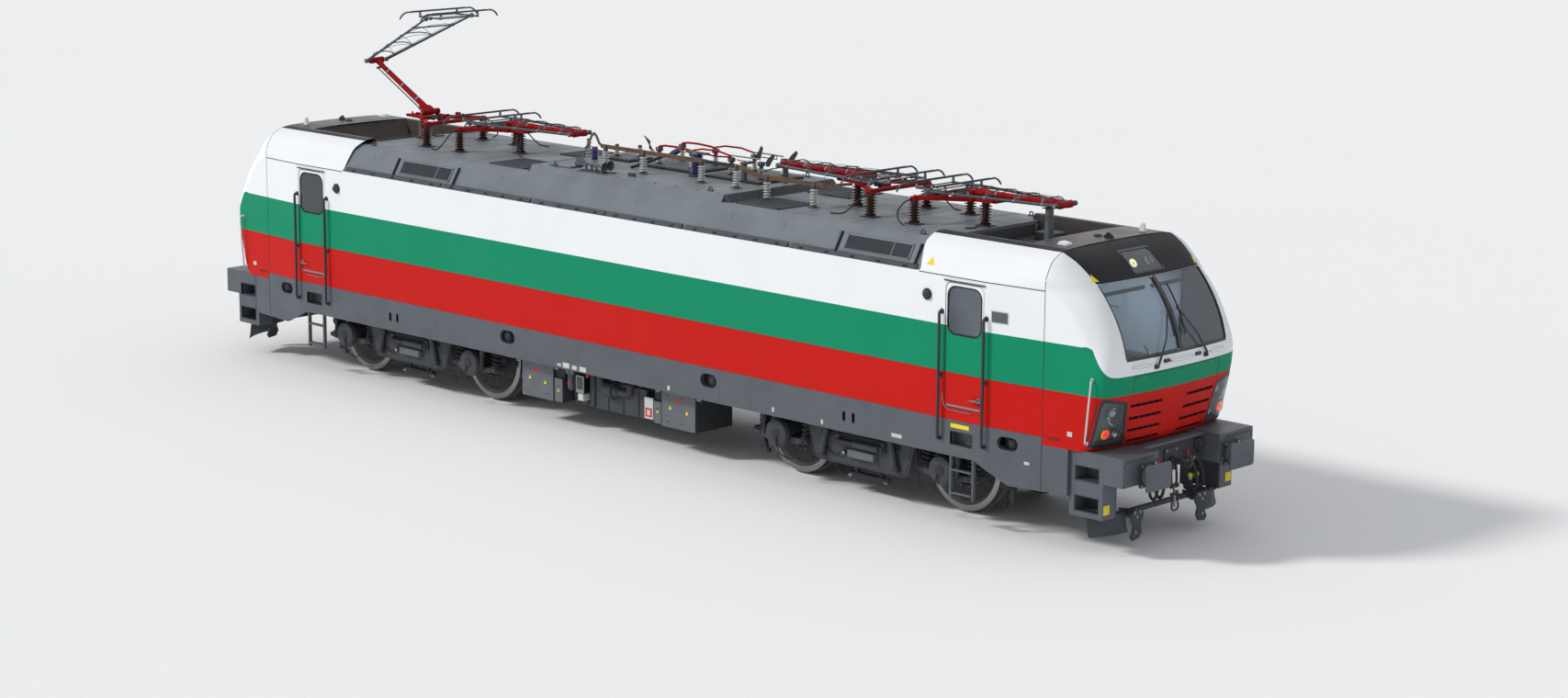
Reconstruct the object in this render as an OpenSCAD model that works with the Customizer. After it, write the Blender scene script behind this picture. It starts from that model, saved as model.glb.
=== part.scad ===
// Four-axle electric locomotive with two cabs and four roof pantographs.
// X runs along the locomotive towards cab 2, Y across it, Z up. The wheel flanges touch Z = 0.
// Heights are given above the rail top, and on_rails() lifts each piece by the flange height.

/* [Body] */
// Length over the buffer faces
length_over_buffers = 18980; // [16800:20:22800]
// Width over the side walls
body_width = 3012; // [2900:4:3620]
// Height of the side walls' lower edge above the rail
sill_height = 1400; // [1380:5:1500]
// Height of the gutter line, where the side walls end
gutter_height = 3280; // [2800:5:3940]
// Height of the flat roof above the gutter line
roof_rise = 390; // [330:5:460]
// Thickness of the walls and the doors
wall_t = 60; // [40:1:80]
// Distance from a buffer face to the seam between nose and side wall
nose_length = 1450; // [1400:10:1500]
// Length of a cab between its bulkhead and the nose seam
cab_length = 2040; // [1900:10:2300]

/* [Skirts and floor] */
// Height of the side skirts' lower edge
skirt_height = 920; // [850:5:1000]
// Thickness of the side skirts
skirt_t = 50; // [20:1:60]
// Thickness of the floor plate
floor_t = 70; // [40:1:90]
// Height and depth of the box girders under the floor
girder_depth = 330; // [200:5:400]

/* [Doors] */
// Distance from the nose seam to the near edge of a door opening
door_setback = 934; // [900:2:1100]
// Width of a door opening
door_width = 643; // [560:1:700]
// Height of a door's lower edge
door_bottom = 1550; // [1500:5:1600]
// Height of a door opening
door_opening = 1650; // [1300:5:1660]
// Gap between a door and its opening
door_gap = 6; // [5:1:10]

/* [Bogies] */
// Distance between the bogie pivots
pivot_distance = 9500; // [8400:10:10500]
// Distance between the axles of one bogie
wheelbase = 3000; // [2700:10:3300]
// Diameter of the wheel tread
wheel_diameter = 1250; // [1100:5:1250]
// Height of the wheel flange
flange_height = 30; // [26:1:34]
// Distance between the wheels' inner faces
back_to_back = 1360; // [1355:1:1365]
// Width of a wheel rim
rim_width = 138; // [130:1:145]
// Radius of the axle journals
journal_r = 90; // [60:1:110]
// Radius of the bogie pivot pins
pivot_r = 110; // [80:1:140]
// Radial clearance of a running fit
fit_gap = 0.08; // [0.05:0.01:0.10]

/* [Couplings] */
// Height of the buffers' centres
buffer_height = 1040; // [980:5:1065]
// Distance between the buffers' centres
buffer_spacing = 1750; // [1700:10:1800]
// Width of a buffer plate
buffer_plate_w = 500; // [450:5:550]
// Height of a buffer plate
buffer_plate_h = 345; // [320:5:360]

/* [Pantographs] */
// Distance from a nose seam to the outer pantograph's head
outer_head_setback = 2865; // [2640:5:3040]
// Distance from the centre to an inner pantograph's head
inner_head_x = 4165; // [3900:5:4300]
// Length of a lower arm between its pivots
lower_arm_l = 1500; // [1300:5:1600]
// Length of an upper arm between its pivots
upper_arm_l = 1990; // [1800:5:2100]
// Height of the main pivots
arm_pivot_height = 4110; // [4100:5:4200]
// Angle of the raised lower arm
raised_angle = 28; // [15:0.5:50]
// Half the length of a contact strip with its horns
head_half_w = 800; // [700:10:975]

/* [Hidden] */
$fn = 48;
eps = 1;

// Body lines
hw = body_width / 2;
end_x = length_over_buffers / 2;
seam_x = end_x - nose_length;
bulkhead_x = seam_x - cab_length;
roof_height = gutter_height + roof_rise;
roof_t = 50;
taper_start_x = seam_x - 890;
seam_inset = 76;
taper = seam_inset / 890;
nose_bottom = sill_height - 94;
skirt_end = 407;
floor_bottom = sill_height - floor_t;
girder_bottom = floor_bottom - girder_depth;
inner_w = hw - wall_t;

// Doors
door_x2 = seam_x - door_setback;
door_x1 = door_x2 - door_width;
door_top = door_bottom + door_opening;
door_corner = 90;
window_x_margin = 80;
window_h = 608;
window_r = 120;
window_top_margin = 57;

// Bogies
pivot_x = pivot_distance / 2;
axle_dx = wheelbase / 2;
wheel_r = wheel_diameter / 2;
wheel_in = back_to_back / 2;
wheel_out = wheel_in + rim_width;
wheel_mid = wheel_in + rim_width / 2;
box_out = hw - 178;
box_in = wheel_out + 112;
beam_in = wheel_out + 160;
beam_t = box_out - 110 - beam_in;
beam_top = 1100;
beam_bottom = 960;
spring_dx = 400;
spring_seat = 590;

// Ends
box_front = end_x - 200;
beam_h0 = 930;

// Pantographs
outer_head_x = seam_x - outer_head_setback;
arm_ratio = sqrt(lower_arm_l / upper_arm_l);
pivot_to_head = upper_arm_l - lower_arm_l;
arm_r = 40;
arm_shaft_r = 25;
knee_shaft_r = 22;
head_shaft_r = 14;
foot_front = 160;
foot_back = 600;
foot_y = 570;
lug_y = 150;
// Places 1 to 4 from the cab 1 end: pivot X and the side that the knee points to
arms_x = [-outer_head_x - pivot_to_head, -inner_head_x + pivot_to_head,
          inner_head_x - pivot_to_head, outer_head_x + pivot_to_head];
knee_dir = [-1, 1, -1, 1];

module on_rails() translate([0, 0, flange_height]) children();
module both_sides() { children(); mirror([0, 1, 0]) children(); }
module both_x() { children(); mirror([1, 0, 0]) children(); }
module both_ends() { children(); rotate([0, 0, 180]) children(); }
module cab_end(n) rotate([0, 0, n == 1 ? 180 : 0]) children();
module four_corners() both_ends() both_sides() children();

// A box between two opposite corners
module block(a, b) translate(a) cube(b - a);
// A cylinder along Y, centred
module rod_y(r, l) rotate([90, 0, 0]) cylinder(r = r, h = l, center = true);
// A cylinder along X, centred
module rod_x(r, l) rotate([0, 90, 0]) cylinder(r = r, h = l, center = true);
// A tube or bar between two points
module bar(p, q, r) {
    d = q - p;
    l = norm(d);
    translate(p) rotate([0, acos(d[2] / l), atan2(d[1], d[0])]) cylinder(r = r, h = l);
}
module rounded(w, h, r) {
    square([w - 2 * r, h], center = true);
    square([w, h - 2 * r], center = true);
    for (x = [-1, 1], y = [-1, 1]) translate([x * (w / 2 - r), y * (h / 2 - r)]) circle(r = r);
}
// A rounded plate facing Y, centred on y = 0
module plate_y(w, h, r, t) rotate([90, 0, 0]) linear_extrude(t, center = true) rounded(w, h, r);
// A rounded plate facing X, centred on x = 0
module plate_x(w, h, r, t)
    rotate([90, 0, 90]) linear_extrude(t, center = true) rounded(w, h, r);
// An outline in X and Z, drawn out along Y from y0 to y1
module profile_y(points, y0, y1)
    translate([0, y1, 0]) rotate([90, 0, 0]) linear_extrude(y1 - y0) polygon(points);
// An outline in Y and Z, drawn out along X from x0 to x1
module profile_x(points, x0, x1)
    translate([x0, 0, 0]) rotate([90, 0, 90]) linear_extrude(x1 - x0) polygon(points);

// ---- Body shell ----

// Half-width of the body at x, d inside the outer face
function plan_w(x, d = 0) = hw - d - max(0, x - taper_start_x) * taper;
// The side wall's plan: a strip of thickness t between -x1 and x1 on the -Y side
function wall_strip(x1, t, d = 0) = [
    [-x1, -plan_w(x1, d)], [-taper_start_x, -plan_w(0, d)],
    [taper_start_x, -plan_w(0, d)], [x1, -plan_w(x1, d)],
    [x1, -plan_w(x1, d + t)], [taper_start_x, -plan_w(0, d + t)],
    [-taper_start_x, -plan_w(0, d + t)], [-x1, -plan_w(x1, d + t)]
];
function mirrored(points) = [for (i = [len(points) - 1:-1:0]) [-points[i][0], points[i][1]]];
// The cab's cross-section above the gutter line, right half, d inside the outer face
function cab_section(d) = [
    [hw - d, gutter_height], [hw - 24 - d, gutter_height + 10],
    [hw - 75 - d, gutter_height + 127 - d / 3], [hw - 184 - d, gutter_height + 326 - d / 2],
    [hw - 273 - d, gutter_height + 393 - d], [hw - 400 - d, gutter_height + 446 - d],
    [hw - 632 - d, gutter_height + 476 - d], [0, gutter_height + 490 - d]
];
function machine_section(d) = [
    [hw - 30 - d, gutter_height], [hw - 95 - d, gutter_height + 120 - d / 3],
    [hw - 210 - d, gutter_height + 310 - d / 2], [hw - 350 - d / 2, roof_height - d]
];

module door_hole() translate([(door_x1 + door_x2) / 2, -hw, (door_bottom + door_top) / 2])
    plate_y(door_width, door_opening, door_corner, 4 * wall_t);

module side_wall()
    color("white") on_rails() difference() {
        translate([0, 0, sill_height])
            linear_extrude(gutter_height - sill_height) polygon(wall_strip(seam_x, wall_t));
        both_x() door_hole();
    }
module side_wall_right() side_wall();
module side_wall_left() mirror([0, 1, 0]) side_wall();

// Nose levels: height, front face ahead of the seam, half-width at the seam, corner radius
nose_levels = [
    [nose_bottom, 821, 1430, 190], [1650, 935, 1430, 230], [2005, 1028, 1430, 250],
    [2300, 1070, 1430, 260], [2479, 1062, 1430, 260], [2721, 995, 1430, 270],
    [2994, 865, 1430, 280], [3200, 725, 1430, 290], [3373, 581, 1424, 290],
    [3487, 472, 1375, 290], [3577, 372, 1319, 280], [3673, 225, 1233, 200],
    [3732, 105, 1085, 100], [3756, 30, 874, 25]
];
body_rise = gutter_height - 3280;
front_bow = 63 / pow(1030, 2);
// A level's outline on the +Y side, d inside the outer face, from the seam to the centre line
function nose_half(level, d) = let (
    w0 = level[2] + hw - 1506 - d, front = level[1] - d, r = max(20, level[3] - d),
    w_corner = w0 - taper * max(0, front - r),
    x_corner = front - front_bow * pow(w_corner - r, 2)
) concat(
    [[-10 * sign(d), w0]],
    [for (a = [90:-18:0]) [max(0, x_corner - r + r * cos(a)), w_corner - r + r * sin(a)]],
    [for (t = [0.8:-0.2:0])
        [max(0, front - front_bow * pow(t * (w_corner - r), 2)), t * (w_corner - r)]]
);
function both_halves(points) =
    concat(points, [for (i = [len(points) - 1:-1:0]) [points[i][0], -points[i][1]]]);
module nose_form(d) translate([seam_x, 0, 0]) hull() for (level = nose_levels)
    if (level[1] > d + 20)
        translate([0, 0, level[0] + body_rise - (level[0] > 3300 ? d : 0)])
            linear_extrude(eps) polygon(both_halves(nose_half(level, d)));

screen_w = 1034;
screen_z0 = 2478;
screen_z1 = 3372;
pillar_w = 60;
// The windscreen openings of one nose, with their edges grown by g
module screen_cut(g = 0) both_sides()
    block([seam_x + 200, pillar_w / 2 - g, screen_z0 + body_rise - g],
          [end_x, screen_w + g, screen_z1 + body_rise + g]);
lamp_z0 = 1365;
lamp_z1 = 1990;
lamp_y0 = 810;
roof_lamp_w = 250;
module lamp_cut() {
    both_sides() block([seam_x + 690, lamp_y0, lamp_z0], [end_x, hw, lamp_z1]);
    block([seam_x + 250, -roof_lamp_w, 3455 + body_rise], [end_x, roof_lamp_w, 3640 + body_rise]);
}
module nose() color("white") on_rails() difference() {
    nose_form(0);
    translate([0, 0, -2 * eps]) nose_form(wall_t);
    block([seam_x - 20, -1100, nose_bottom - 20], [seam_x + 600, 1100, sill_height]);
    screen_cut();
    lamp_cut();
}
module cab_nose_1() cab_end(1) nose();
module cab_nose_2() cab_end(2) nose();
module nose_skin(d0, d1) difference() { nose_form(d0); translate([0, 0, -2]) nose_form(d1); }
module windscreens() color("lightsteelblue", 0.5) on_rails() both_ends()
    intersection() { nose_skin(6, 30); screen_cut(); }
module headlights() color("gainsboro") on_rails() both_ends()
    intersection() { nose_skin(8, 56); lamp_cut(); }

tray_w = 1050;
tray_floor = 215;
post_x = arms_x[3] + 1245;
function both_halves_yz(points) = concat(points, mirrored(points));
// Plan of a cab, d inside the walls' outer faces
function cab_plan(d) = let (
    right = [[bulkhead_x - 10, -plan_w(0, d)], [taper_start_x, -plan_w(0, d)],
             [seam_x + 10, -plan_w(seam_x + 10, d)]]
) both_halves(right);
// The cab's roof form, d inside the outer faces
module cab_form(d, x0, x1) intersection() {
    profile_x(both_halves_yz(cab_section(d)), x0, x1);
    translate([0, 0, gutter_height - eps]) linear_extrude(1000) polygon(cab_plan(d));
}
module cab_roof() color("dimgray") on_rails() {
    difference() {
        cab_form(0, bulkhead_x, seam_x);
        intersection() {
            cab_form(wall_t, bulkhead_x - eps, seam_x + eps);
            block([bulkhead_x - eps, -hw, gutter_height - eps],
                  [seam_x + eps, hw, gutter_height + tray_floor - wall_t]);
        }
        block([bulkhead_x - eps, -plan_w(seam_x, wall_t), gutter_height - eps],
              [seam_x + eps, plan_w(seam_x, wall_t), gutter_height + eps]);
        profile_y([[bulkhead_x - eps, gutter_height + tray_floor],
                   [seam_x - 600, gutter_height + tray_floor],
                   [seam_x - 120, gutter_height + 600], [bulkhead_x - eps, gutter_height + 600]],
                  -tray_w, tray_w);
    }
    block([post_x - 35, -60, gutter_height + tray_floor - eps],
          [post_x + 35, 60, arm_pivot_height - arm_r - 25]);
}
module cab_roof_1() cab_end(1) cab_roof();
module cab_roof_2() cab_end(2) cab_roof();

module machine_roof() color("slategray") on_rails() difference() {
    profile_x(both_halves_yz(machine_section(0)), -bulkhead_x, bulkhead_x);
    profile_x(both_halves_yz(concat([[machine_section(roof_t)[0][0], gutter_height - eps]],
        [for (i = [0:3]) machine_section(roof_t)[i]])), -bulkhead_x - eps, bulkhead_x + eps);
}
hatch_l = 2000;
hatch_h = 100;
hatch_w = hw - 350;
module roof_hatch() color("slategray") on_rails()
    profile_x([[-hatch_w, roof_height], [hatch_w, roof_height],
               [hatch_w - 60, roof_height + hatch_h], [-hatch_w + 60, roof_height + hatch_h]],
              -hatch_l, hatch_l);

module cab_bulkheads() color("lightgray") on_rails() both_ends()
    profile_x(concat([[-inner_w, sill_height], [inner_w, sill_height], [inner_w, gutter_height]],
                     both_halves_yz(machine_section(roof_t)), [[-inner_w, gutter_height]]),
              bulkhead_x - 50, bulkhead_x);

// ---- Underframe, skirts and ends ----

// The floor reaches the skirts' inner faces and carries the walls
floor_plan = concat(
    [[-seam_x, -plan_w(seam_x, skirt_t + 1)], [-taper_start_x, -plan_w(0, skirt_t)],
     [taper_start_x, -plan_w(0, skirt_t)], [seam_x, -plan_w(seam_x, skirt_t + 1)]],
    [[seam_x, plan_w(seam_x, skirt_t + 1)], [taper_start_x, plan_w(0, skirt_t)],
     [-taper_start_x, plan_w(0, skirt_t)], [-seam_x, plan_w(seam_x, skirt_t + 1)]]);
girder_x = 2350;
girder_y = inner_w - 330;
module underframe() color("dimgray") on_rails() {
    translate([0, 0, floor_bottom]) linear_extrude(floor_t) polygon(floor_plan);
    both_ends() {
        block([seam_x - eps, -1080, floor_bottom], [seam_x + 300, 1080, sill_height]);
        both_sides() block([seam_x - 500, 620, floor_bottom - 240],
                           [corner_x0, 800, floor_bottom + eps]);
        both_sides() block([pivot_x - 300, 190, floor_bottom - 90],
                           [pivot_x + 300, 310, floor_bottom + eps]);
        block([girder_x - 120, -girder_y - eps, girder_bottom],
              [girder_x, girder_y + eps, floor_bottom + eps]);
        translate([pivot_x, 0, pin_bottom])
            cylinder(r = pivot_r, h = floor_bottom + eps - pin_bottom);
    }
    both_sides() block([-girder_x, girder_y, girder_bottom],
                       [girder_x, girder_y + 150, floor_bottom + eps]);
}

// Lower edge of a skirt between the centre and the end
skirt_drop_x0 = seam_x - 1063;
skirt_drop_x1 = seam_x - 510;
skirt_low = skirt_height - 220;
step_hole_x = seam_x - 1275;
module skirt_profile(x1) profile_y([
    [-x1, skirt_low], [-skirt_drop_x1, skirt_low - 20], [-skirt_drop_x0, skirt_height],
    [skirt_drop_x0, skirt_height], [skirt_drop_x1, skirt_low - 20], [x1, skirt_low],
    [x1, nose_bottom], [seam_x, nose_bottom], [seam_x, sill_height],
    [-seam_x, sill_height], [-seam_x, nose_bottom], [-x1, nose_bottom]
], -hw - 100, 0);
module skirt_holes() {
    for (s = [-1, 1]) {
        translate([s * step_hole_x, -hw, 1162]) plate_y(370, 175, 12, 4 * skirt_t);
        translate([s * (seam_x - 523), -hw, 1228]) plate_y(310, 160, 79, 4 * skirt_t);
        translate([s * 2123, -hw, 1217]) plate_y(310, 180, 89, 4 * skirt_t);
        for (x = [4700, 4870]) translate([s * x, -hw, 1135]) plate_y(45, 135, 22, 4 * skirt_t);
    }
}
module side_skirts() color("dimgray") on_rails() both_sides() {
    difference() {
        intersection() {
            translate([0, 0, skirt_low - 50]) linear_extrude(1000)
                polygon(wall_strip(seam_x + skirt_end, skirt_t));
            skirt_profile(seam_x + skirt_end);
        }
        skirt_holes();
    }
    for (s = [-1, 1]) translate([s * step_hole_x, -hw + skirt_t, 1162]) difference() {
        block([-200, 0, -110], [200, 105, 105]);
        block([-185, -eps, -95], [185, 90, 90]);
    }
}

// Half-width over the corner step boxes
corner_w = hw - 150;
corner_x0 = seam_x + skirt_end;
leg_x1 = seam_x + 940;
leg_bottom = 460;
module corner_box() difference() {
    union() {
        block([corner_x0, 640, beam_h0], [box_front, corner_w, nose_bottom]);
        block([corner_x0, corner_w - 420, leg_bottom], [leg_x1, corner_w, beam_h0]);
    }
    block([corner_x0 + 40, 680, beam_h0 - 250], [box_front - 25, corner_w - 30, nose_bottom - 30]);
    block([corner_x0 + 40, corner_w - 390, leg_bottom + 30], [leg_x1 - 25, corner_w - 30, beam_h0]);
    for (z = [1020, 632])
        translate([corner_x0 + 273, corner_w, z]) plate_y(380, 190, 12, 200);
    block([leg_x1, 600, beam_h0 - 300], [box_front + 10, corner_w + 10, beam_h0 + 12]);
}
module buffer_beams() color("dimgray") on_rails() both_ends() {
    both_sides() corner_box();
    difference() {
        block([corner_x0, -640, beam_h0 + 20], [leg_x1, 640, nose_bottom - 10]);
        block([corner_x0 + 60, -600, beam_h0 - 20], [leg_x1 - 40, 600, nose_bottom - 70]);
        translate([leg_x1, 0, buffer_height]) cube([100, 90, 130], center = true);
    }
}
module buffer() {
    translate([end_x - 20, 0, 0]) plate_x(buffer_plate_w, buffer_plate_h, 45, 40);
    translate([end_x - 60, 0, 0]) rod_x(110, 60);
    translate([(box_front + end_x - 90) / 2, 0, 0]) rod_x(95, end_x - 90 - box_front);
    translate([box_front + 12, 0, 0]) plate_x(320, 300, 30, 24);
    translate([box_front + 60, 0, 0]) rod_x(125, 80);
}
module buffers() color("slategray") on_rails() four_corners()
    translate([0, buffer_spacing / 2, buffer_height]) buffer();

hook_x = end_x - 200;
module draw_hook() {
    difference() {
        union() {
            block([leg_x1 - 30, -22, -40], [hook_x - 40, 22, 40]);
            translate([hook_x - 60, 0, 20]) rod_y(95, 44);
        }
        translate([hook_x - 40, 0, 30]) rod_y(42, 60);
        block([hook_x - 60, -40, 40], [hook_x + 60, 40, 130]);
    }
}
// Side link, screw and bail of the screw coupling, hanging down from the hook's shank
module hanging_coupling() {
    both_sides() bar([leg_x1 + 60, 45, 0], [leg_x1 + 80, 45, -330], 17);
    translate([leg_x1 + 60, 0, 0]) rod_y(22, 124);
    translate([leg_x1 + 80, 0, -330]) rod_y(26, 150);
    bar([leg_x1 + 80, 0, -330], [leg_x1 + 95, 0, -520], 16);
}
module screw_couplings() color("darkslategray") on_rails() both_ends()
    translate([0, 0, buffer_height]) { draw_hook(); hanging_coupling(); }

// One brake hose: a stub pipe, an arc and its parked coupling head
module hose(y) translate([leg_x1, y, beam_h0 + 60]) {
    translate([40, 0, 0]) rod_x(22, 80);
    translate([80, 0, -130]) rotate([90, 0, 0])
        rotate_extrude(angle = 90) translate([130, 0]) circle(r = 20);
    translate([210, 0, -240]) cylinder(r = 20, h = 110);
    translate([140, 0, -240]) rotate([90, 0, 0])
        rotate_extrude(angle = -180) translate([70, 0]) circle(r = 20);
}
module brake_hoses() color("black") on_rails() both_ends()
    for (y = [-430, -300, 300, 430]) hose(y);

module obstacle_deflectors() color("darkslategray") on_rails() both_ends() {
    both_sides() {
        profile_plate();
        block([corner_x0 + 40, corner_w - 380, 330], [corner_x0 + 440, corner_w - 340, leg_bottom]);
    }
    block([corner_x0 + 330, -corner_w + 340, 380], [corner_x0 + 380, corner_w - 340, 460]);
}
// A vertical blade, swept back from the middle to above the rail
module profile_plate() translate([0, 0, 150]) linear_extrude(300) polygon([
    [corner_x0 + 430, 140], [corner_x0 + 400, 600], [corner_x0 + 130, 1150],
    [corner_x0 + 100, 1150], [corner_x0 + 370, 600], [corner_x0 + 400, 140]
]);

ladder_x = step_hole_x;
module ladders() color("dimgray") on_rails() four_corners()
    translate([ladder_x, hw - 70, 0]) {
        for (x = [-190, 190]) block([x - 20, 0, 366], [x + 20, 60, skirt_height]);
        for (z = [429, 736]) block([-170, -10, z - 15], [170, 60, z + 15]);
    }

rail_r = 16;
nose_rail_y = plan_w(seam_x + 700) + 30;
module grab_rail(x, z0, z1, stand, w) {
    bar([x, w + stand, z0], [x, w + stand, z1], rail_r);
    for (z = [z0 + 40, z1 - 40]) bar([x, w, z], [x, w + stand, z], 12);
}
module handrails() color("silver") on_rails() both_ends() both_sides() {
    grab_rail(door_x1 - 60, 1090, 2840, 60, hw);
    grab_rail(door_x2 + 46, 1090, 2840, 60, hw);
    // The nose rail leans forward with the nose, and its brackets end on the nose
    difference() {
        union() {
            bar([seam_x + 660, nose_rail_y, 1395], [seam_x + 785, nose_rail_y, 2255], rail_r);
            bar([seam_x + 665, nose_rail_y, 1430], [seam_x + 605, nose_rail_y - 75, 1430], 12);
            bar([seam_x + 780, nose_rail_y, 2225], [seam_x + 740, nose_rail_y - 75, 2225], 12);
        }
        nose_form(0);
    }
}

wiper_y = 520;
module wiper() {
    translate([seam_x + 1060, 0, 2420]) rotate([0, 90, 0]) cylinder(r = 28, h = 50);
    bar([seam_x + 1105, 0, 2420], [seam_x + 965, -220, 2900], 10);
    bar([seam_x + 1065, -200, 2600], [seam_x + 860, -290, 3120], 9);
}
module wipers() color("black") on_rails() both_ends() difference() {
    for (y = [-150, 640]) translate([0, y, body_rise]) wiper();
    nose_form(0);
}

desk_x = seam_x + 100;
module driver_desks() color("slategray") on_rails() both_ends() difference() {
    profile_y([[desk_x, sill_height], [desk_x + 500, sill_height], [desk_x + 780, 2330],
               [desk_x + 640, 2400], [desk_x - 40, 2180], [desk_x - 40, 2130]], -1180, 1180);
    block([desk_x - 50, -780, sill_height - 1], [desk_x + 300, 100, 2080]);
}
seat_x = seam_x - 620;
module seat() {
    translate([0, 0, sill_height]) cylinder(r = 190, h = 30);
    translate([0, 0, sill_height + 30]) cylinder(r = 45, h = 420);
    block([-240, -240, sill_height + 450], [250, 240, sill_height + 570]);
    profile_y([[-240, sill_height + 570], [-120, sill_height + 570], [-200, sill_height + 1180],
               [-300, sill_height + 1180]], -230, 230);
}
module driver_seats() color("darkslategray") on_rails() both_ends()
    for (y = [-350, 620]) translate([seat_x, y, 0]) seat();

// ---- Doors ----

leaf_w = door_width - 2 * door_gap;
leaf_h = door_opening - 2 * door_gap;
window_w = leaf_w - window_x_margin;
window_z = door_top - window_top_margin - window_h / 2;
// The hole or the pane of a door's window
module window_shape(t) translate([(door_x1 + door_x2) / 2, -hw + wall_t / 2, window_z])
    plate_y(window_w, window_h, window_r, t);
module door_leaf() difference() {
    translate([(door_x1 + door_x2) / 2, -hw + wall_t / 2, (door_bottom + door_top) / 2])
        plate_y(leaf_w, leaf_h, door_corner - door_gap, wall_t);
    window_shape(2 * wall_t);
}
module door_at(cab, side) mirror([cab == 1 ? 1 : 0, 0, 0]) mirror([0, side == "left" ? 1 : 0, 0])
    children();
module door(cab, side) color("white") on_rails() door_at(cab, side) {
    door_leaf();
    translate([door_x2 - 60, -hw - 22, 1700]) cube([30, 44, 60], center = true);
    translate([door_x2 - 110, -hw - 38, 1700]) rod_x(11, 150);
}
module door_window(cab, side) color("lightsteelblue", 0.5) on_rails() door_at(cab, side)
    window_shape(14);
module door_1_left() door(1, "left");
module door_1_right() door(1, "right");
module door_2_left() door(2, "left");
module door_2_right() door(2, "right");
module door_1_left_window() door_window(1, "left");
module door_1_right_window() door_window(1, "right");
module door_2_left_window() door_window(2, "left");
module door_2_right_window() door_window(2, "right");

// ---- Underfloor equipment ----

module transformer() color("darkslategray") on_rails() {
    block([-1080, -1080, 320], [520, 1080, floor_bottom]);
    for (x = [-980:190:500]) both_sides() block([x - 45, 1080, 350], [x + 45, 1150, 900]);
}
module underfloor_boxes() color("slategray") on_rails() both_sides() {
    block([-2040, 560, 330], [-1340, hw - 205, girder_bottom]);
    block([-1340, 900, 335], [-1150, hw - 215, 700]);
    block([960, 560, 345], [1655, hw - 205, girder_bottom]);
    block([787, 900, 360], [960, hw - 215, 690]);
    block([590, 1080, 380], [787, hw - 215, 720]);
}

// ---- Bogies ----

module at_bogie(n) translate([(n == 1 ? -1 : 1) * pivot_x, 0, 0]) rotate([0, 0, n == 1 ? 180 : 0])
    children();
frame_end = axle_dx + wheel_r + flange_height + 165;
saddle_z = 860;
pin_bottom = 620;
module side_beam() profile_y(concat(side_beam_half, [for (i = [len(side_beam_half) - 1:-1:0])
    [-side_beam_half[i][0], side_beam_half[i][1]]]), beam_in, beam_in + beam_t);
side_beam_half = [
    [-560, saddle_z], [-700, beam_top], [-frame_end + 60, beam_top], [-frame_end, beam_top - 40],
    [-frame_end, beam_bottom], [-axle_dx + 500, beam_bottom], [-axle_dx + 540, 800],
    [-axle_dx + 640, 440], [-axle_dx + 740, 380]
];
module bogie_frame() color("darkslategray") on_rails() {
    difference() {
        union() {
            both_sides() side_beam();
            block([-330, -beam_in - eps, 640], [330, beam_in + eps, 850]);
        }
        translate([0, 0, pin_bottom - 20]) cylinder(r = pivot_r + fit_gap, h = 400);
    }
    both_x() block([frame_end - 110, -beam_in - eps, beam_bottom],
                   [frame_end, beam_in + eps, beam_top - 20]);
    both_x() both_sides() {
        block([frame_end - 70, wheel_mid - 30, 300], [frame_end, wheel_mid + 30, beam_bottom + eps]);
        block([frame_end - 110, wheel_mid + 20, 430], [frame_end, wheel_mid + 160, 530]);
    }
    both_sides() {
        block([-430, beam_in + beam_t - eps, 560], [430, beam_in + beam_t + 50, 820]);
        translate([0, beam_in + beam_t + 65, 700]) rod_x(58, 760);
        block([-340, beam_in + 10, 190], [270, beam_in + 100, 265]);
        for (x = [-280, 210]) block([x - 25, beam_in + 30, 260], [x + 25, beam_in + 80, 381]);
    }
}
module bogie_frame_1() at_bogie(1) bogie_frame();
module bogie_frame_2() at_bogie(2) bogie_frame();

cap_r = 200;
module axle_box() difference() {
    union() {
        translate([0, (box_in + box_out - 70) / 2, wheel_r]) rod_y(185, box_out - 70 - box_in);
        translate([0, box_out - 40, wheel_r]) rod_y(cap_r, 80);
        both_x() block([0, box_in + 20, spring_seat - 60],
                       [spring_dx + 90, box_out - 90, spring_seat]);
    }
    translate([0, (box_in + box_out) / 2 - 100, wheel_r]) rod_y(journal_r + fit_gap, box_out - box_in);
}
module axle_boxes() color("darkslategray") on_rails() both_sides()
    for (s = [-1, 1]) translate([s * axle_dx, 0, 0]) axle_box();
module axle_boxes_1() at_bogie(1) axle_boxes();
module axle_boxes_2() at_bogie(2) axle_boxes();

spring_y = (box_in + 20 + box_out - 90) / 2;
// A coil spring as one ribbed bar: its coils stand out by the wire's radius
module coil_spring(r, wire_r, z0, z1, turns) {
    pitch = (z1 - z0) / turns;
    rotate_extrude() polygon(concat([[0, z0]],
        [for (i = [0:turns - 1], p = [[-wire_r, 0], [0, 0.3], [0, 0.7], [-wire_r, 1]])
            [r + p[0], z0 + (i + p[1]) * pitch]],
        [[0, z1]]));
}
module bogie_springs() color("black") on_rails() both_sides() {
    for (s = [-1, 1], t = [-1, 1]) translate([s * axle_dx + t * spring_dx, spring_y, 0])
        coil_spring(min(95, (box_out - 110 - box_in) / 2), 19, spring_seat, beam_bottom, 7);
    for (x = [-230, 230]) translate([x, beam_in + beam_t / 2, 0])
        coil_spring(min(115, beam_t / 2), 22, saddle_z, floor_bottom - 10, 8);
}
module bogie_springs_1() at_bogie(1) bogie_springs();
module bogie_springs_2() at_bogie(2) bogie_springs();

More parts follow.
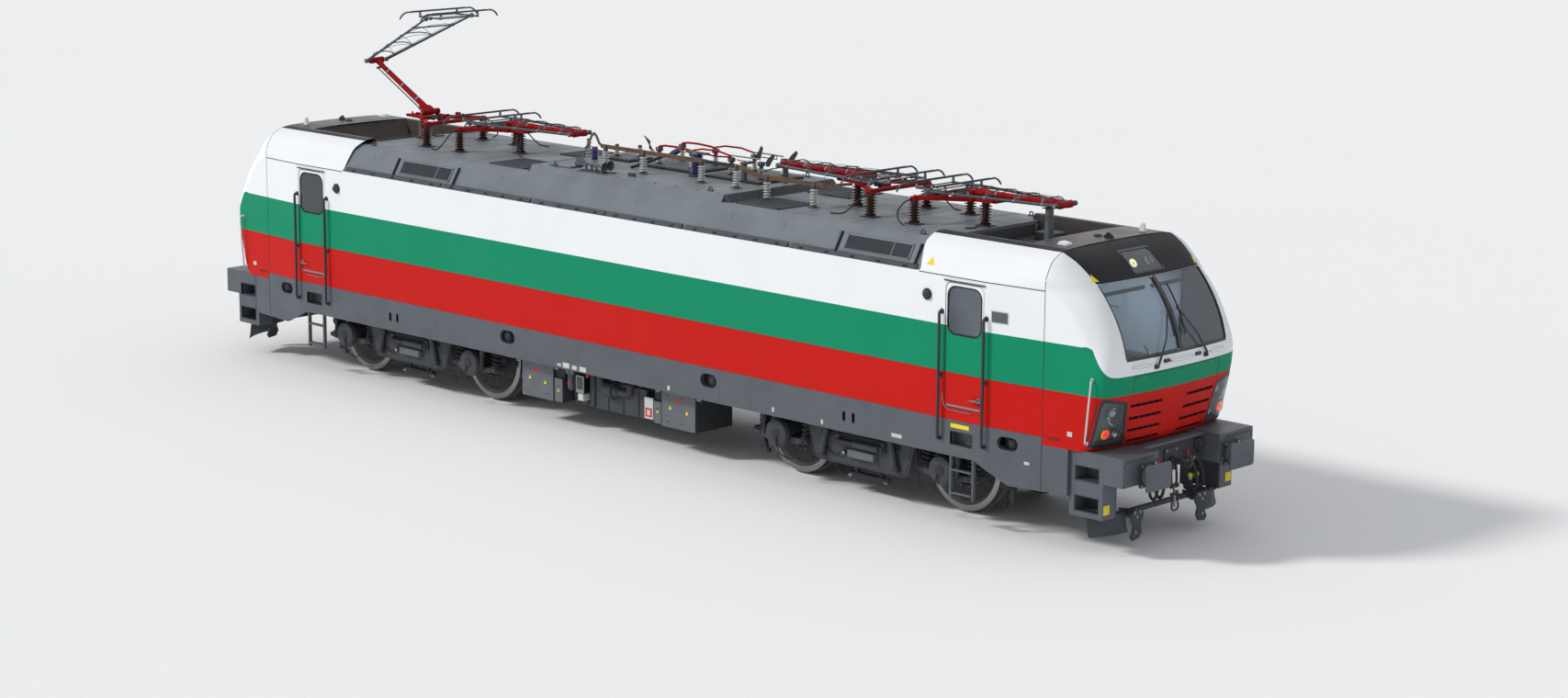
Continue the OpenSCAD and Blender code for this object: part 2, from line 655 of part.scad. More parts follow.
axle_r = 95;
motor_r = 270;
motor_x = axle_dx - 660;
module motor() {
    translate([motor_x, -70, 600]) rod_y(motor_r, 840);
    block([motor_x - motor_r + 10, -470, 760], [motor_x + 200, 330, 900]);
    block([330, -300, 770], [motor_x, 300, 840]);
    difference() {
        union() {
            translate([axle_dx, 500, wheel_r]) rod_y(310, 150);
            block([motor_x - 60, 425, wheel_r - 250], [axle_dx, 575, wheel_r + 250]);
        }
        translate([axle_dx, 500, wheel_r]) rod_y(axle_r + 8, 200);
    }
    block([motor_x - 120, 340, wheel_r - 180], [motor_x + 120, 440, wheel_r + 180]);
}
module traction_motors() color("black") on_rails() both_ends() motor();
module traction_motors_1() at_bogie(1) traction_motors();
module traction_motors_2() at_bogie(2) traction_motors();

// Half of a wheelset's outline: radius and distance from the middle
hub_r = 165;
rim_r = wheel_r - 80;
web = 28;
journal_end = box_out - 110;
module wheelset() color("slategray") on_rails() translate([0, 0, wheel_r]) rotate([90, 0, 0])
    rotate_extrude($fn = 96) polygon(concat(
        [[0, -journal_end], [journal_r, -journal_end], [journal_r, -box_in + 12],
         [axle_r + 25, -box_in + 12], [axle_r + 25, -wheel_out - 40], [hub_r, -wheel_out - 30],
         [hub_r, -wheel_mid - web], [rim_r, -wheel_mid - web], [rim_r, -wheel_out],
         [wheel_r - 6, -wheel_out], [wheel_r, -wheel_out + 8], [wheel_r, -wheel_in - 38],
         [wheel_r + flange_height - 6, -wheel_in - 26], [wheel_r + flange_height, -wheel_in - 15],
         [wheel_r + flange_height - 8, -wheel_in], [rim_r, -wheel_in],
         [rim_r, -wheel_mid + web], [hub_r, -wheel_mid + web], [hub_r, -wheel_in + 30],
         [axle_r, -wheel_in + 30]],
        [[axle_r, wheel_in - 30], [hub_r, wheel_in - 30], [hub_r, wheel_mid - web],
         [rim_r, wheel_mid - web], [rim_r, wheel_in], [wheel_r + flange_height - 8, wheel_in],
         [wheel_r + flange_height, wheel_in + 15], [wheel_r + flange_height - 6, wheel_in + 26],
         [wheel_r, wheel_in + 38], [wheel_r, wheel_out - 8], [wheel_r - 6, wheel_out],
         [rim_r, wheel_out], [rim_r, wheel_mid + web], [hub_r, wheel_mid + web],
         [hub_r, wheel_out + 30], [axle_r + 25, wheel_out + 40], [axle_r + 25, box_in - 12],
         [journal_r, box_in - 12], [journal_r, journal_end], [0, journal_end]]));
module wheelset_at(x) translate([x, 0, 0]) wheelset();
module wheelset_1() wheelset_at(-pivot_x - axle_dx);
module wheelset_2() wheelset_at(-pivot_x + axle_dx);
module wheelset_3() wheelset_at(pivot_x - axle_dx);
module wheelset_4() wheelset_at(pivot_x + axle_dx);

// ---- Roof equipment ----

insulator_r = 62;
// A ribbed insulator standing on the roof
module insulator(z0, z1, r, ribs) {
    pitch = (z1 - z0 - 60) / ribs;
    translate([0, 0, z0]) cylinder(r = r * 1.2, h = 20);
    translate([0, 0, z0]) cylinder(r = r * 0.6, h = z1 - z0);
    for (i = [0:ribs - 1]) translate([0, 0, z0 + 35 + i * pitch]) cylinder(r = r, h = pitch * 0.45);
}
base_drop = 120;
base_bottom = arm_pivot_height - base_drop;
deck = roof_height + hatch_h;
busbar_y = -550;
busbar_z = 4030;
module roof_insulators() color("saddlebrown") on_rails() {
    both_ends() for (p = pantograph_feet) translate([p[0], p[1], 0])
        insulator(roof_height, base_bottom, insulator_r, 5);
    for (x = [-1000, -200, 1000, 1700]) translate([x, busbar_y, 0]) insulator(deck, busbar_z, 55, 5);
    for (x = [2300, 3200]) translate([x, busbar_y, 0]) insulator(roof_height, busbar_z, 55, 6);
    for (x = [-600, 100, 900, 1500], y = [150, 620]) translate([x, y, 0])
        insulator(deck, busbar_z - 40, 50, 5);
}
// Feet of the outer and inner bases on the +X half
pantograph_feet = [for (arm = [[arms_x[3], 1], [arms_x[2], -1]],
                        foot = [[foot_front, 0], [-foot_back, foot_y], [-foot_back, -foot_y]])
    [arm[0] + arm[1] * foot[0], foot[1]]];
module roof_busbars() color("peru") on_rails() {
    block([-1100, busbar_y - 8, busbar_z], [3450, busbar_y + 8, busbar_z + 60]);
    for (y = [150, 620]) block([-650, y - 15, busbar_z - 40], [1550, y + 15, busbar_z - 10]);
    translate([500, -150, deck]) cylinder(r = 95, h = 320);
}

// A base frame with its arm pivot at the origin and its knee towards +X
module pantograph_base() {
    block([-50, -lug_y - 20, -base_drop], [50, lug_y + 20, -base_drop + 50]);
    block([0, -50, -base_drop], [foot_front + 60, 50, -base_drop + 40]);
    translate([-foot_back, 0, -base_drop + 30]) rod_y(30, 2 * foot_y + 100);
    both_sides() {
        bar([0, lug_y - 30, -base_drop + 30], [-foot_back, foot_y, -base_drop + 30], 28);
        translate([0, lug_y, 0]) difference() {
            union() {
                rod_y(46, 40);
                block([-32, -20, -base_drop + 40], [32, 20, 0]);
            }
            rod_y(arm_shaft_r + fit_gap, 60);
        }
    }
}
module at_pantograph(i) translate([arms_x[i - 1], 0, arm_pivot_height])
    mirror([knee_dir[i - 1] < 0 ? 1 : 0, 0, 0]) children();
module pantograph_bases() color("crimson") on_rails()
    for (i = [1:4]) at_pantograph(i) pantograph_base();

function arm_angle(i) = i == 1 ? raised_angle : 0;
module lower_arm(i) color("crimson") on_rails() at_pantograph(i)
    rotate([0, -arm_angle(i), 0]) {
        rod_y(arm_shaft_r, 2 * lug_y + 80);
        rod_y(45, 2 * lug_y - 60);
        difference() {
            bar([0, 0, 0], [lower_arm_l - 30, 0, 0], arm_r);
            translate([lower_arm_l, 0, 0]) rod_y(40, 200);
        }
        translate([lower_arm_l, 0, 0]) difference() {
            rod_y(50, 260);
            rod_y(knee_shaft_r + fit_gap, 300);
        }
    }
knee_half_w = 200;
head_w = 460;
module upper_arm(i) color("darkslategray") on_rails() at_pantograph(i)
    rotate([0, -arm_angle(i), 0]) translate([lower_arm_l, 0, 0])
        rotate([0, arm_angle(i) * (1 + arm_ratio), 0]) {
            rod_y(knee_shaft_r, 2 * knee_half_w + 60);
            both_sides() {
                translate([0, knee_half_w, 0]) rod_y(34, 50);
                bar([0, knee_half_w, 0], [-upper_arm_l + 30, head_w, 0], 18);
                translate([-upper_arm_l, head_w, 0]) rotate([90, 0, 0]) difference() {
                    cylinder(r = 36, h = 40, center = true);
                    cylinder(r = head_shaft_r + fit_gap, h = 60, center = true);
                }
            }
        }
strip_dx = 250;
strip_rise = 95;
horn_r = 190;
module contact_strip() {
    block([-20, -head_half_w + horn_r, -12], [20, head_half_w - horn_r, 14]);
    both_sides() translate([0, head_half_w - horn_r - 5, -horn_r]) rotate([90, 0, 90])
        rotate_extrude(angle = 62) translate([horn_r, 0]) circle(r = 13);
}
module pantograph_head(i) color("dimgray") on_rails() at_pantograph(i)
    translate([lower_arm_l * cos(arm_angle(i)) - upper_arm_l * cos(arm_angle(i) * arm_ratio), 0,
               lower_arm_l * sin(arm_angle(i)) + upper_arm_l * sin(arm_angle(i) * arm_ratio)]) {
        rod_y(head_shaft_r, 2 * head_w + 80);
        for (x = [-strip_dx, strip_dx]) translate([x, 0, strip_rise]) contact_strip();
        both_sides() {
            translate([0, head_w - 90, 10]) cube([2 * strip_dx + 40, 26, 26], center = true);
            for (x = [-strip_dx, strip_dx])
                block([x - 12, head_w - 102, 0], [x + 12, head_w - 78, strip_rise]);
        }
    }
module lower_arm_1() lower_arm(1);
module lower_arm_2() lower_arm(2);
module lower_arm_3() lower_arm(3);
module lower_arm_4() lower_arm(4);
module upper_arm_1() upper_arm(1);
module upper_arm_2() upper_arm(2);
module upper_arm_3() upper_arm(3);
module upper_arm_4() upper_arm(4);
module pantograph_head_1() pantograph_head(1);
module pantograph_head_2() pantograph_head(2);
module pantograph_head_3() pantograph_head(3);
module pantograph_head_4() pantograph_head(4);

underframe();
side_skirts();
buffer_beams();
buffers();
screw_couplings();
brake_hoses();
obstacle_deflectors();
ladders();
handrails();
side_wall_left();
side_wall_right();
cab_nose_1();
cab_nose_2();
cab_roof_1();
cab_roof_2();
windscreens();
wipers();
headlights();
cab_bulkheads();
driver_desks();
driver_seats();
machine_roof();
roof_hatch();
roof_insulators();
roof_busbars();
pantograph_bases();
transformer();
underfloor_boxes();
door_1_left();
door_1_right();
door_2_left();
door_2_right();
door_1_left_window();
door_1_right_window();
door_2_left_window();
door_2_right_window();
bogie_frame_1();
bogie_frame_2();
axle_boxes_1();
axle_boxes_2();
bogie_springs_1();
bogie_springs_2();
traction_motors_1();
traction_motors_2();
wheelset_1();
wheelset_2();
wheelset_3();
wheelset_4();
lower_arm_1();
lower_arm_2();
lower_arm_3();
lower_arm_4();
upper_arm_1();
upper_arm_2();
upper_arm_3();
upper_arm_4();
pantograph_head_1();
pantograph_head_2();
pantograph_head_3();
pantograph_head_4();
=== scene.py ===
"""Looks for the electric locomotive: livery, noses, glass, roof gear, running gear and light."""
import math

import bmesh
import bpy
import numpy as np
from mathutils import Matrix, Vector


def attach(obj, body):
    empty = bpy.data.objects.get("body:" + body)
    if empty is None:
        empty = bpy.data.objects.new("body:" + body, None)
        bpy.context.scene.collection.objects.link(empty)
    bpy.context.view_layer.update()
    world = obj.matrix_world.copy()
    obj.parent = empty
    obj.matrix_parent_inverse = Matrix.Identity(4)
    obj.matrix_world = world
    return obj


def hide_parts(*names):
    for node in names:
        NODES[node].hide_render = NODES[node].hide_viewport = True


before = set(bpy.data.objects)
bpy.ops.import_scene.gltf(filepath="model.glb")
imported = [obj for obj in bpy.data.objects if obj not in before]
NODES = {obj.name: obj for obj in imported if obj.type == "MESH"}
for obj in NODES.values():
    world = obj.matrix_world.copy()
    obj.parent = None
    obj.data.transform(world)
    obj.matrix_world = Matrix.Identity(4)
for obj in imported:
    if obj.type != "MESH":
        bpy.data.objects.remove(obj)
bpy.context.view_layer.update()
X, Y, Z = Vector((1, 0, 0)), Vector((0, 1, 0)), Vector((0, 0, 1))

# Heights below are above the rail top; the part stands on its wheel flanges.
RAIL = 0.030
SEAM = 8.04
BULKHEAD = 6.0
HALF_W = 1.506
TAPER_X = 7.15
TAPER = 0.076 / 0.89
GUTTER = 3.28
ROOF = 3.67
PIVOT = 4.75
AXLES = (-6.25, -3.25, 3.25, 6.25)
WHEEL_R = 0.625


def up(p):
    """A point with its height above the rail top, in the part's frame."""
    return Vector((p[0], p[1], p[2] + RAIL))


def plan_w(x):
    """Half-width of the body at x."""
    return HALF_W - max(0.0, abs(x) - TAPER_X) * TAPER


def smooth_curve(xs, ys):
    """A monotone cubic through the given points, as a function."""
    xs, ys = np.array(xs, float), np.array(ys, float)
    h, d = np.diff(xs), np.diff(ys) / np.diff(xs)
    m = np.zeros(len(xs))
    m[0], m[-1] = d[0], d[-1]
    for i in range(1, len(xs) - 1):
        if d[i - 1] * d[i] > 0:
            w1, w2 = 2 * h[i] + h[i - 1], h[i] + 2 * h[i - 1]
            m[i] = (w1 + w2) / (w1 / d[i - 1] + w2 / d[i])

    def value(x):
        x = min(max(x, xs[0]), xs[-1])
        i = min(int(np.searchsorted(xs, x, side="right")) - 1, len(h) - 1)
        t = (x - xs[i]) / h[i]
        return float(
            ys[i] * (1 + 2 * t) * (1 - t) ** 2
            + h[i] * m[i] * t * (1 - t) ** 2
            + ys[i + 1] * t * t * (3 - 2 * t)
            + h[i] * m[i + 1] * t * t * (t - 1)
        )

    return value


# ---- Materials ----


class Tree:
    """A small writer of node trees for one material."""

    def __init__(self, name):
        self.mat = bpy.data.materials.new(name)
        self.mat.use_nodes = True
        self.tree = self.mat.node_tree
        self.shader = self.tree.nodes["Principled BSDF"]
        self.where = self.tree.nodes.new("ShaderNodeTexCoord").outputs["Object"]

    def node(self, kind, **inputs):
        made = self.tree.nodes.new(kind)
        for key, value in inputs.items():
            self.feed(made.inputs[key.replace("_", " ")], value)
        return made

    def feed(self, socket, value):
        if isinstance(value, bpy.types.NodeSocket):
            self.tree.links.new(value, socket)
        else:
            socket.default_value = value

    def math(self, kind, *args):
        made = self.tree.nodes.new("ShaderNodeMath")
        made.operation = kind
        for socket, value in zip(made.inputs, args):
            self.feed(socket, value)
        return made.outputs[0]

    def mix(self, amount, a, b):
        made = self.tree.nodes.new("ShaderNodeMix")
        made.data_type = "RGBA"
        for socket, value in zip([made.inputs[0], made.inputs[6], made.inputs[7]], [amount, a, b]):
            if isinstance(value, tuple) and len(value) == 3:
                value = value + (1.0,)
            self.feed(socket, value)
        return made.outputs[2]

    def noise(self, scale, detail=4.0, rough=0.5):
        made = self.node("ShaderNodeTexNoise", Vector=self.where, Scale=scale, Detail=detail, Roughness=rough)
        return made.outputs["Fac"]

    def span(self, value, a, b, c=0.0, d=1.0):
        made = self.node("ShaderNodeMapRange", Value=value)
        for key, number in zip(("From Min", "From Max", "To Min", "To Max"), (a, b, c, d)):
            made.inputs[key].default_value = number
        return made.outputs[0]

    def xyz(self):
        made = self.node("ShaderNodeSeparateXYZ", Vector=self.where)
        return made.outputs[0], made.outputs[1], made.outputs[2]

    def bump(self, height, strength, distance=0.002):
        made = self.node("ShaderNodeBump", Height=height)
        made.inputs["Strength"].default_value = strength
        made.inputs["Distance"].default_value = distance
        self.feed(self.shader.inputs["Normal"], made.outputs[0])


def rgb(r, g, b):
    """Linear colour from sRGB levels of 0 to 255."""
    return tuple(
        (c / 255 / 12.92) if c / 255 <= 0.04045 else ((c / 255 + 0.055) / 1.055) ** 2.4
        for c in (r, g, b)
    )


def darker(colour, k):
    """The colour scaled by k."""
    return tuple(c * k for c in colour)


def paint(name, colour, rough=0.4, metal=0.0, coat=0.0, dirt=0.25, dirt_colour=None, grain=60.0, bump=0.08,
          patch=2.5, shine=0.5):
    """A painted or bare surface with patches of dirt, uneven gloss and a fine grain."""
    t = Tree(name)
    base = colour(t) if callable(colour) else colour
    soil = dirt_colour or (0.05, 0.045, 0.04)
    cloud = t.noise(patch, 5.0, 0.6)
    fine = t.noise(grain, 3.0)
    amount = t.span(cloud, 0.42, 0.78, 0.0, dirt)
    amount = t.math("MULTIPLY", amount, t.span(fine, 0.3, 0.7, 0.6, 1.0))
    t.feed(t.shader.inputs["Base Color"], t.mix(amount, base, soil))
    t.feed(
        t.shader.inputs["Roughness"],
        t.math(
            "ADD", t.span(cloud, 0.3, 0.8, rough * 0.85, rough * 1.25), t.math("MULTIPLY", fine, 0.05)
        ),
    )
    t.shader.inputs["Metallic"].default_value = metal
    t.shader.inputs["Specular IOR Level"].default_value = shine
    t.shader.inputs["Coat Weight"].default_value = coat
    t.shader.inputs["Coat Roughness"].default_value = 0.08
    t.bump(fine, bump)
    return t.mat


WHITE = rgb(236, 239, 242)
GREEN = rgb(12, 138, 100)
RED = rgb(196, 24, 18)
BLACK = rgb(30, 31, 36)


def banded(t):
    """The stripes: heights above the rail, with the white sweeping down round the windscreen."""
    x, y, z = t.xyz()
    x, y = t.math("ABSOLUTE", x), t.math("ABSOLUTE", y)
    z = t.math("SUBTRACT", z, RAIL)
    curve = t.node("ShaderNodeFloatCurve", Value=t.span(x, 8.6, 9.2))
    line = curve.mapping.curves[0]
    edge = (
        (8.60, 2.63), (8.74, 2.625), (8.80, 2.54), (8.87, 2.42), (8.93, 2.34),
        (8.99, 2.285), (9.06, 2.272), (9.20, 2.30),
    )
    for i, (px, pz) in enumerate(edge):
        u, v = (px - 8.6) / 0.6, (pz - 2.2) / 0.5
        if i in (0, len(edge) - 1):
            line.points[0 if i == 0 else -1].location = (u, v)
        else:
            line.points.new(u, v)
    curve.mapping.update()
    border = t.math("ADD", t.math("MULTIPLY", curve.outputs[0], 0.5), 2.2)
    white = t.math("GREATER_THAN", z, border)
    green = t.math("GREATER_THAN", z, 2.02)
    colour = t.mix(white, t.mix(green, RED, GREEN), WHITE)
    # The black roof field: inside the windscreen's line and above its top edge
    side = t.math("MULTIPLY", t.math("SUBTRACT", 8.53, t.math("MINIMUM", x, 8.53)), 0.15)
    side = t.math("MINIMUM", t.math("ADD", side, 1.045), 1.11)
    black = t.math("MULTIPLY", t.math("LESS_THAN", y, side), t.math("GREATER_THAN", z, 3.374))
    return t.mix(black, colour, BLACK)


def glass(name, tint, solid_share, rough=0.03):
    """Tinted glass that lets light through without bending it, with a glossy face."""
    t = Tree(name)
    t.tree.nodes.remove(t.shader)
    out = t.tree.nodes["Material Output"]
    clear = t.node("ShaderNodeBsdfTransparent", Color=tint + (1.0,))
    gloss = t.node("ShaderNodeBsdfGlossy", Color=(0.9, 0.95, 1.0, 1.0))
    t.feed(gloss.inputs["Roughness"], t.span(t.noise(3.0), 0.3, 0.7, rough, rough * 2.2))
    solid = t.node("ShaderNodeBsdfDiffuse", Color=tuple(c * 0.5 for c in tint) + (1.0,))
    body = t.node("ShaderNodeMixShader", Fac=solid_share)
    t.tree.links.new(clear.outputs[0], body.inputs[1])
    t.tree.links.new(solid.outputs[0], body.inputs[2])
    facing = t.node("ShaderNodeFresnel", IOR=1.5)
    top = t.node("ShaderNodeMixShader", Fac=facing.outputs[0])
    t.tree.links.new(body.outputs[0], top.inputs[1])
    t.tree.links.new(gloss.outputs[0], top.inputs[2])
    t.tree.links.new(top.outputs[0], out.inputs["Surface"])
    return t.mat


def lamp_face(name, colour, strength, base):
    """A lit ring of a lamp."""
    t = Tree(name)
    t.feed(t.shader.inputs["Base Color"], base + (1.0,))
    t.shader.inputs["Emission Color"].default_value = colour + (1.0,)
    t.shader.inputs["Emission Strength"].default_value = strength
    t.feed(t.shader.inputs["Roughness"], t.span(t.noise(80.0), 0.3, 0.7, 0.25, 0.4))
    return t.mat


def fabric(name, colour):
    """Woven seat cloth: two crossed sets of threads."""
    t = Tree(name)
    x, y, z = t.xyz()
    weave = t.math(
        "MULTIPLY",
        t.math("SINE", t.math("MULTIPLY", t.math("ADD", x, z), 1800.0)),
        t.math("SINE", t.math("MULTIPLY", t.math("ADD", y, z), 1800.0)),
    )
    cloud = t.noise(14.0, 4.0)
    t.feed(
        t.shader.inputs["Base Color"],
        t.mix(t.span(cloud, 0.35, 0.7), darker(colour, 0.75), darker(colour, 1.25)),
    )
    t.shader.inputs["Roughness"].default_value = 0.9
    t.shader.inputs["Sheen Weight"].default_value = 0.3
    t.bump(weave, 0.3, 0.001)
    return t.mat


M = {
    "body": paint("body_livery", banded, 0.48, coat=0.03, dirt=0.05, bump=0.02, patch=1.2, shine=0.12),
    "white": paint("white_enamel", WHITE, 0.35, coat=0.1, dirt=0.1, bump=0.02, shine=0.3),
    "skirt": paint("skirt_grey", rgb(84, 90, 98), 0.5, dirt=0.3, bump=0.05),
    "skirt_dark": paint("skirt_shadow_grey", rgb(52, 57, 63), 0.6, dirt=0.3),
    "roof": paint("roof_grey", rgb(112, 119, 126), 0.55, dirt=0.35, patch=1.6, bump=0.06),
    "roof_dark": paint("roof_dark_grey", rgb(66, 72, 78), 0.6, dirt=0.35, patch=3.0),
    "slat": paint("slat_dark", rgb(38, 42, 46), 0.7, dirt=0.3),
    "tray": paint("tray_brown_grey", rgb(66, 61, 58), 0.8, dirt=0.5, patch=4.0, bump=0.12, shine=0.2),
    "black": paint("satin_black", BLACK, 0.38, dirt=0.1, bump=0.03),
    "gasket": paint("gasket_rubber", rgb(24, 25, 27), 0.7, dirt=0.2),
    "bogie": paint(
        "bogie_dark", rgb(58, 63, 70), 0.65, dirt=0.55, dirt_colour=rgb(66, 58, 50), patch=5.0, bump=0.15
    ),
    "iron": paint(
        "cast_iron", rgb(48, 50, 53), 0.75, dirt=0.5, dirt_colour=rgb(70, 56, 44), patch=6.0, bump=0.3,
        grain=120.0,
    ),
    "wheel": paint(
        "wheel_disc", rgb(78, 78, 80), 0.6, metal=0.2, dirt=0.6, dirt_colour=rgb(74, 58, 46), patch=7.0
    ),
    "tread": paint("wheel_tread", rgb(150, 150, 150), 0.28, metal=1.0, dirt=0.2, patch=8.0),
    "box": paint("box_grey", rgb(96, 102, 108), 0.5, dirt=0.3, patch=4.0),
    "red": paint("insulated_red", rgb(150, 8, 14), 0.5, dirt=0.25, patch=9.0, shine=0.15),
    "red_signal": paint("signal_red", rgb(200, 24, 24), 0.4, dirt=0.15),
    "yellow": paint("signal_yellow", rgb(238, 214, 20), 0.45, dirt=0.15, patch=9.0),
    "brown": paint("brown_glaze", rgb(66, 34, 28), 0.3, coat=0.15, dirt=0.3, patch=9.0, bump=0.04, shine=0.3),
    "pale": paint("pale_glaze", rgb(186, 186, 180), 0.25, coat=0.5, dirt=0.3, patch=9.0, bump=0.04),
    "blue": paint("blue_glaze", rgb(46, 44, 104), 0.3, coat=0.4, dirt=0.2, patch=9.0),
    "copper": paint(
        "aged_busbar", rgb(108, 84, 66), 0.45, metal=0.6, dirt=0.5, dirt_colour=rgb(60, 48, 40), patch=8.0
    ),
    "arm": paint("arm_steel", rgb(74, 84, 92), 0.45, metal=0.3, dirt=0.3, patch=7.0),
    "strip": paint("contact_carbon", rgb(44, 46, 48), 0.55, dirt=0.3, patch=20.0, grain=200.0, bump=0.2),
    "steel": paint("bare_steel", rgb(150, 152, 154), 0.3, metal=1.0, dirt=0.25, patch=9.0, grain=150.0),
    "chrome": paint("rail_chrome", rgb(205, 208, 212), 0.15, metal=1.0, dirt=0.12, patch=9.0),
    "rail": paint("handrail_dark", rgb(50, 54, 60), 0.35, metal=0.3, dirt=0.25, patch=6.0),
    "cable": paint("cable_black", rgb(28, 29, 31), 0.6, dirt=0.25, patch=14.0, bump=0.1),
    "hose": paint("hose_rubber", rgb(30, 30, 32), 0.75, dirt=0.4, patch=12.0, grain=300.0, bump=0.25),
    "plate": paint("blank_plate", rgb(196, 200, 198), 0.4, dirt=0.15, patch=8.0),
    "lining": paint("cab_lining", rgb(172, 180, 190), 0.7, dirt=0.15, grain=300.0, bump=0.12),
    "lining_dark": paint("cab_lining_dark", rgb(80, 86, 94), 0.7, dirt=0.15, grain=300.0, bump=0.12),
    "desk": paint("desk_plastic", rgb(138, 146, 154), 0.6, dirt=0.12, grain=300.0, bump=0.12),
    "dial": paint("instrument_dark", rgb(24, 28, 34), 0.2, coat=0.6, dirt=0.1),
    "wood": paint("floor_mat", rgb(52, 54, 56), 0.8, dirt=0.3, grain=240.0, bump=0.3),
    "fabric": fabric("seat_cloth", rgb(44, 54, 70)),
    "windscreen": glass("windscreen_tint", (0.82, 0.89, 0.94), 0.05),
    "pane": glass("side_pane_tint", (0.58, 0.63, 0.68), 0.16),
    "lens": glass("lamp_lens", (0.72, 0.78, 0.8), 0.12),
    "reflector": paint("reflector", rgb(190, 196, 204), 0.12, metal=1.0, dirt=0.05),
    "lamp_bay": paint("lamp_bay", rgb(44, 54, 88), 0.35, dirt=0.1),
    "lamp_red": lamp_face("ring_red", (1.0, 0.03, 0.02), 1.2, (0.7, 0.02, 0.02)),
    "lamp_warm": lamp_face("ring_warm", (1.0, 0.86, 0.42), 1.1, (0.9, 0.85, 0.5)),
}


def finish_node(node, *mats):
    """Gives a carried-over CAD node its materials."""
    data = NODES[node].data
    for i in range(max(1, len(data.materials))):
        if i < len(data.materials):
            data.materials[i] = M[mats[min(i, len(mats) - 1)]]
        else:
            data.materials.append(M[mats[0]])


# ---- Mesh writing ----


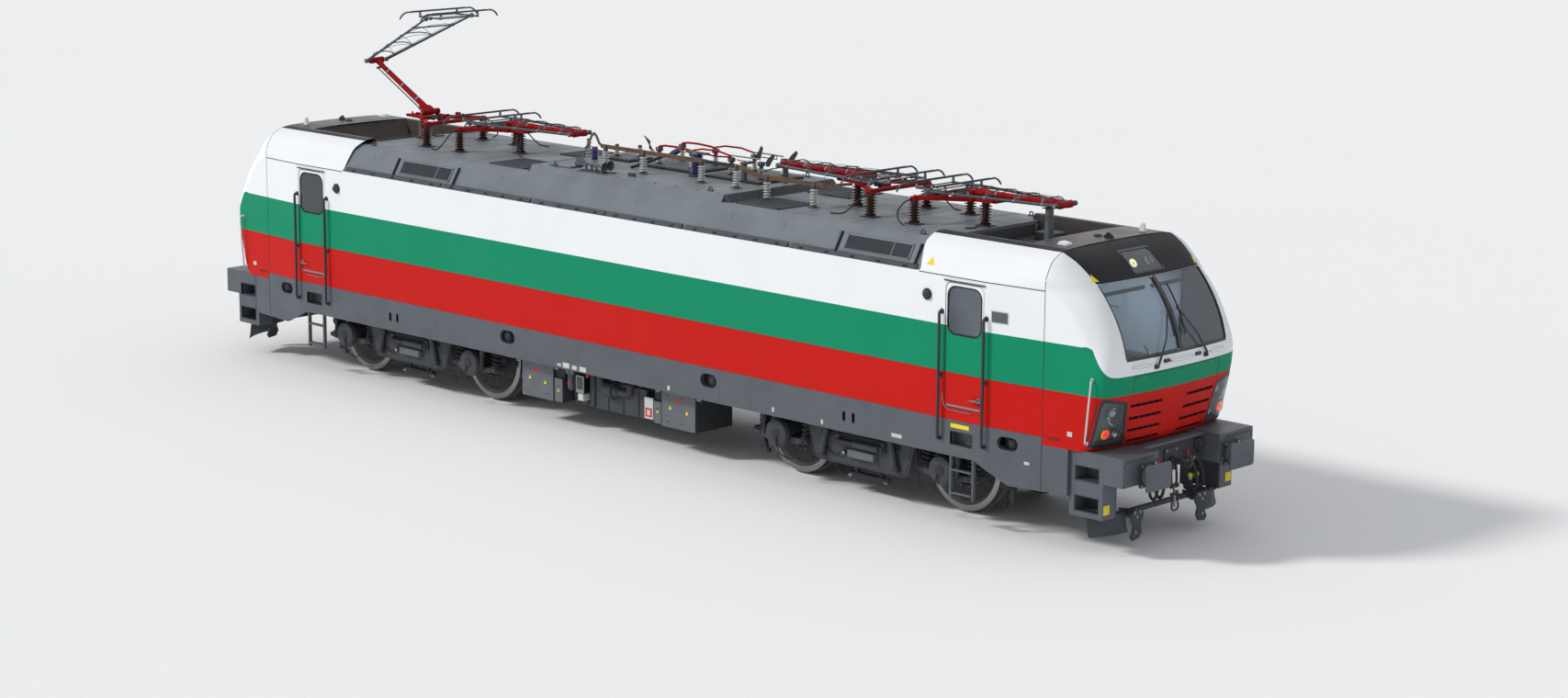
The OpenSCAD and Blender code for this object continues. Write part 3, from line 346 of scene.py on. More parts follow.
class Shape:
    """Collects the faces of one piece, each with its material and shading."""

    def __init__(self):
        self.v, self.f, self.m, self.s, self.mats = [], [], [], [], []

    def add(self, verts, faces, mat, smooth=True):
        base = len(self.v)
        if mat not in self.mats:
            self.mats.append(mat)
        k = self.mats.index(mat)
        self.v += [Vector(p) for p in verts]
        for f in faces:
            self.f.append([base + i for i in f])
            self.m.append(k)
            self.s.append(smooth)

    def join(self, other, matrix=None):
        """Adds another shape's faces, moved by a matrix; a mirror turns its faces over."""
        matrix = matrix or Matrix.Identity(4)
        flip = matrix.to_3x3().determinant() < 0
        base = len(self.v)
        self.v += [matrix @ p for p in other.v]
        for f, m, s in zip(other.f, other.m, other.s):
            name = other.mats[m]
            if name not in self.mats:
                self.mats.append(name)
            f = [base + i for i in f]
            self.f.append(f[::-1] if flip else f)
            self.m.append(self.mats.index(name))
            self.s.append(s)
        return self

    def copies(self, *matrices):
        """This shape once for each matrix."""
        made = Shape()
        for matrix in matrices:
            made.join(self, matrix)
        return made

    # -- solids --

    def box(self, a, b, mat, c=0.004):
        """A box between two corners, with chamfered edges."""
        a, b = Vector(a), Vector(b)
        lo = Vector([min(p, q) for p, q in zip(a, b)])
        hi = Vector([max(p, q) for p, q in zip(a, b)])
        mid, half = (lo + hi) / 2, (hi - lo) / 2
        c = min(c, min(half) * 0.45)
        verts, index = [], {}
        for sx in (-1, 1):
            for sy in (-1, 1):
                for sz in (-1, 1):
                    s = (sx, sy, sz)
                    for axis in range(3):
                        p = [s[i] * (half[i] - (0 if i == axis else c)) for i in range(3)]
                        index[(s, axis)] = len(verts)
                        verts.append(Vector(p))
        faces = []
        signs = (-1, 1)
        for axis in range(3):
            u, w = (axis + 1) % 3, (axis + 2) % 3
            for s in signs:
                ring = []
                for su, sw in ((-1, -1), (1, -1), (1, 1), (-1, 1)):
                    key = [0, 0, 0]
                    key[axis], key[u], key[w] = s, su, sw
                    ring.append(index[(tuple(key), axis)])
                faces.append(ring if s > 0 else ring[::-1])
            for su in signs:
                for sw in signs:
                    k0, k1 = [0, 0, 0], [0, 0, 0]
                    k0[axis], k0[u], k0[w] = -1, su, sw
                    k1[axis], k1[u], k1[w] = 1, su, sw
                    k0, k1 = tuple(k0), tuple(k1)
                    ring = [index[(k0, u)], index[(k1, u)], index[(k1, w)], index[(k0, w)]]
                    faces.append(ring if su * sw > 0 else ring[::-1])
        for s in [(x, y, z) for x in signs for y in signs for z in signs]:
            ring = [index[(s, 0)], index[(s, 1)], index[(s, 2)]]
            faces.append(ring if s[0] * s[1] * s[2] > 0 else ring[::-1])
        self.add([p + mid for p in verts], faces, mat, smooth=False)
        return self

    def tube(self, path, r, mat, n=10, closed=False, flat=None):
        """A round or oval bar along a path; r may change along it."""
        path = [Vector(p) for p in path]
        k = len(path)
        radii = r if isinstance(r, (list, tuple)) else [r] * k
        tangents = []
        for i in range(k):
            a = path[(i - 1) % k] if closed or i > 0 else path[i]
            b = path[(i + 1) % k] if closed or i < k - 1 else path[i]
            tangents.append((b - a).normalized())
        side = tangents[0].cross(Z if abs(tangents[0].z) < 0.9 else X).normalized()
        verts = []
        for i in range(k):
            side = (side - tangents[i] * side.dot(tangents[i])).normalized()
            other = tangents[i].cross(side)
            for j in range(n):
                a = 2 * math.pi * j / n
                verts.append(
                    path[i]
                    + side * math.cos(a) * radii[i]
                    + other * math.sin(a) * radii[i] * (flat or 1.0)
                )
        faces = []
        for i in range(k if closed else k - 1):
            p, q = i * n, ((i + 1) % k) * n
            for j in range(n):
                j2 = (j + 1) % n
                faces.append([p + j, p + j2, q + j2, q + j])
        if not closed:
            faces += [list(range(n))[::-1], [(k - 1) * n + j for j in range(n)]]
        self.add(verts, faces, mat)
        return self

    def rod(self, a, b, r, mat, n=14, c=0.12):
        """A straight round bar with chamfered ends."""
        a, b = Vector(a), Vector(b)
        d = (b - a).normalized() * min(r * c, (b - a).length * 0.2)
        return self.tube([a, a + d, b - d, b], [r * (1 - c), r, r, r * (1 - c)], mat, n)

    def lathe(self, outline, origin, axis, mat, n=24, closed=False, caps=True):
        """Turns an outline of (distance along the axis, radius) about an axis."""
        origin, axis = Vector(origin), Vector(axis).normalized()
        side = axis.cross(Z if abs(axis.z) < 0.9 else X).normalized()
        other = axis.cross(side)
        verts = []
        for h, r in outline:
            for j in range(n):
                a = 2 * math.pi * j / n
                verts.append(origin + axis * h + (side * math.cos(a) + other * math.sin(a)) * max(r, 1e-4))
        faces, k = [], len(outline)
        for i in range(k if closed else k - 1):
            p, q = i * n, ((i + 1) % k) * n
            for j in range(n):
                j2 = (j + 1) % n
                faces.append([p + j, p + j2, q + j2, q + j])
        if caps and not closed:
            faces += [list(range(n))[::-1], [(k - 1) * n + j for j in range(n)]]
        self.add(verts, faces, mat)
        return self

    def slab(self, outline, a, b, mat, c=0.003):
        """A flat outline swept from point a to point b along X, Y or Z, with chamfered rims.

        The outline's points lie in the other two directions: (y, z), (x, z) or (x, y).
        """
        a, b = Vector(a), Vector(b)
        axis = (b - a).normalized()
        if abs(axis.z) > 0.7:
            u, v = X, Y
        elif abs(axis.y) > 0.7:
            u, v = X, Z
        else:
            u, v = Y, Z
        mid = Vector((sum(p[0] for p in outline), sum(p[1] for p in outline))) / len(outline)
        verts, k = [], len(outline)
        size = max(max(abs(p[0] - mid[0]), abs(p[1] - mid[1])) for p in outline)
        c = min(c, (b - a).length * 0.4)
        for along, inset in ((0, c), (c, 0), ((b - a).length - c, 0), ((b - a).length, c)):
            for p in outline:
                f = 1 - inset / size
                q = (mid[0] + (p[0] - mid[0]) * f, mid[1] + (p[1] - mid[1]) * f)
                verts.append(a + axis * along + u * q[0] + v * q[1])
        faces = []
        for i in range(3):
            for j in range(k):
                j2 = (j + 1) % k
                faces.append([i * k + j, i * k + j2, (i + 1) * k + j2, (i + 1) * k + j])
        faces += [list(range(k))[::-1], [3 * k + j for j in range(k)]]
        area = sum(
            outline[i][0] * outline[(i + 1) % k][1] - outline[(i + 1) % k][0] * outline[i][1]
            for i in range(k)
        )
        if area * u.cross(v).dot(axis) < 0:
            faces = [f[::-1] for f in faces]
        self.add(verts, faces, mat, False)
        return self

    def sheet(self, rows, mat, smooth=True, flip=False):
        """A surface through rows of points."""
        w = len(rows[0])
        faces = []
        for i in range(len(rows) - 1):
            for j in range(w - 1):
                f = [i * w + j, i * w + j + 1, (i + 1) * w + j + 1, (i + 1) * w + j]
                faces.append(f[::-1] if flip else f)
        self.add([p for row in rows for p in row], faces, mat, smooth)
        return self

    def bolt(self, p, axis, r, mat="steel"):
        """A hexagon head on a washer."""
        self.lathe([(0, r * 1.5), (r * 0.25, r * 1.5), (r * 0.3, r * 1.35)], p, axis, mat, 12)
        p = Vector(p) + Vector(axis).normalized() * r * 0.25
        self.lathe([(0, r), (r * 0.7, r), (r * 0.85, r * 0.8)], p, axis, mat, 6)
        return self


def rounded(w, h, r, n=5, cx=0.0, cy=0.0):
    """Outline of a rounded rectangle."""
    pts = []
    for sx, sy, a0 in ((1, 1, 0), (-1, 1, 90), (-1, -1, 180), (1, -1, 270)):
        for i in range(n + 1):
            a = math.radians(a0 + 90 * i / n)
            pts.append((cx + sx * (w / 2 - r) + r * math.cos(a), cy + sy * (h / 2 - r) + r * math.sin(a)))
    return pts


def turn_out(mesh):
    """Makes the faces look outward."""
    work = bmesh.new()
    work.from_mesh(mesh)
    bmesh.ops.recalc_face_normals(work, faces=work.faces)
    work.to_mesh(mesh)
    work.free()
    mesh.update()


def piece(shape, name, body="carbody", replaces=(), sharp=35):
    """Makes the object, lifted from the rail top into the part's frame, and rides it on its body."""
    mesh = bpy.data.meshes.new(name)
    mesh.from_pydata([p + Vector((0, 0, RAIL)) for p in shape.v], [], shape.f)
    for mat in shape.mats:
        mesh.materials.append(M[mat])
    mesh.polygons.foreach_set("material_index", shape.m)
    mesh.polygons.foreach_set("use_smooth", shape.s)
    turn_out(mesh)
    mesh.set_sharp_from_angle(angle=math.radians(sharp))
    obj = bpy.data.objects.new(name, mesh)
    bpy.context.scene.collection.objects.link(obj)
    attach(obj, body)
    if replaces:
        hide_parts(*replaces)
    return obj


def apply_modifiers(obj):
    """Writes the object's modifiers into its mesh."""
    deps = bpy.context.evaluated_depsgraph_get()
    made = bpy.data.meshes.new_from_object(obj.evaluated_get(deps))
    old = obj.data
    obj.modifiers.clear()
    obj.data = made
    bpy.data.meshes.remove(old)


def cut(obj, shape, mat):
    """Cuts a closed shape out of a piece."""
    mesh = bpy.data.meshes.new("cutter")
    mesh.from_pydata([p + Vector((0, 0, RAIL)) for p in shape.v], [], shape.f)
    mesh.materials.append(M[mat])
    turn_out(mesh)
    cutter = bpy.data.objects.new("cutter", mesh)
    bpy.context.scene.collection.objects.link(cutter)
    mod = obj.modifiers.new("cut", "BOOLEAN")
    mod.object, mod.solver = cutter, "MANIFOLD"
    apply_modifiers(obj)
    bpy.data.objects.remove(cutter)
    bpy.data.meshes.remove(mesh)


IDENTITY = Matrix.Identity(4)
TURN = Matrix.Rotation(math.pi, 4, "Z")
SIDE = Matrix.Scale(-1, 4, Y)
ENDS = Matrix.Scale(-1, 4, X)
BOTH_ENDS = (IDENTITY, TURN)
FOUR = (IDENTITY, SIDE, ENDS, ENDS @ SIDE)


def spline(points, steps=6):
    """A smooth path through the points."""
    pts, path = [Vector(p) for p in points], []
    for i in range(len(pts) - 1):
        p0, p1, p2, p3 = pts[max(i - 1, 0)], pts[i], pts[i + 1], pts[min(i + 2, len(pts) - 1)]
        for k in range(steps):
            t = k / steps
            path.append(0.5 * ((2 * p1) + (p2 - p0) * t + (2 * p0 - 5 * p1 + 4 * p2 - p3) * t * t
                               + (3 * p1 - p0 - 3 * p2 + p3) * t**3))
    return path + [pts[-1]]


# ---- The nose surface ----

LEVELS = (
    # height, front ahead of the seam, start of the corner, turn-in angle, where the front begins
    (1.300, 0.790, 0.54, 0, 1.12), (1.325, 0.838, 0.57, 0, 1.12), (1.370, 0.872, 0.60, 0, 1.12),
    (1.500, 0.912, 0.66, 0, 1.12), (1.650, 0.944, 0.70, 0, 1.12), (1.850, 0.992, 0.75, 0, 1.12),
    (2.005, 1.028, 0.78, 0, 1.12), (2.150, 1.056, 0.80, 0, 1.11), (2.300, 1.070, 0.80, 0, 1.10),
    (2.400, 1.071, 0.79, 2, 1.08), (2.479, 1.062, 0.775, 8, 1.06), (2.600, 1.033, 0.705, 14, 1.04),
    (2.721, 0.995, 0.625, 17, 1.02), (2.860, 0.935, 0.535, 18, 1.00), (2.994, 0.865, 0.435, 18, 0.98),
    (3.100, 0.797, 0.335, 18, 0.97), (3.200, 0.725, 0.200, 16, 0.96), (3.290, 0.652, 0.020, 13, 0.94),
    (3.373, 0.581, 0.0, 9, 0.92), (3.487, 0.472, 0.0, 9, 0.86), (3.577, 0.372, 0.0, 8, 0.80),
    (3.630, 0.302, 0.0, 8, 0.74), (3.673, 0.225, 0.0, 7, 0.68), (3.705, 0.160, 0.0, 6, 0.62),
    (3.732, 0.098, 0.0, 5, 0.56), (3.752, 0.040, 0.0, 4, 0.48), (3.764, 0.004, 0.0, 2, 0.30),
)
heights = [row[0] for row in LEVELS]
nose_front, nose_start, nose_turn, nose_y = (
    smooth_curve(heights, [row[k] for row in LEVELS]) for k in (1, 2, 3, 4)
)
BOW = 0.0594
cab_half = smooth_curve(
    [3.28, 3.30, 3.407, 3.50, 3.606, 3.640, 3.673, 3.700, 3.726, 3.744, 3.756, 3.766, 3.770],
    [1.506, 1.480, 1.431, 1.385, 1.322, 1.286, 1.233, 1.178, 1.106, 1.012, 0.880, 0.560, 0.05],
)


def section_w(x, z):
    """Half-width of the body at x and height z, the cab's roof line included."""
    return plan_w(x) if z <= GUTTER + 0.001 else min(plan_w(x), cab_half(z))


def nose_row(z, n=34):
    """Half of the nose's outline at one height, from the seam to the centre line."""
    w0 = section_w(SEAM, z)
    front, start, turn, y3 = nose_front(z), nose_start(z), math.radians(nose_turn(z)), nose_y(z)
    y3 = min(y3, w0 * 0.92)
    p0 = np.array([start, w0 - TAPER * start])
    p3 = np.array([front - BOW * y3 * y3, y3])
    if p3[0] < p0[0]:
        p0[0] = p3[0] * 0.5
    base = math.atan(TAPER)
    t0 = np.array([math.cos(turn + base), -math.sin(turn + base)])
    t3 = np.array([2 * BOW * y3, -1.0])
    t3 /= np.linalg.norm(t3)
    dx, dy = p3[0] - p0[0], p0[1] - p3[1]
    p1, p2 = p0 + t0 * dx * 0.58, p3 - t3 * dy * 0.58
    pts = [np.array([0.0, w0]) + (p0 - np.array([0.0, w0])) * i / 8 for i in range(8)]
    for i in range(17):
        t = i / 16
        pts.append(p0 * (1 - t) ** 3 + 3 * p1 * t * (1 - t) ** 2 + 3 * p2 * t * t * (1 - t) + p3 * t**3)
    m = n - len(pts) + 1
    for i in range(1, m + 1):
        y = y3 * (1 - i / m)
        pts.append(np.array([front - BOW * y * y, y]))
    return pts


def nose_x(y, z):
    """X of the nose's face at a given y and height."""
    row = nose_row(z, 60)
    ys = [p[1] for p in row][::-1]
    xs = [p[0] for p in row][::-1]
    return SEAM + float(np.interp(abs(y), ys, xs))


def nose_normal(y, z):
    """The direction out of the nose's face at a given y and height."""
    e = 0.01
    dy = Vector((nose_x(y + e, z) - nose_x(y - e, z), 2 * e, 0))
    dz = Vector((nose_x(y, z + e) - nose_x(y, z - e), 0, 2 * e))
    return dy.cross(dz).normalized()


def on_nose(y, z, lift=0.0):
    """A point on the nose's face, moved out along its normal by lift."""
    return Vector((nose_x(y, z), y, z)) + nose_normal(y, z) * lift


def nose_strip(shape, path, width, mat, lift=0.002, depth=0.004, steps=0.04):
    """A flat strip that follows the nose along (y, z) points."""
    pts = []
    for a, b in zip(path, path[1:]):
        k = max(1, int(math.dist(a, b) / steps))
        pts += [(a[0] + (b[0] - a[0]) * i / k, a[1] + (b[1] - a[1]) * i / k) for i in range(k)]
    pts.append(path[-1])
    rows = []
    for i, (y, z) in enumerate(pts):
        a, b = pts[max(i - 1, 0)], pts[min(i + 1, len(pts) - 1)]
        d = Vector((b[0] - a[0], b[1] - a[1])).normalized()
        side = (-d[1] * width / 2, d[0] * width / 2)
        left, right = (y + side[0], z + side[1]), (y - side[0], z - side[1])
        rows.append(
            [on_nose(*left, -depth), on_nose(*left, lift), on_nose(*right, lift), on_nose(*right, -depth)]
        )
    shape.sheet(rows, mat, smooth=True)


def level_heights():
    """Heights of the nose rows, closer together where the roof turns over."""
    zs = []
    for a, b in zip(heights, heights[1:]):
        k = max(1, round((b - a) / 0.045))
        zs += [a + (b - a) * i / k for i in range(k)]
    return zs + [heights[-1]]


def nose_shell():
    """Rows of points over the whole nose, from the red skirt up to the roof."""
    rows = []
    for z in level_heights():
        half = [Vector((SEAM + p[0], p[1], z)) for p in nose_row(z)]
        rows.append(half + [Vector((p.x, -p.y, p.z)) for p in half[-2::-1]])
    return rows


SCREEN = (0.030, 1.034, 2.478, 3.372)  # Inner and outer |y|, lower and upper height of a windscreen pane
SLOT_Z = (1.860, 1.690, 1.530, 1.385)
LAMP_Z = (1.372, 1.984)
LAMP = ((0.937, 1.905), (1.300, 1.985), (1.338, 1.900), (1.352, 1.42), (1.33, 1.372), (0.85, 1.372))


def make_nose(n):
    """One nose: its skin, thickened, with the windscreens, lamps and slots cut out."""
    end = TURN if n == 1 else IDENTITY
    shell = Shape().sheet(nose_shell(), "body", flip=True)
    obj = piece(shell.copies(end), f"nose_shell_{n}", replaces=[f"cab_nose_{n}"])
    obj.data.materials.append(M["lining_dark"])
    work = bmesh.new()
    work.from_mesh(obj.data)
    bmesh.ops.remove_doubles(work, verts=work.verts, dist=0.0015)
    bmesh.ops.dissolve_degenerate(work, edges=work.edges, dist=0.0005)
    work.to_mesh(obj.data)
    work.free()
    mod = obj.modifiers.new("wall", "SOLIDIFY")
    mod.thickness, mod.offset, mod.material_offset, mod.material_offset_rim = 0.030, -1, 1, 1
    apply_modifiers(obj)
    turn_out(obj.data)
    cutter = Shape()
    for s in (1, -1):
        y0, y1, z0, z1 = SCREEN
        w = rounded(y1 - y0, z1 - z0, 0.035, 4, s * (y0 + y1) / 2, (z0 + z1) / 2)
        cutter.slab(w, (8.25, 0, 0), (9.3, 0, 0), "gasket", c=0.0001)
        lamp = [(s * y, z) for y, z in LAMP]
        cutter.slab(lamp, (8.62, 0, 0), (9.3, 0, 0), "gasket", c=0.0001)
        for z, inner in zip(SLOT_Z, (0.250, 0.225, 0.200, 0.175)):
            far = 0.800 + 0.12 * (z - SLOT_Z[-1])
            slot = [(s * inner, z - 0.02), (s * far, z - 0.02), (s * far, z + 0.02),
                    (s * (inner + 0.01), z + 0.02)]
            cutter.slab(slot, (8.6, 0, 0), (9.3, 0, 0), "slat", c=0.0001)
    roof_lamp = [(-0.295, 3.428), (0.295, 3.428), (0.280, 3.662), (-0.280, 3.662)]
    cutter.slab(roof_lamp, (8.2, 0, 0), (9.0, 0, 0), "gasket", c=0.0001)
    cut(obj, cutter.copies(end), "gasket")
    obj.data.set_sharp_from_angle(angle=math.radians(32))
    return obj


make_nose(1)
make_nose(2)

# ---- Glass of the noses ----


def screen_glass(shape, s):
    """One windscreen pane on the side s, as an outer and an inner skin."""
    y0, y1, z0, z1 = SCREEN
    rows = []
    for i in range(25):
        z = z0 - 0.01 + (z1 - z0 + 0.02) * i / 24
        rows.append([on_nose(s * (y0 - 0.01 + (y1 - y0 + 0.02) * j / 22), z, -0.012) for j in range(23)])
    shape.sheet(rows, "windscreen", flip=s < 0)
    inner = [[p - Vector((0.012, 0, 0)) for p in row] for row in rows]
    shape.sheet(inner, "windscreen", flip=s > 0)


glass_shape = Shape()
for s in (1, -1):
    screen_glass(glass_shape, s)
piece(glass_shape.copies(*BOTH_ENDS), "windscreen_glass", replaces=["windscreens"])

frames = Shape()
for s in (1, -1):
    y0, y1, z0, z1 = SCREEN
    nose_strip(frames, [(s * (y0 - 0.004), z0 - 0.006), (s * (y1 - 0.005), z0 - 0.006)], 0.034, "black",
               0.003, 0.03)
    nose_strip(frames, [(s * (y1 - 0.004), z0 + 0.01), (s * (y1 - 0.004), z1 - 0.01)], 0.018, "black", 0.002,
               0.03)
nose_strip(frames, [(0, SCREEN[2] - 0.02), (0, SCREEN[3] + 0.01)], 0.066, "black", 0.004, 0.04)
piece(frames.copies(*BOTH_ENDS), "windscreen_frames")

# ---- Cab roofs ----


def cab_roof_shape():
    """One side of the smooth roof over a cab, from the gutter up to the rim of the sunken tray."""
    zs = [3.28, 3.29, 3.31, 3.34, 3.375, 3.407, 3.45, 3.50, 3.55, 3.58, 3.606, 3.63, 3.65, 3.673, 3.69,
          3.705, 3.72, 3.735, 3.744]
    xs = [BULKHEAD, 6.3, 6.7, TAPER_X, 7.4, 7.7, SEAM]
    shape = Shape()
    rows = []
    for x in xs:
        row = [Vector((x - (0.10 * (z - GUTTER) / 0.49 if x == xs[0] else 0.0), section_w(x, z), z))
               for z in zs]
        row.append(Vector((x, 0.985, 3.7465)))
        rows.append(row)
    shape.sheet(rows, "body", flip=False)
    return shape


roof_half = cab_roof_shape()
cab_roof = Shape()
cab_roof.join(roof_half)
cab_roof.join(roof_half, SIDE)
tray_z = GUTTER + 0.215
edge_x = 7.42
# Flat rims beside the tray, its sloping walls, its floor and the closed part ahead of it
front_rows = []
for x in (edge_x, 7.55, 7.75, 7.92, SEAM):
    half = [Vector((x, 0.985, 3.7465)), Vector((x, 0.88, 3.756)), Vector((x, 0.56, 3.766)),
            Vector((x, 0.28, 3.769)), Vector((x, 0.0, 3.770))]
    front_rows.append(half + [Vector((p.x, -p.y, p.z)) for p in half[-2::-1]])
cab_roof.sheet(front_rows, "black", flip=False)
inside = 0.93
low = 0.84
for s in (1, -1):
    rim = [[Vector((x, s * 0.985, 3.7465)), Vector((x, s * 0.95, 3.750)), Vector((x, s * inside, 3.742))]
           for x in (BULKHEAD - 0.1, 6.5, 7.0, edge_x)]
    cab_roof.sheet(rim, "black", flip=s < 0)
    wall = [[Vector((x, s * inside, 3.742)), Vector((x, s * (inside - 0.03), 3.70)),
             Vector((x, s * low, tray_z + 0.03)),
             Vector((x, s * (low - 0.05), tray_z))] for x in (BULKHEAD - 0.1, 6.5, 7.0, edge_x - 0.02)]
    cab_roof.sheet(wall, "tray", flip=s < 0)
floor_rows = [[Vector((x, y, tray_z)) for y in (low - 0.05, 0.3, -0.3, 0.05 - low)]
              for x in (BULKHEAD - 0.1, 6.6, 7.05)]
cab_roof.sheet(floor_rows, "tray", flip=False)
ramp = [[Vector((x, y, z)) for y in (w, 0.3, -0.3, -w)] for x, z, w in
        ((7.05, tray_z, low - 0.05), (7.2, tray_z + 0.05, low - 0.04), (edge_x - 0.03, 3.73, inside - 0.01),
         (edge_x, 3.7475, 0.985))]
cab_roof.sheet(ramp, "tray", flip=False)
piece(cab_roof.copies(*BOTH_ENDS), "cab_roof_skins",
      replaces=["cab_roof_1", "cab_roof_2"], sharp=40)

# ---- Seams, gutter rails and plates of the body ----


def side(x, z, lift=0.0):
    """A point on the -Y side wall, moved out by lift."""
    return Vector((x, -plan_w(x) - lift, z))


def side_strip(shape, x0, x1, z0, z1, mat, proud=0.002, depth=0.004):
    """A flat strip on the -Y side, following the body's taper."""
    rows = []
    for x in [x0] + [x for x in (TAPER_X,) if x0 < x < x1] + [x1]:
        rows.append([side(x, z0, -depth), side(x, z0, proud), side(x, z1, proud), side(x, z1, -depth)])
    shape.sheet(rows, mat, smooth=False)
    for row in (rows[0], rows[-1]):
        shape.add(row, [[0, 1, 2, 3]], mat, False)


def ring(shape, outer, inner, place, mat, proud=0.002, depth=0.004):
    """A raised band between two matched outlines; place(u, v, lift) gives each point."""
    rows = [[place(*a, -depth), place(*a, proud), place(*b, proud), place(*b, -depth)]
            for a, b in zip(outer, inner)]
    shape.sheet(rows + [rows[0]], mat, smooth=False)


def over_roof(x, lift):
    """The cab roof's line at x from gutter to centre, moved out by lift."""
    zs = [3.28, 3.30, 3.34, 3.38, 3.42, 3.46, 3.50, 3.54, 3.58, 3.61, 3.64, 3.665, 3.69, 3.71, 3.73, 3.745,
          3.756, 3.764]
    line = [Vector((0, section_w(x, z), z)) for z in zs] + [Vector((0, 0.3, 3.769)), Vector((0, 0, 3.77))]
    made = []
    for i, p in enumerate(line):
        d = line[min(i + 1, len(line) - 1)] - line[max(i - 1, 0)]
        n = Vector((0, d.z, -d.y)).normalized()
        made.append(Vector((x, p.y, p.z)) + n * lift)
    return made


seams = Shape()
side_strip(seams, SEAM - 0.004, SEAM + 0.004, 0.702, 3.279, "gasket", 0.0012)
side_strip(seams, 8.443, 8.4485, 0.702, 1.306, "gasket", 0.0012)
side_strip(seams, 5.998, 8.04, 3.266, 3.276, "slat", 0.004)
arc = [[a, b] for a, b in zip(over_roof(SEAM - 0.004, 0.0015), over_roof(SEAM + 0.004, 0.0015))]
seams.sheet(arc, "gasket")
for z in (1.3985, 2.0195):
    side_strip(seams, 0.0, 8.04, z, z + 0.003, "gasket" if z < 2 else "slat", 0.0006)
for x in (2.35, 4.62):
    side_strip(seams, x, x + 0.0025, 0.93, 1.398, "skirt_dark", 0.0006)
piece(seams.copies(*FOUR), "panel_seams")

gutter = Shape()
for x0, x1 in ((0.02, 1.56), (1.62, 3.60), (3.66, 5.93)):
    outline = [(-1.504, 3.281), (-1.504, 3.293), (-1.456, 3.350), (-1.444, 3.344), (-1.474, 3.281)]
    gutter.slab(outline, (x0, 0, 0), (x1, 0, 0), "roof_dark", c=0.001)
    k = round((x1 - x0) / 0.42)
    for i in range(k):
        x = x0 + 0.2 + (x1 - x0 - 0.4) * i / max(1, k - 1)
        gutter.box((x - 0.028, -1.508, 3.300), (x + 0.028, -1.480, 3.322), "slat", 0.003)
        for dx in (-0.014, 0.014):
            gutter.bolt((x + dx, -1.482, 3.325), (0, -0.76, 0.65), 0.006, "roof")
piece(gutter.copies(*FOUR), "gutter_rails")

plates = Shape()
side_strip(plates, 7.222, 7.496, 2.762, 2.926, "plate", 0.003)
side_strip(plates, 7.236, 7.482, 2.776, 2.912, "skirt", 0.0036)
side_strip(plates, 6.585, 6.895, 1.300, 1.354, "yellow", 0.002)
for x0, x1, z0, z1 in ((7.78, 7.86, 1.00, 1.04), (4.28, 4.32, 0.96, 1.02), (3.36, 3.40, 0.98, 1.04),
                       (5.56, 5.74, 1.00, 1.05), (1.30, 1.35, 0.955, 1.02), (-1.02, -0.94, 0.955, 0.99),
                       (-0.90, -0.76, 0.945, 1.02), (-0.70, -0.60, 0.945, 1.005), (-0.54, -0.40, 0.94, 1.01)):
    side_strip(plates, x0, x1, z0, z1, "plate", 0.0015)
for x, z in ((7.25, 2.79), (7.47, 2.79), (7.25, 2.90), (7.47, 2.90)):
    plates.lathe([(0, 0.005), (0.002, 0.004)], side(x, z, 0.004), (0, -1, 0), "steel", 8)
# The triangle on the slope above the gutter, as a sticker on a sticker
n = Vector((0, -0.90, 0.43))
upward = (Z - n * Z.dot(n)).normalized()
for size, lift in ((1.0, 0.003), (0.82, 0.0036)):
    pts = [Vector((6.14 + u * size, -1.4485, 3.365)) + upward * (v * size + (1 - size) * 0.04) + n * lift
           for u, v in ((0.0, 0.115), (-0.066, 0.0), (0.066, 0.0))]
    plates.add(pts, [[0, 1, 2]], "yellow", False)
piece(plates.copies(*BOTH_ENDS), "side_plates")

knobs = Shape()
knobs.lathe([(0, 0.078), (0.010, 0.078), (0.016, 0.070), (0.018, 0.056)], side(6.144, 2.989), (0, -1, 0),
            "black", 28)
knobs.lathe([(0.016, 0.058), (0.040, 0.050), (0.058, 0.036), (0.068, 0.016), (0.070, 0.0)],
            side(6.144, 2.989), (0, -1, 0), "skirt_dark", 24)
knobs.lathe([(0.0, 0.018), (0.006, 0.016), (0.007, 0.0)], side(6.166, 2.978, 0.050), (0.5, -1, -0.2), "dial",
            16)
piece(knobs.copies(*FOUR), "side_cameras")

fittings = Shape()
# Round fittings in oval recesses: x, height, radius, and the recess's middle x and its height
for x, z, r, cx, tall in ((7.56, 1.228, 0.062, 7.517, 0.160), (2.16, 1.217, 0.072, 2.123, 0.180)):
    fittings.lathe([(-0.16, r), (-0.012, r), (0.0, r * 0.92), (0.004, r * 0.80), (-0.004, r * 0.74)],
                   side(x, z, -0.03), (0, -1, 0), "skirt_dark", 24)
    fittings.lathe([(-0.005, r * 0.74), (0.010, r * 0.55), (0.012, r * 0.2)], side(x, z, -0.03), (0, -1, 0),
                   "iron", 24)
    fittings.box((x - 0.19, -plan_w(x) + 0.12, z - 0.11), (x + 0.17, -plan_w(x) + 0.20, z + 0.11), "slat",
                 0.01)
    wide = 0.310
    ring(fittings, rounded(wide + 0.012, tall + 0.012, (tall + 0.012) / 2 - 0.001, 7, cx, z),
         rounded(wide, tall, tall / 2 - 0.001, 7, cx, z), side, "skirt_dark", 0.003, 0.03)
for x in (4.70, 4.87):
    fittings.box((x - 0.04, -1.40, 1.05), (x + 0.04, -1.38, 1.22), "slat", 0.005)
    ring(fittings, rounded(0.055, 0.145, 0.027, 5, x, 1.135), rounded(0.045, 0.135, 0.022, 5, x, 1.135), side,
         "skirt_dark", 0.002, 0.03)
ring(fittings, rounded(0.382, 0.187, 0.015, 4, 6.765, 1.162), rounded(0.370, 0.175, 0.012, 4, 6.765, 1.162),
     side, "skirt_dark", 0.002, 0.03)
for i in range(9):
    fittings.box((6.60 + 0.04 * i, -1.50, 1.077), (6.612 + 0.04 * i, -1.40, 1.083), "steel", 0.002)
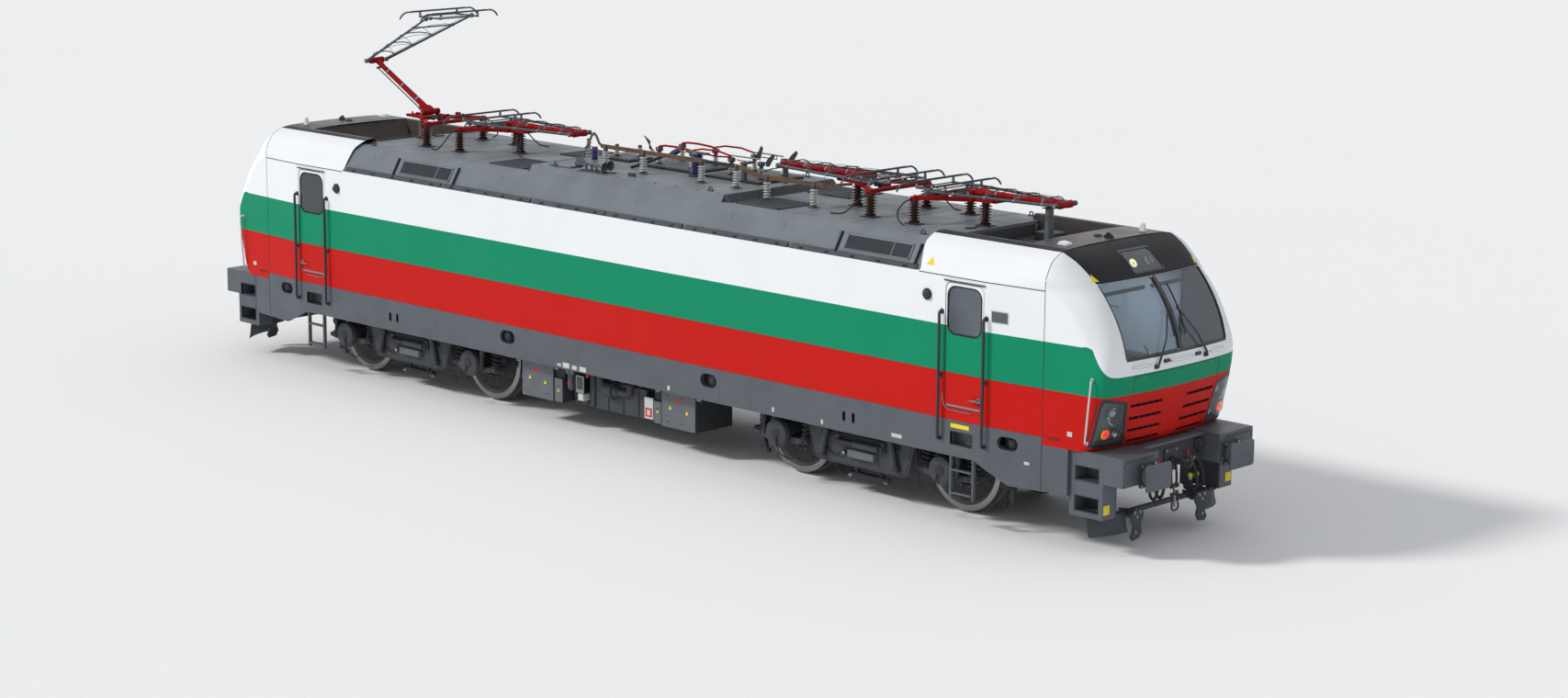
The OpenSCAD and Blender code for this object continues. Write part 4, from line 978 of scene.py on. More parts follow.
piece(fittings.copies(*FOUR), "skirt_fittings")

# ---- Doors ----

DOOR = (6.7845, 2.375, 0.643, 1.650)  # Middle x and height, width and height of a doorway
PANE = (0.551, 0.608, 0.120, 6, DOOR[0], 2.839)  # The door window, as rounded() takes it


def door_matrix(cab, hand):
    """Moves a door shape, drawn for the right side of cab 2, to another doorway."""
    matrix = SIDE if hand == "left" else IDENTITY
    return ENDS @ matrix if cab == 1 else matrix


def leaf_shape():
    """A door leaf with its window hole: five loops of points, joined in turn."""
    cx, cz, w, h = DOOR
    shape = Shape()
    outer, hole = rounded(w - 0.012, h - 0.012, 0.084, 6, cx, cz), rounded(*PANE)
    edge = [(cx + (x - cx) * 0.99, cz + (z - cz) * 0.996) for x, z in outer]
    verts, n = [], len(outer)
    for outline, y in ((outer, 1.446), (outer, 1.503), (edge, 1.506), (hole, 1.506), (hole, 1.446)):
        verts += [Vector((x, -y, z)) for x, z in outline]
    paint_faces, inner_faces, black_faces = [], [], []
    for j in range(n):
        j2 = (j + 1) % n
        for a, b, faces in ((0, 1, paint_faces), (1, 2, paint_faces), (2, 3, paint_faces),
                            (3, 4, black_faces), (4, 0, inner_faces)):
            faces.append([a * n + j, a * n + j2, b * n + j2, b * n + j])
    shape.add(verts, paint_faces, "body", False)
    shape.add(verts, black_faces, "gasket", False)
    shape.add(verts, inner_faces, "lining", False)
    return shape


def door_trim():
    """The window's gasket, the handles and the kick strip of a door."""
    shape = Shape()
    ring(shape, rounded(PANE[0] + 0.036, PANE[1] + 0.036, 0.138, *PANE[3:]), rounded(*PANE), side, "gasket",
         0.003)
    # The lever on its rose, and the lock below it
    shape.lathe([(-0.002, 0.034), (0.008, 0.034), (0.012, 0.030)], side(7.045, 1.715), (0, -1, 0), "steel",
                20)
    shape.tube([side(7.045, 1.715, 0.005), side(7.045, 1.715, 0.034), side(7.036, 1.715, 0.045),
                side(7.00, 1.712, 0.046), side(6.915, 1.706, 0.045), side(6.902, 1.704, 0.036)],
                [0.012, 0.012, 0.013, 0.012, 0.010, 0.008], "steel", 12)
    shape.lathe([(-0.002, 0.017), (0.006, 0.016)], side(7.045, 1.655), (0, -1, 0), "black", 16)
    shape.box((6.50, -1.509, 1.575), (7.07, -1.505, 1.600), "steel", 0.001)
    # Inner handle and lock case
    shape.box((6.99, -1.447, 1.62), (7.07, -1.425, 1.80), "lining_dark", 0.004)
    shape.tube([(7.03, -1.43, 1.72), (7.03, -1.39, 1.72), (6.91, -1.388, 1.715)], 0.010, "steel", 10)
    return shape


leaf, trim = leaf_shape(), door_trim()
for cab in (1, 2):
    for hand in ("left", "right"):
        name = f"door_{cab}_{hand}"
        matrix = door_matrix(cab, hand)
        piece(leaf.copies(matrix), f"{name}_leaf", name, replaces=[name])
        piece(trim.copies(matrix), f"{name}_trim", name)
        pane = Shape().slab(rounded(0.547, 0.604, 0.118, *PANE[3:]), (0, -1.500, 0), (0, -1.490, 0), "pane",
                            0.001)
        piece(pane.copies(matrix), f"{name}_pane", name, replaces=[f"{name}_window"])

surround = Shape()
cx, cz, w, h = DOOR
ring(surround, rounded(w + 0.008, h + 0.008, 0.094, 6, cx, cz), rounded(w, h, 0.090, 6, cx, cz), side,
     "skirt", 0.002)
ring(surround, rounded(w + 0.050, h + 0.050, 0.115, 6, cx, cz),
     rounded(w + 0.008, h + 0.008, 0.094, 6, cx, cz), side, "body", 0.0025)
surround.tube([side(6.435, 1.74, 0.006), side(6.437, 1.66, 0.006), side(6.47, 1.575, 0.007),
               side(6.54, 1.533, 0.008), side(6.70, 1.526, 0.008),
               side(6.92, 1.526, 0.008)], 0.006, "steel", 8)
surround.box((6.44, -1.53, 3.212), (7.13, -1.505, 3.224), "gasket", 0.002)
surround.box((6.47, -1.504, 1.515), (7.10, -1.43, 1.548), "steel", 0.003)
piece(surround.copies(*FOUR), "door_surrounds")

rails = Shape()
for x in (6.403, 7.152):
    path = [side(x, 2.800, -0.01), side(x, 2.801, 0.03), side(x, 2.795, 0.048), side(x, 2.775, 0.055),
            side(x, 2.2, 0.055), side(x, 1.155, 0.055), side(x, 1.135, 0.048), side(x, 1.129, 0.03),
            side(x, 1.130, -0.01)]
    rails.tube(path, 0.0195, "rail", 14)
    for z in (2.80, 1.13, 1.965):
        if z == 1.965:
            rails.rod(side(x, z, 0.0), side(x, z, 0.058), 0.009, "rail")
        rails.lathe([(-0.002, 0.036), (0.006, 0.036), (0.009, 0.028)], side(x, z), (0, -1, 0), "rail", 18)
low = on_nose(-1.368, 1.42, 0.0)
top_x = nose_x(-1.345, 2.235) - 0.13
high = Vector((top_x, -plan_w(top_x) + 0.004, 2.235))
out = Vector((0.35, -0.93, 0)).normalized()
path = [low, low + out * 0.045, low + out * 0.058 + Z * 0.014, low + out * 0.062 + Z * 0.04,
        (low + high) / 2 + out * 0.066, high + out * 0.062 - Z * 0.04, high + out * 0.058 - Z * 0.014,
        high + out * 0.045, high]
rails.tube(path, 0.0145, "chrome", 14)
for p in (low, high):
    rails.lathe([(-0.004, 0.026), (0.006, 0.026), (0.009, 0.020)], p, out, "chrome", 16)
piece(rails.copies(*FOUR), "grab_rails", replaces=["handrails"])

# ---- Nose details ----


def lamp_edges(z):
    """Inner and outer |y| of the headlight window at a height."""
    return (float(np.interp(z, [1.372, 1.905, 1.985], [0.85, 0.937, 1.295])),
            float(np.interp(z, [1.372, 1.42, 1.90, 1.985], [1.33, 1.352, 1.338, 1.300])))


trim = Shape()
nose_strip(trim, [(-0.872, 2.252), (0.872, 2.252)], 0.007, "gasket", 0.0012)
for s in (1, -1):
    nose_strip(trim, [(s * 0.872, 2.252), (s * 0.864, 2.02)], 0.007, "gasket", 0.0012)
    nose_strip(trim, [(s * 0.860, 1.37), (s * 0.860, 1.335)], 0.007, "gasket", 0.0012)
    nose_strip(trim, [(s * 0.155, 1.345), (s * 0.232, 1.890)], 0.006, "gasket", 0.0010)
    outline = [(s * y, z) for y, z in LAMP]
    path = []
    for i, p in enumerate(outline):
        a, b = outline[i - 1], outline[(i + 1) % len(outline)]
        for q in (a, None, b):
            if q is None:
                path.append(p)
            else:
                d = math.dist(p, q)
                k = min(0.03, d * 0.4) / d
                path.append((p[0] + (q[0] - p[0]) * k, p[1] + (q[1] - p[1]) * k))
    nose_strip(trim, path + [path[0]], 0.040, "black", 0.004, 0.02, steps=0.06)
    for y, z in ((0.70, 2.232), (0.36, 2.232), (0.845, 2.12), (0.70, 2.272), (0.36, 2.272)):
        trim.lathe([(-0.002, 0.008), (0.0025, 0.007), (0.003, 0.003)], on_nose(s * y, z),
                   nose_normal(s * y, z), "steel", 10)
    # Short grab bars under the windscreen
    a, b = on_nose(s * 0.62, 2.372, 0.0), on_nose(s * 0.93, 2.372, 0.0)
    out = nose_normal(s * 0.78, 2.372)
    trim.tube([a, a + out * 0.035, a + out * 0.045 + (b - a) * 0.05, b + out * 0.045 - (b - a) * 0.05,
               b + out * 0.035, b], 0.010, "chrome", 10)
    # A small plate and the yellow triangle beside the windscreen
    trim.box((8.42, s * (plan_w(8.45) - 0.006), 1.47), (8.50, s * (plan_w(8.45) + 0.0035), 1.53), "plate",
             0.001)
    tri = [(s * 1.085, 3.40), (s * 0.985, 3.40), (s * 1.035, 3.485)]
    trim.add([on_nose(y, z, 0.003) for y, z in tri], [[0, 1, 2]], "yellow", False)
a, b = on_nose(-0.22, 2.372), on_nose(0.22, 2.372)
trim.tube([a, a + X * 0.040, a + X * 0.050 + Y * 0.02, b + X * 0.050 - Y * 0.02, b + X * 0.040, b], 0.010,
          "chrome", 10)
for s in (1, -1):
    rows = [[on_nose(s * (0.12 + 0.78 * j / 8), 1.34 + 0.58 * i / 6, -0.05) for j in range(9)]
            for i in range(7)]
    trim.sheet(rows, "slat")
    for z in SLOT_Z:
        for j in range(5):
            y = 0.30 + 0.115 * j
            trim.box((nose_x(y, z) - 0.05, s * (y - 0.004), z - 0.02),
                     (nose_x(y, z) - 0.012, s * (y + 0.004), z + 0.02), "slat", 0.001)
piece(trim.copies(*BOTH_ENDS), "nose_trim")

lamps = Shape()
for s in (1, -1):
    # The lens, and the back of the lamp's bay
    for n, m, lift, mat in ((12, 10, -0.003, "lens"), (8, 8, -0.13, "desk")):
        rows = []
        for i in range(n + 1):
            z = LAMP_Z[0] + (LAMP_Z[1] - LAMP_Z[0]) * i / n
            y0, y1 = lamp_edges(z)
            rows.append([on_nose(s * (y0 + (y1 - y0) * j / m), z, lift) for j in range(m + 1)])
        lamps.sheet(rows, mat)
    edge = [(s * y, z) for y, z in LAMP] + [(s * LAMP[0][0], LAMP[0][1])]
    edge = [(a[0] + (b[0] - a[0]) * k / 6, a[1] + (b[1] - a[1]) * k / 6) for a,
            b in zip(edge, edge[1:]) for k in range(6)]
    lamps.sheet([[on_nose(*p, -0.004), on_nose(*p, -0.14)] for p in edge + [edge[0]]], "skirt")
    # High beam, low beam and the red ring lamp
    at, out = on_nose(s * 1.085, 1.765, -0.022), nose_normal(s * 1.02, 1.76)
    out = (out + X).normalized()
    lamps.lathe([(-0.004, 0.128), (0.004, 0.128), (0.004, 0.118), (-0.02, 0.110), (-0.07, 0.080),
                 (-0.10, 0.03), (-0.105, 0.0)], at, out, "reflector", 36, caps=False)
    lamps.lathe([(-0.09, 0.026), (-0.05, 0.026), (-0.035, 0.018), (-0.03, 0.0)], at, out, "chrome", 20)
    at = on_nose(s * 0.985, 1.490, -0.030)
    lamps.lathe([(-0.004, 0.084), (0.004, 0.084), (0.004, 0.076), (-0.03, 0.062), (-0.060, 0.0)], at, out,
                "reflector", 28, caps=False)
    at = on_nose(s * 1.185, 1.525, -0.012)
    n = nose_normal(s * 1.10, 1.47)
    lamps.lathe([(-0.03, 0.074), (0.0, 0.074), (0.004, 0.070), (0.004, 0.062)], at, n, "yellow", 32)
    lamps.lathe([(0.002, 0.066), (0.006, 0.060), (0.006, 0.026), (0.002, 0.020)], at, n, "lamp_red", 32)
    lamps.lathe([(0.0, 0.022), (0.003, 0.018), (0.003, 0.0)], at, n, "dial", 20)
    for k in range(10):
        a = 2 * math.pi * k / 10
        u = n.cross(Z).normalized()
        v = n.cross(u)
        lamps.lathe([(0, 0.0055), (0.002, 0.004)],
                    at + n * 0.006 + (u * math.cos(a) + v * math.sin(a)) * 0.043, n, "reflector", 8)
# The roof lamp's lens and bay
for lift, mat in ((-0.006, "lens"), (-0.06, "lamp_bay")):
    lamps.sheet([[on_nose(-0.300 + 0.60 * j / 8, 3.424 + 0.242 * i / 5, lift) for j in range(9)]
                 for i in range(6)], mat)
for y in (-0.165, 0.165):
    at = on_nose(y, 3.545, -0.028)
    n = (nose_normal(y, 3.545) + X * 0.4).normalized()
    lamps.lathe([(-0.03, 0.072), (0.0, 0.072), (0.004, 0.064), (0.002, 0.058)], at, n, "chrome", 28)
    lamps.lathe([(0.0, 0.060), (0.006, 0.056), (0.006, 0.024), (0.0, 0.020)], at, n,
                "lamp_warm" if y < 0 else "reflector", 28)
ring(lamps, rounded(0.62, 0.262, 0.02, 4, 0, 3.545), rounded(0.576, 0.226, 0.012, 4, 0, 3.545), on_nose,
     "black", 0.004, 0.02)
piece(lamps.copies(*BOTH_ENDS), "headlamps", replaces=["headlights"])

wipers = Shape()
for y, z, bx, blade, joint in ((-0.50, 2.335, -0.30, ((-0.080, 3.26), (-0.110, 2.66)), (-0.11, 2.98)),
                               (0.52, 2.350, 0.35, ((0.140, 3.26), (0.120, 2.66)), (0.10, 2.98))):
    at, n = on_nose(y, z), nose_normal(y, z)
    wipers.lathe([(-0.01, 0.034), (0.012, 0.034), (0.02, 0.026), (0.045, 0.020)], at, n, "black", 20)
    c = on_nose(bx, 2.385)
    wipers.box(c - Vector((0.02, 0.055, 0.022)), c + Vector((0.025, 0.055, 0.022)), "black", 0.006)
    for lift, shift in ((0.045, 0.0), (0.040, 0.035)):
        a = on_nose(y, z + shift, lift)
        b = on_nose(joint[0], joint[1] - shift * 0.4, 0.040)
        mid = on_nose((y + joint[0]) / 2, (z + joint[1]) / 2, 0.052)
        wipers.tube([a, a * 0.6 + mid * 0.4 + n * 0.006, mid, b * 0.6 + mid * 0.4, b], 0.0095, "black", 8)
    j = on_nose(*joint, 0.040)
    wipers.box(j - Vector((0.012, 0.014, 0.03)), j + Vector((0.012, 0.014, 0.03)), "black", 0.003)
    pts = [(blade[0][0] + (blade[1][0] - blade[0][0]) * k / 8,
            blade[0][1] + (blade[1][1] - blade[0][1]) * k / 8)
           for k in range(9)]
    wipers.tube([on_nose(*p, 0.022) for p in pts], 0.0085, "black", 8)
    wipers.tube([on_nose(*p, 0.008) for p in pts], 0.005, "gasket", 6, flat=0.5)
    for k in (2, 6):
        wipers.rod(on_nose(*pts[k], 0.006), on_nose(*pts[k], 0.030), 0.008, "black", 8)
piece(wipers.copies(*BOTH_ENDS), "wiper_gear", replaces=["wipers"])

# ---- Roof fittings ----

DECK = 3.77
PANTO_Z = 4.11
ARM_X = (-5.665, -3.675, 3.675, 5.665)
KNEE = (-1, 1, -1, 1)
LOWER, UPPER = 1.5, 1.99

vents = Shape()
# Louvre panels in the roof's slope
slope_foot, slope_top = Vector((0, -1.452, 3.325)), Vector((0, -1.302, 3.580))
along = (slope_top - slope_foot).normalized()
out = Vector((0, -abs(along.z), abs(along.y)))


def on_slope(x, s, lift=0.0):
    """A point s up the slope from its foot, moved out by lift."""
    return Vector((x, 0, 0)) + slope_foot + along * s + out * lift


def slope_bar(shape, x0, x1, s0, s1, lift, mat):
    """A flat bar on the slope."""
    pts = []
    for z in (-0.01, lift):
        pts += [on_slope(x0, s0, z), on_slope(x1, s0, z), on_slope(x1, s1, z), on_slope(x0, s1, z)]
    shape.add(pts, [[0, 3, 2, 1], [4, 5, 6, 7], [0, 1, 5, 4], [1, 2, 6, 5], [2, 3, 7, 6], [3, 0, 4, 7]], mat,
              False)


# The louvre field, along X and up the slope
x0, x1, s0, s1 = 4.60, 5.74, 0.065, 0.255
slope_bar(vents, 4.50, 5.86, 0.010, 0.286, 0.010, "roof")
slope_bar(vents, x0, x1, s0, s1, 0.0115, "slat")
for x in (4.455, 5.865):
    slope_bar(vents, x, x + 0.022, 0.0, 0.296, 0.030, "gasket")
for i in range(46):
    x = 4.605 + 1.125 * i / 45
    slope_bar(vents, x, x + 0.009, s0, s1, 0.020, "roof_dark")
for i in range(9):
    s = 0.070 + 0.020 * i
    slope_bar(vents, x0, x1, s, s + 0.007, 0.0165, "roof_dark")
for x0, x1, s0, s1 in ((4.58, 5.76, 0.050, 0.065), (4.58, 5.76, 0.255, 0.270), (4.58, 4.602, 0.050, 0.270),
                       (5.738, 5.76, 0.050, 0.270), (5.42, 5.435, 0.06, 0.26)):
    slope_bar(vents, x0, x1, s0, s1, 0.022, "roof")
for x in (4.54, 4.85, 5.18, 5.50, 5.82):
    for s in (0.026, 0.275):
        vents.lathe([(0, 0.008), (0.003, 0.007), (0.004, 0.003)], on_slope(x, s, 0.010), out, "steel", 8)
step = Matrix.Translation((-9.275, 0, 0))
piece(vents.copies(IDENTITY, TURN, step, TURN @ step), "roof_louvres")

roof = Shape()
# Flat grilles on the roof, with their frames
x0, x1, y0, y1 = 2.20, 3.02, 0.36, 1.06
roof.box((x0 + 0.02, -y1 + 0.02, ROOF), (x1 - 0.02, -y0 - 0.02, ROOF + 0.006), "slat", 0.001)
for a, b in (((x0, -y1), (x1, -y1 + 0.028)), ((x0, -y0 - 0.028), (x1, -y0)), ((x0, -y1), (x0 + 0.028, -y0)),
             ((x1 - 0.028, -y1), (x1, -y0))):
    roof.box((*a, ROOF), (*b, ROOF + 0.020), "roof_dark", 0.004)
for i in range(34):
    x = x0 + 0.035 + (x1 - x0 - 0.07) * i / 33
    roof.box((x - 0.005, -y1 + 0.02, ROOF), (x + 0.005, -y0 - 0.02, ROOF + 0.014), "roof_dark", 0.001)
for i in range(3):
    y = y0 + 0.16 + 0.19 * i
    roof.box((x0 + 0.02, -y - 0.006, ROOF), (x1 - 0.02, -y + 0.006, ROOF + 0.017), "roof_dark", 0.001)
# Lifting eyes at the hatch corners and the roof's ends
for x, y, z in ((2.17, 0.98, ROOF), (5.70, 1.10, ROOF), (1.62, 0.98, DECK)):
    roof.box((x - 0.045, -y - 0.03, z), (x + 0.045, -y + 0.03, z + 0.012), "roof_dark", 0.003)
    roof.tube([(x - 0.03, -y, z + 0.01), (x - 0.028, -y, z + 0.045), (x, -y, z + 0.060),
               (x + 0.028, -y, z + 0.045), (x + 0.03, -y, z + 0.01)], 0.010, "roof_dark", 10)
# Ribbed ramps at the hatch's ends, and its bolted rim
roof.slab([(2.0, 3.671), (2.0, 3.768), (2.03, 3.768), (2.125, 3.671)], (0, -1.09, 0), (0, 0.0, 0),
          "roof_dark", 0.002)
for i in range(18):
    y = -1.06 + 0.06 * i
    roof.slab([(2.0, 3.672), (2.0, 3.774), (2.032, 3.773), (2.131, 3.672)], (0, y, 0), (0, y + 0.018, 0),
              "slat", 0.001)
for i in range(5):
    x = 0.18 + 0.42 * i
    roof.bolt((x, -1.075, DECK), Z, 0.010, "roof_dark")
for x in (2.4, 3.4, 4.4, 5.4):
    roof.box((x - 0.003, -1.15, ROOF), (x + 0.003, 0, ROOF + 0.0015), "slat", 0.0005)
    slope_bar(roof, x, x + 0.006, 0.0, 0.30, 0.0015, "slat")
piece(roof.copies(*FOUR), "roof_fittings")

deck = Shape()
for x0, x1, y0, y1 in ((-0.86, 0.34, -0.06, 0.80), (0.62, 1.72, -0.12, 0.80), (-1.75, -1.15, 0.05, 0.55)):
    deck.box((x0, y0, DECK), (x1, y1, DECK + 0.035), "slat", 0.006)
    deck.box((x0 + 0.05, y0 + 0.05, DECK + 0.02), (x1 - 0.05, y1 - 0.05, DECK + 0.040), "roof_dark", 0.004)
    for x in (x0 + 0.03, (x0 + x1) / 2, x1 - 0.03):
        for y in (y0 + 0.025, y1 - 0.025):
            deck.bolt((x, y, DECK + 0.035), Z, 0.009, "steel")
deck.box((-1.78, -0.98, DECK), (-1.30, -0.72, DECK + 0.03), "roof", 0.006)


def insulator(shape, x, y, z0, z1, r, ribs, mat, cap="roof_dark"):
    """A flanged foot, a shaft with sheds that droop a little, and a metal cap."""
    shape.box((x - r * 1.35, y - r * 0.9, z0), (x + r * 1.35, y + r * 0.9, z0 + 0.010), cap, 0.003)
    for s in (-1, 1):
        shape.bolt((x + s * r * 1.1, y, z0 + 0.010), Z, 0.007, "steel")
    shape.lathe([(0.008, r * 0.9), (0.030, r * 0.8), (0.034, r * 0.55)], (x, y, z0), Z, cap, 20)
    h = z1 - z0 - 0.060
    pitch = h / ribs
    line = [(0.030, r * 0.5)]
    for i in range(ribs):
        a = 0.034 + i * pitch
        line += [(a, r * 0.50), (a + pitch * 0.18, r * 0.96), (a + pitch * 0.28, r),
                 (a + pitch * 0.38, r * 0.93), (a + pitch * 0.56, r * 0.52), (a + pitch * 0.86, r * 0.48)]
    line.append((z1 - z0 - 0.028, r * 0.5))
    shape.lathe(line, (x, y, z0), Z, mat, 24)
    shape.lathe([(z1 - z0 - 0.034, r * 0.62), (z1 - z0 - 0.006, r * 0.62), (z1 - z0, r * 0.5)], (x, y, z0), Z,
                cap, 20)


feet = Shape()
for x, y in ((ARM_X[3] + 0.16, 0), (ARM_X[3] - 0.60, 0.57), (ARM_X[3] - 0.60, -0.57),
             (ARM_X[2] - 0.16, 0), (ARM_X[2] + 0.60, 0.57), (ARM_X[2] + 0.60, -0.57)):
    insulator(feet, x, y, ROOF, 3.99, 0.088, 7, "brown", "slat")
piece(feet.copies(*BOTH_ENDS), "pantograph_insulators", replaces=["roof_insulators"])

posts = Shape()
# The busbar: its y, its height over the hatch and beyond it, and its posts as (x, foot, top)
BUS_Y, BUS_HIGH, BUS_LOW = -0.55, 4.085, 3.994
BUS_POSTS = [(x, DECK, 4.055) for x in (-1.0, -0.2, 1.0, 1.7)] + [(x, ROOF, 3.965) for x in (2.3, 3.2)]
# The disconnecting switches stand in two rows of four posts
SWITCH_X, SWITCH_Y = (-0.6, 0.1, 0.9, 1.5), (0.15, 0.62)
for x, foot, top in BUS_POSTS:
    insulator(posts, x, BUS_Y, foot, top, 0.056, 6, "pale")
for x in SWITCH_X:
    for y in SWITCH_Y:
        insulator(posts, x, y, DECK + 0.03, 3.995, 0.050, 5, "pale")
for x, y in ((-1.62, 0.25), (-1.30, 0.42), (-2.35, 0.35)):
    insulator(posts, x, y, DECK + 0.03 if x > -2 else ROOF, 3.985, 0.050, 5, "pale")
piece(posts, "busbar_insulators")

bars = Shape()


def strap(path, w, t, mat):
    """A flat bar on edge along a path."""
    rows = []
    for i, p in enumerate(path):
        p = Vector(p)
        d = (Vector(path[min(i + 1, len(path) - 1)]) - Vector(path[max(i - 1, 0)])).normalized()
        side_dir = d.cross(Z)
        side_dir = side_dir.normalized() if side_dir.length > 0.05 else Y
        high = side_dir.cross(d).normalized()
        rows.append([p + side_dir * t / 2 - high * w / 2, p + side_dir * t / 2 + high * w / 2,
                     p - side_dir * t / 2 + high * w / 2, p - side_dir * t / 2 - high * w / 2,
                     p + side_dir * t / 2 - high * w / 2])
    bars.sheet(rows, mat, smooth=False)
    for row in (rows[0], rows[-1]):
        bars.add(row[:4], [[0, 1, 2, 3]], mat, False)


b = BUS_Y
strap([(-1.10, b, BUS_HIGH), (1.10, b, BUS_HIGH)], 0.062, 0.012, "copper")
strap([(1.08, b - 0.004, BUS_HIGH), (1.66, b - 0.004, BUS_HIGH)], 0.052, 0.012, "slat")
strap([(1.62, b, BUS_HIGH), (1.82, b, 4.075), (2.02, b, 4.015), (2.16, b, 3.996), (2.32, b, BUS_LOW),
       (3.42, b, BUS_LOW)], 0.062, 0.012, "copper")
strap([(-1.08, b, BUS_HIGH), (-1.14, b, 4.12), (-1.20, b, 4.22), (-1.25, b, 4.255), (-1.30, b, 4.22),
       (-1.36, b, 4.11), (-1.46, b + 0.04, 4.02), (-1.58, b + 0.12, 3.99)], 0.040, 0.014, "copper")
strap([(3.40, b, BUS_LOW), (3.50, b + 0.02, 4.00), (3.60, b + 0.10, 4.02), (3.72, b + 0.22, 4.03)], 0.040,
      0.010, "copper")
for x, _, z in BUS_POSTS:
    bars.box((x - 0.026, b - 0.018, z - 0.004), (x + 0.026, b - 0.006, z + 0.055), "roof_dark", 0.003)
    bars.bolt((x, b - 0.018, z + 0.030), (0, -1, 0), 0.009, "steel")
# Disconnecting switches: pivoting rods in red and bare metal between dark blocks
x0, x1, x2, x3 = SWITCH_X
for y in SWITCH_Y:
    for x in SWITCH_X:
        bars.box((x - 0.045, y - 0.04, 3.993), (x + 0.045, y + 0.04, 4.055), "roof_dark", 0.008)
        bars.box((x - 0.03, y - 0.055, 4.01), (x + 0.03, y + 0.055, 4.04), "steel", 0.004)
    bars.tube([(x0, y, 4.065), (x0 + 0.12, y, 4.085), (x0 + 0.35, y, 4.090),
               (x1 - 0.08, y, 4.075), (x1, y, 4.06)], 0.016, "red", 12)
    bars.tube([(x2, y, 4.085), (x2 + 0.30, y, 4.088), (x3 - 0.02, y, 4.085)], 0.011, "steel", 10)
    bars.tube([(x2 + 0.12, y, 4.05), (x2 + 0.12, y, 4.030), (x3 - 0.15, y, 4.030),
               (x3 - 0.15, y, 4.085)], 0.008, "red", 8)
    bars.tube([(x1, y, 4.075), (0.30, y, 4.115), (0.62, y, 4.120), (x2, y, 4.075)], 0.014, "red", 10)
# Dark blades beside them, leaning along X
for x, y, lean in ((1.62, 0.15, 0.5), (1.62, 0.62, 0.5), (-0.78, 0.15, -0.4), (0.98, 0.62, 0.3)):
    edge = [(x - 0.02, 4.00), (x + 0.03, 4.00), (x + 0.14 * lean * 2, 4.16),
            (x + 0.14 * lean * 2 - 0.03, 4.19), (x + 0.05 * lean, 4.12), (x - 0.03, 4.06)]
    bars.slab(edge, (0, y - 0.012, 0), (0, y + 0.012, 0), "skirt_dark", 0.002)
bars.box((1.80, 0.28, DECK), (1.86, 0.34, 4.06), "roof_dark", 0.006)
bars.box((1.35, -0.10, DECK), (1.41, -0.04, 4.04), "roof_dark", 0.006)
bars.box((1.33, -0.12, 4.03), (1.43, 0.10, 4.06), "roof_dark", 0.006)
bars.tube([(1.83, 0.31, 4.05), (1.95, 0.31, 4.07), (2.02, 0.20, 4.05), (2.02, -0.2, 4.04),
           (2.10, -0.5, 4.02)], 0.009, "cable", 8)
bars.box((0.30, -0.20, 4.10), (0.72, -0.10, 4.125), "skirt_dark", 0.005)
bars.tube([(0.34, -0.15, 4.11), (0.28, -0.10, 4.09), (0.22, 0.05, 4.07), (0.10, 0.15, 4.06)], 0.012, "red",
          10)
bars.tube([(0.70, -0.15, 4.11), (0.78, -0.10, 4.09), (0.86, 0.05, 4.07), (0.90, 0.15, 4.06)], 0.012, "red",
          10)
piece(bars, "roof_switchgear", replaces=["roof_busbars"])

arresters = Shape()


def arrester(at, axis, length, r, mat):
    """A ribbed surge arrester."""
    line = [(0.0, r * 0.8), (0.02, r * 0.8)]
    n = round(length / 0.045)
    for i in range(n):
        a = 0.025 + (length - 0.05) * i / n
        p = (length - 0.05) / n
        line += [(a, r * 0.72), (a + p * 0.35, r), (a + p * 0.5, r), (a + p * 0.85, r * 0.74)]
    line += [(length - 0.02, r * 0.8), (length, r * 0.7)]
    arresters.lathe(line, at, axis, mat, 28)


arrester((0.50, -0.15, DECK + 0.02), Z, 0.315, 0.098, "blue")
arresters.lathe([(0, 0.125), (0.02, 0.12), (0.03, 0.09)], (0.50, -0.15, DECK), Z, "roof_dark", 24)
arresters.lathe([(0, 0.08), (0.012, 0.08), (0.018, 0.06)], (0.50, -0.15, 4.098), Z, "steel", 24)
arrester((-0.22, 0.02, 3.99), Vector((0.75, 0.1, 0.42)), 0.19, 0.046, "blue")
arrester((-1.62, -0.20, DECK + 0.02), Z, 0.20, 0.06, "blue")
arresters.tube([(-0.72, -0.30, 3.79), (-0.60, -0.28, 3.82), (-0.30, -0.10, 3.96), (-0.20, 0.0, 4.0)], 0.022,
               "cable", 12)
piece(arresters, "surge_arresters")

horns = Shape()
hz = 3.865
horns.box((-1.06, -1.00, DECK), (-0.56, -0.92, DECK + 0.018), "roof_dark", 0.004)
for x in (-0.98, -0.86, -0.76, -0.64):
    horns.box((x - 0.008, -0.985, DECK + 0.01), (x + 0.008, -0.935, hz + 0.02), "steel", 0.002)
for x, y, d, length, r in ((-0.82, -0.94, -1, 0.30, 0.088), (-0.78, -0.99, 1, 0.24, 0.062),
                           (-0.86, -0.90, 1, 0.34, 0.070), (-0.90, -1.02, -1, 0.20, 0.045)):
    bell = [(0.0, 0.020), (0.05, 0.020), (0.06, 0.012)]
    for i in range(9):
        t = i / 8
        bell.append((0.06 + (length - 0.06) * t, 0.012 + (r - 0.012) * t**2.6))
    bell += [(length + 0.004, r * 1.03), (length - 0.004, r * 0.97), (length * 0.75, r * 0.42),
             (length * 0.5, 0.008)]
    horns.lathe(bell, (x, y, hz), (d, 0, 0.06), "skirt", 28)
horns.tube([(-0.9, -0.99, 3.80), (-0.82, -0.96, 3.79), (-0.70, -0.95, 3.80), (-0.55, -0.93, 3.79),
            (-0.50, -0.80, 3.775)], 0.008, "cable", 8)
horns.box((-0.20, -0.86, DECK), (-0.08, -0.80, DECK + 0.05), "roof_dark", 0.006)
horns.tube([(-0.22, -0.83, DECK + 0.03), (-0.06, -0.83, DECK + 0.03)], 0.014, "steel", 10)
deck.join(horns)
piece(deck, "hatch_fittings")

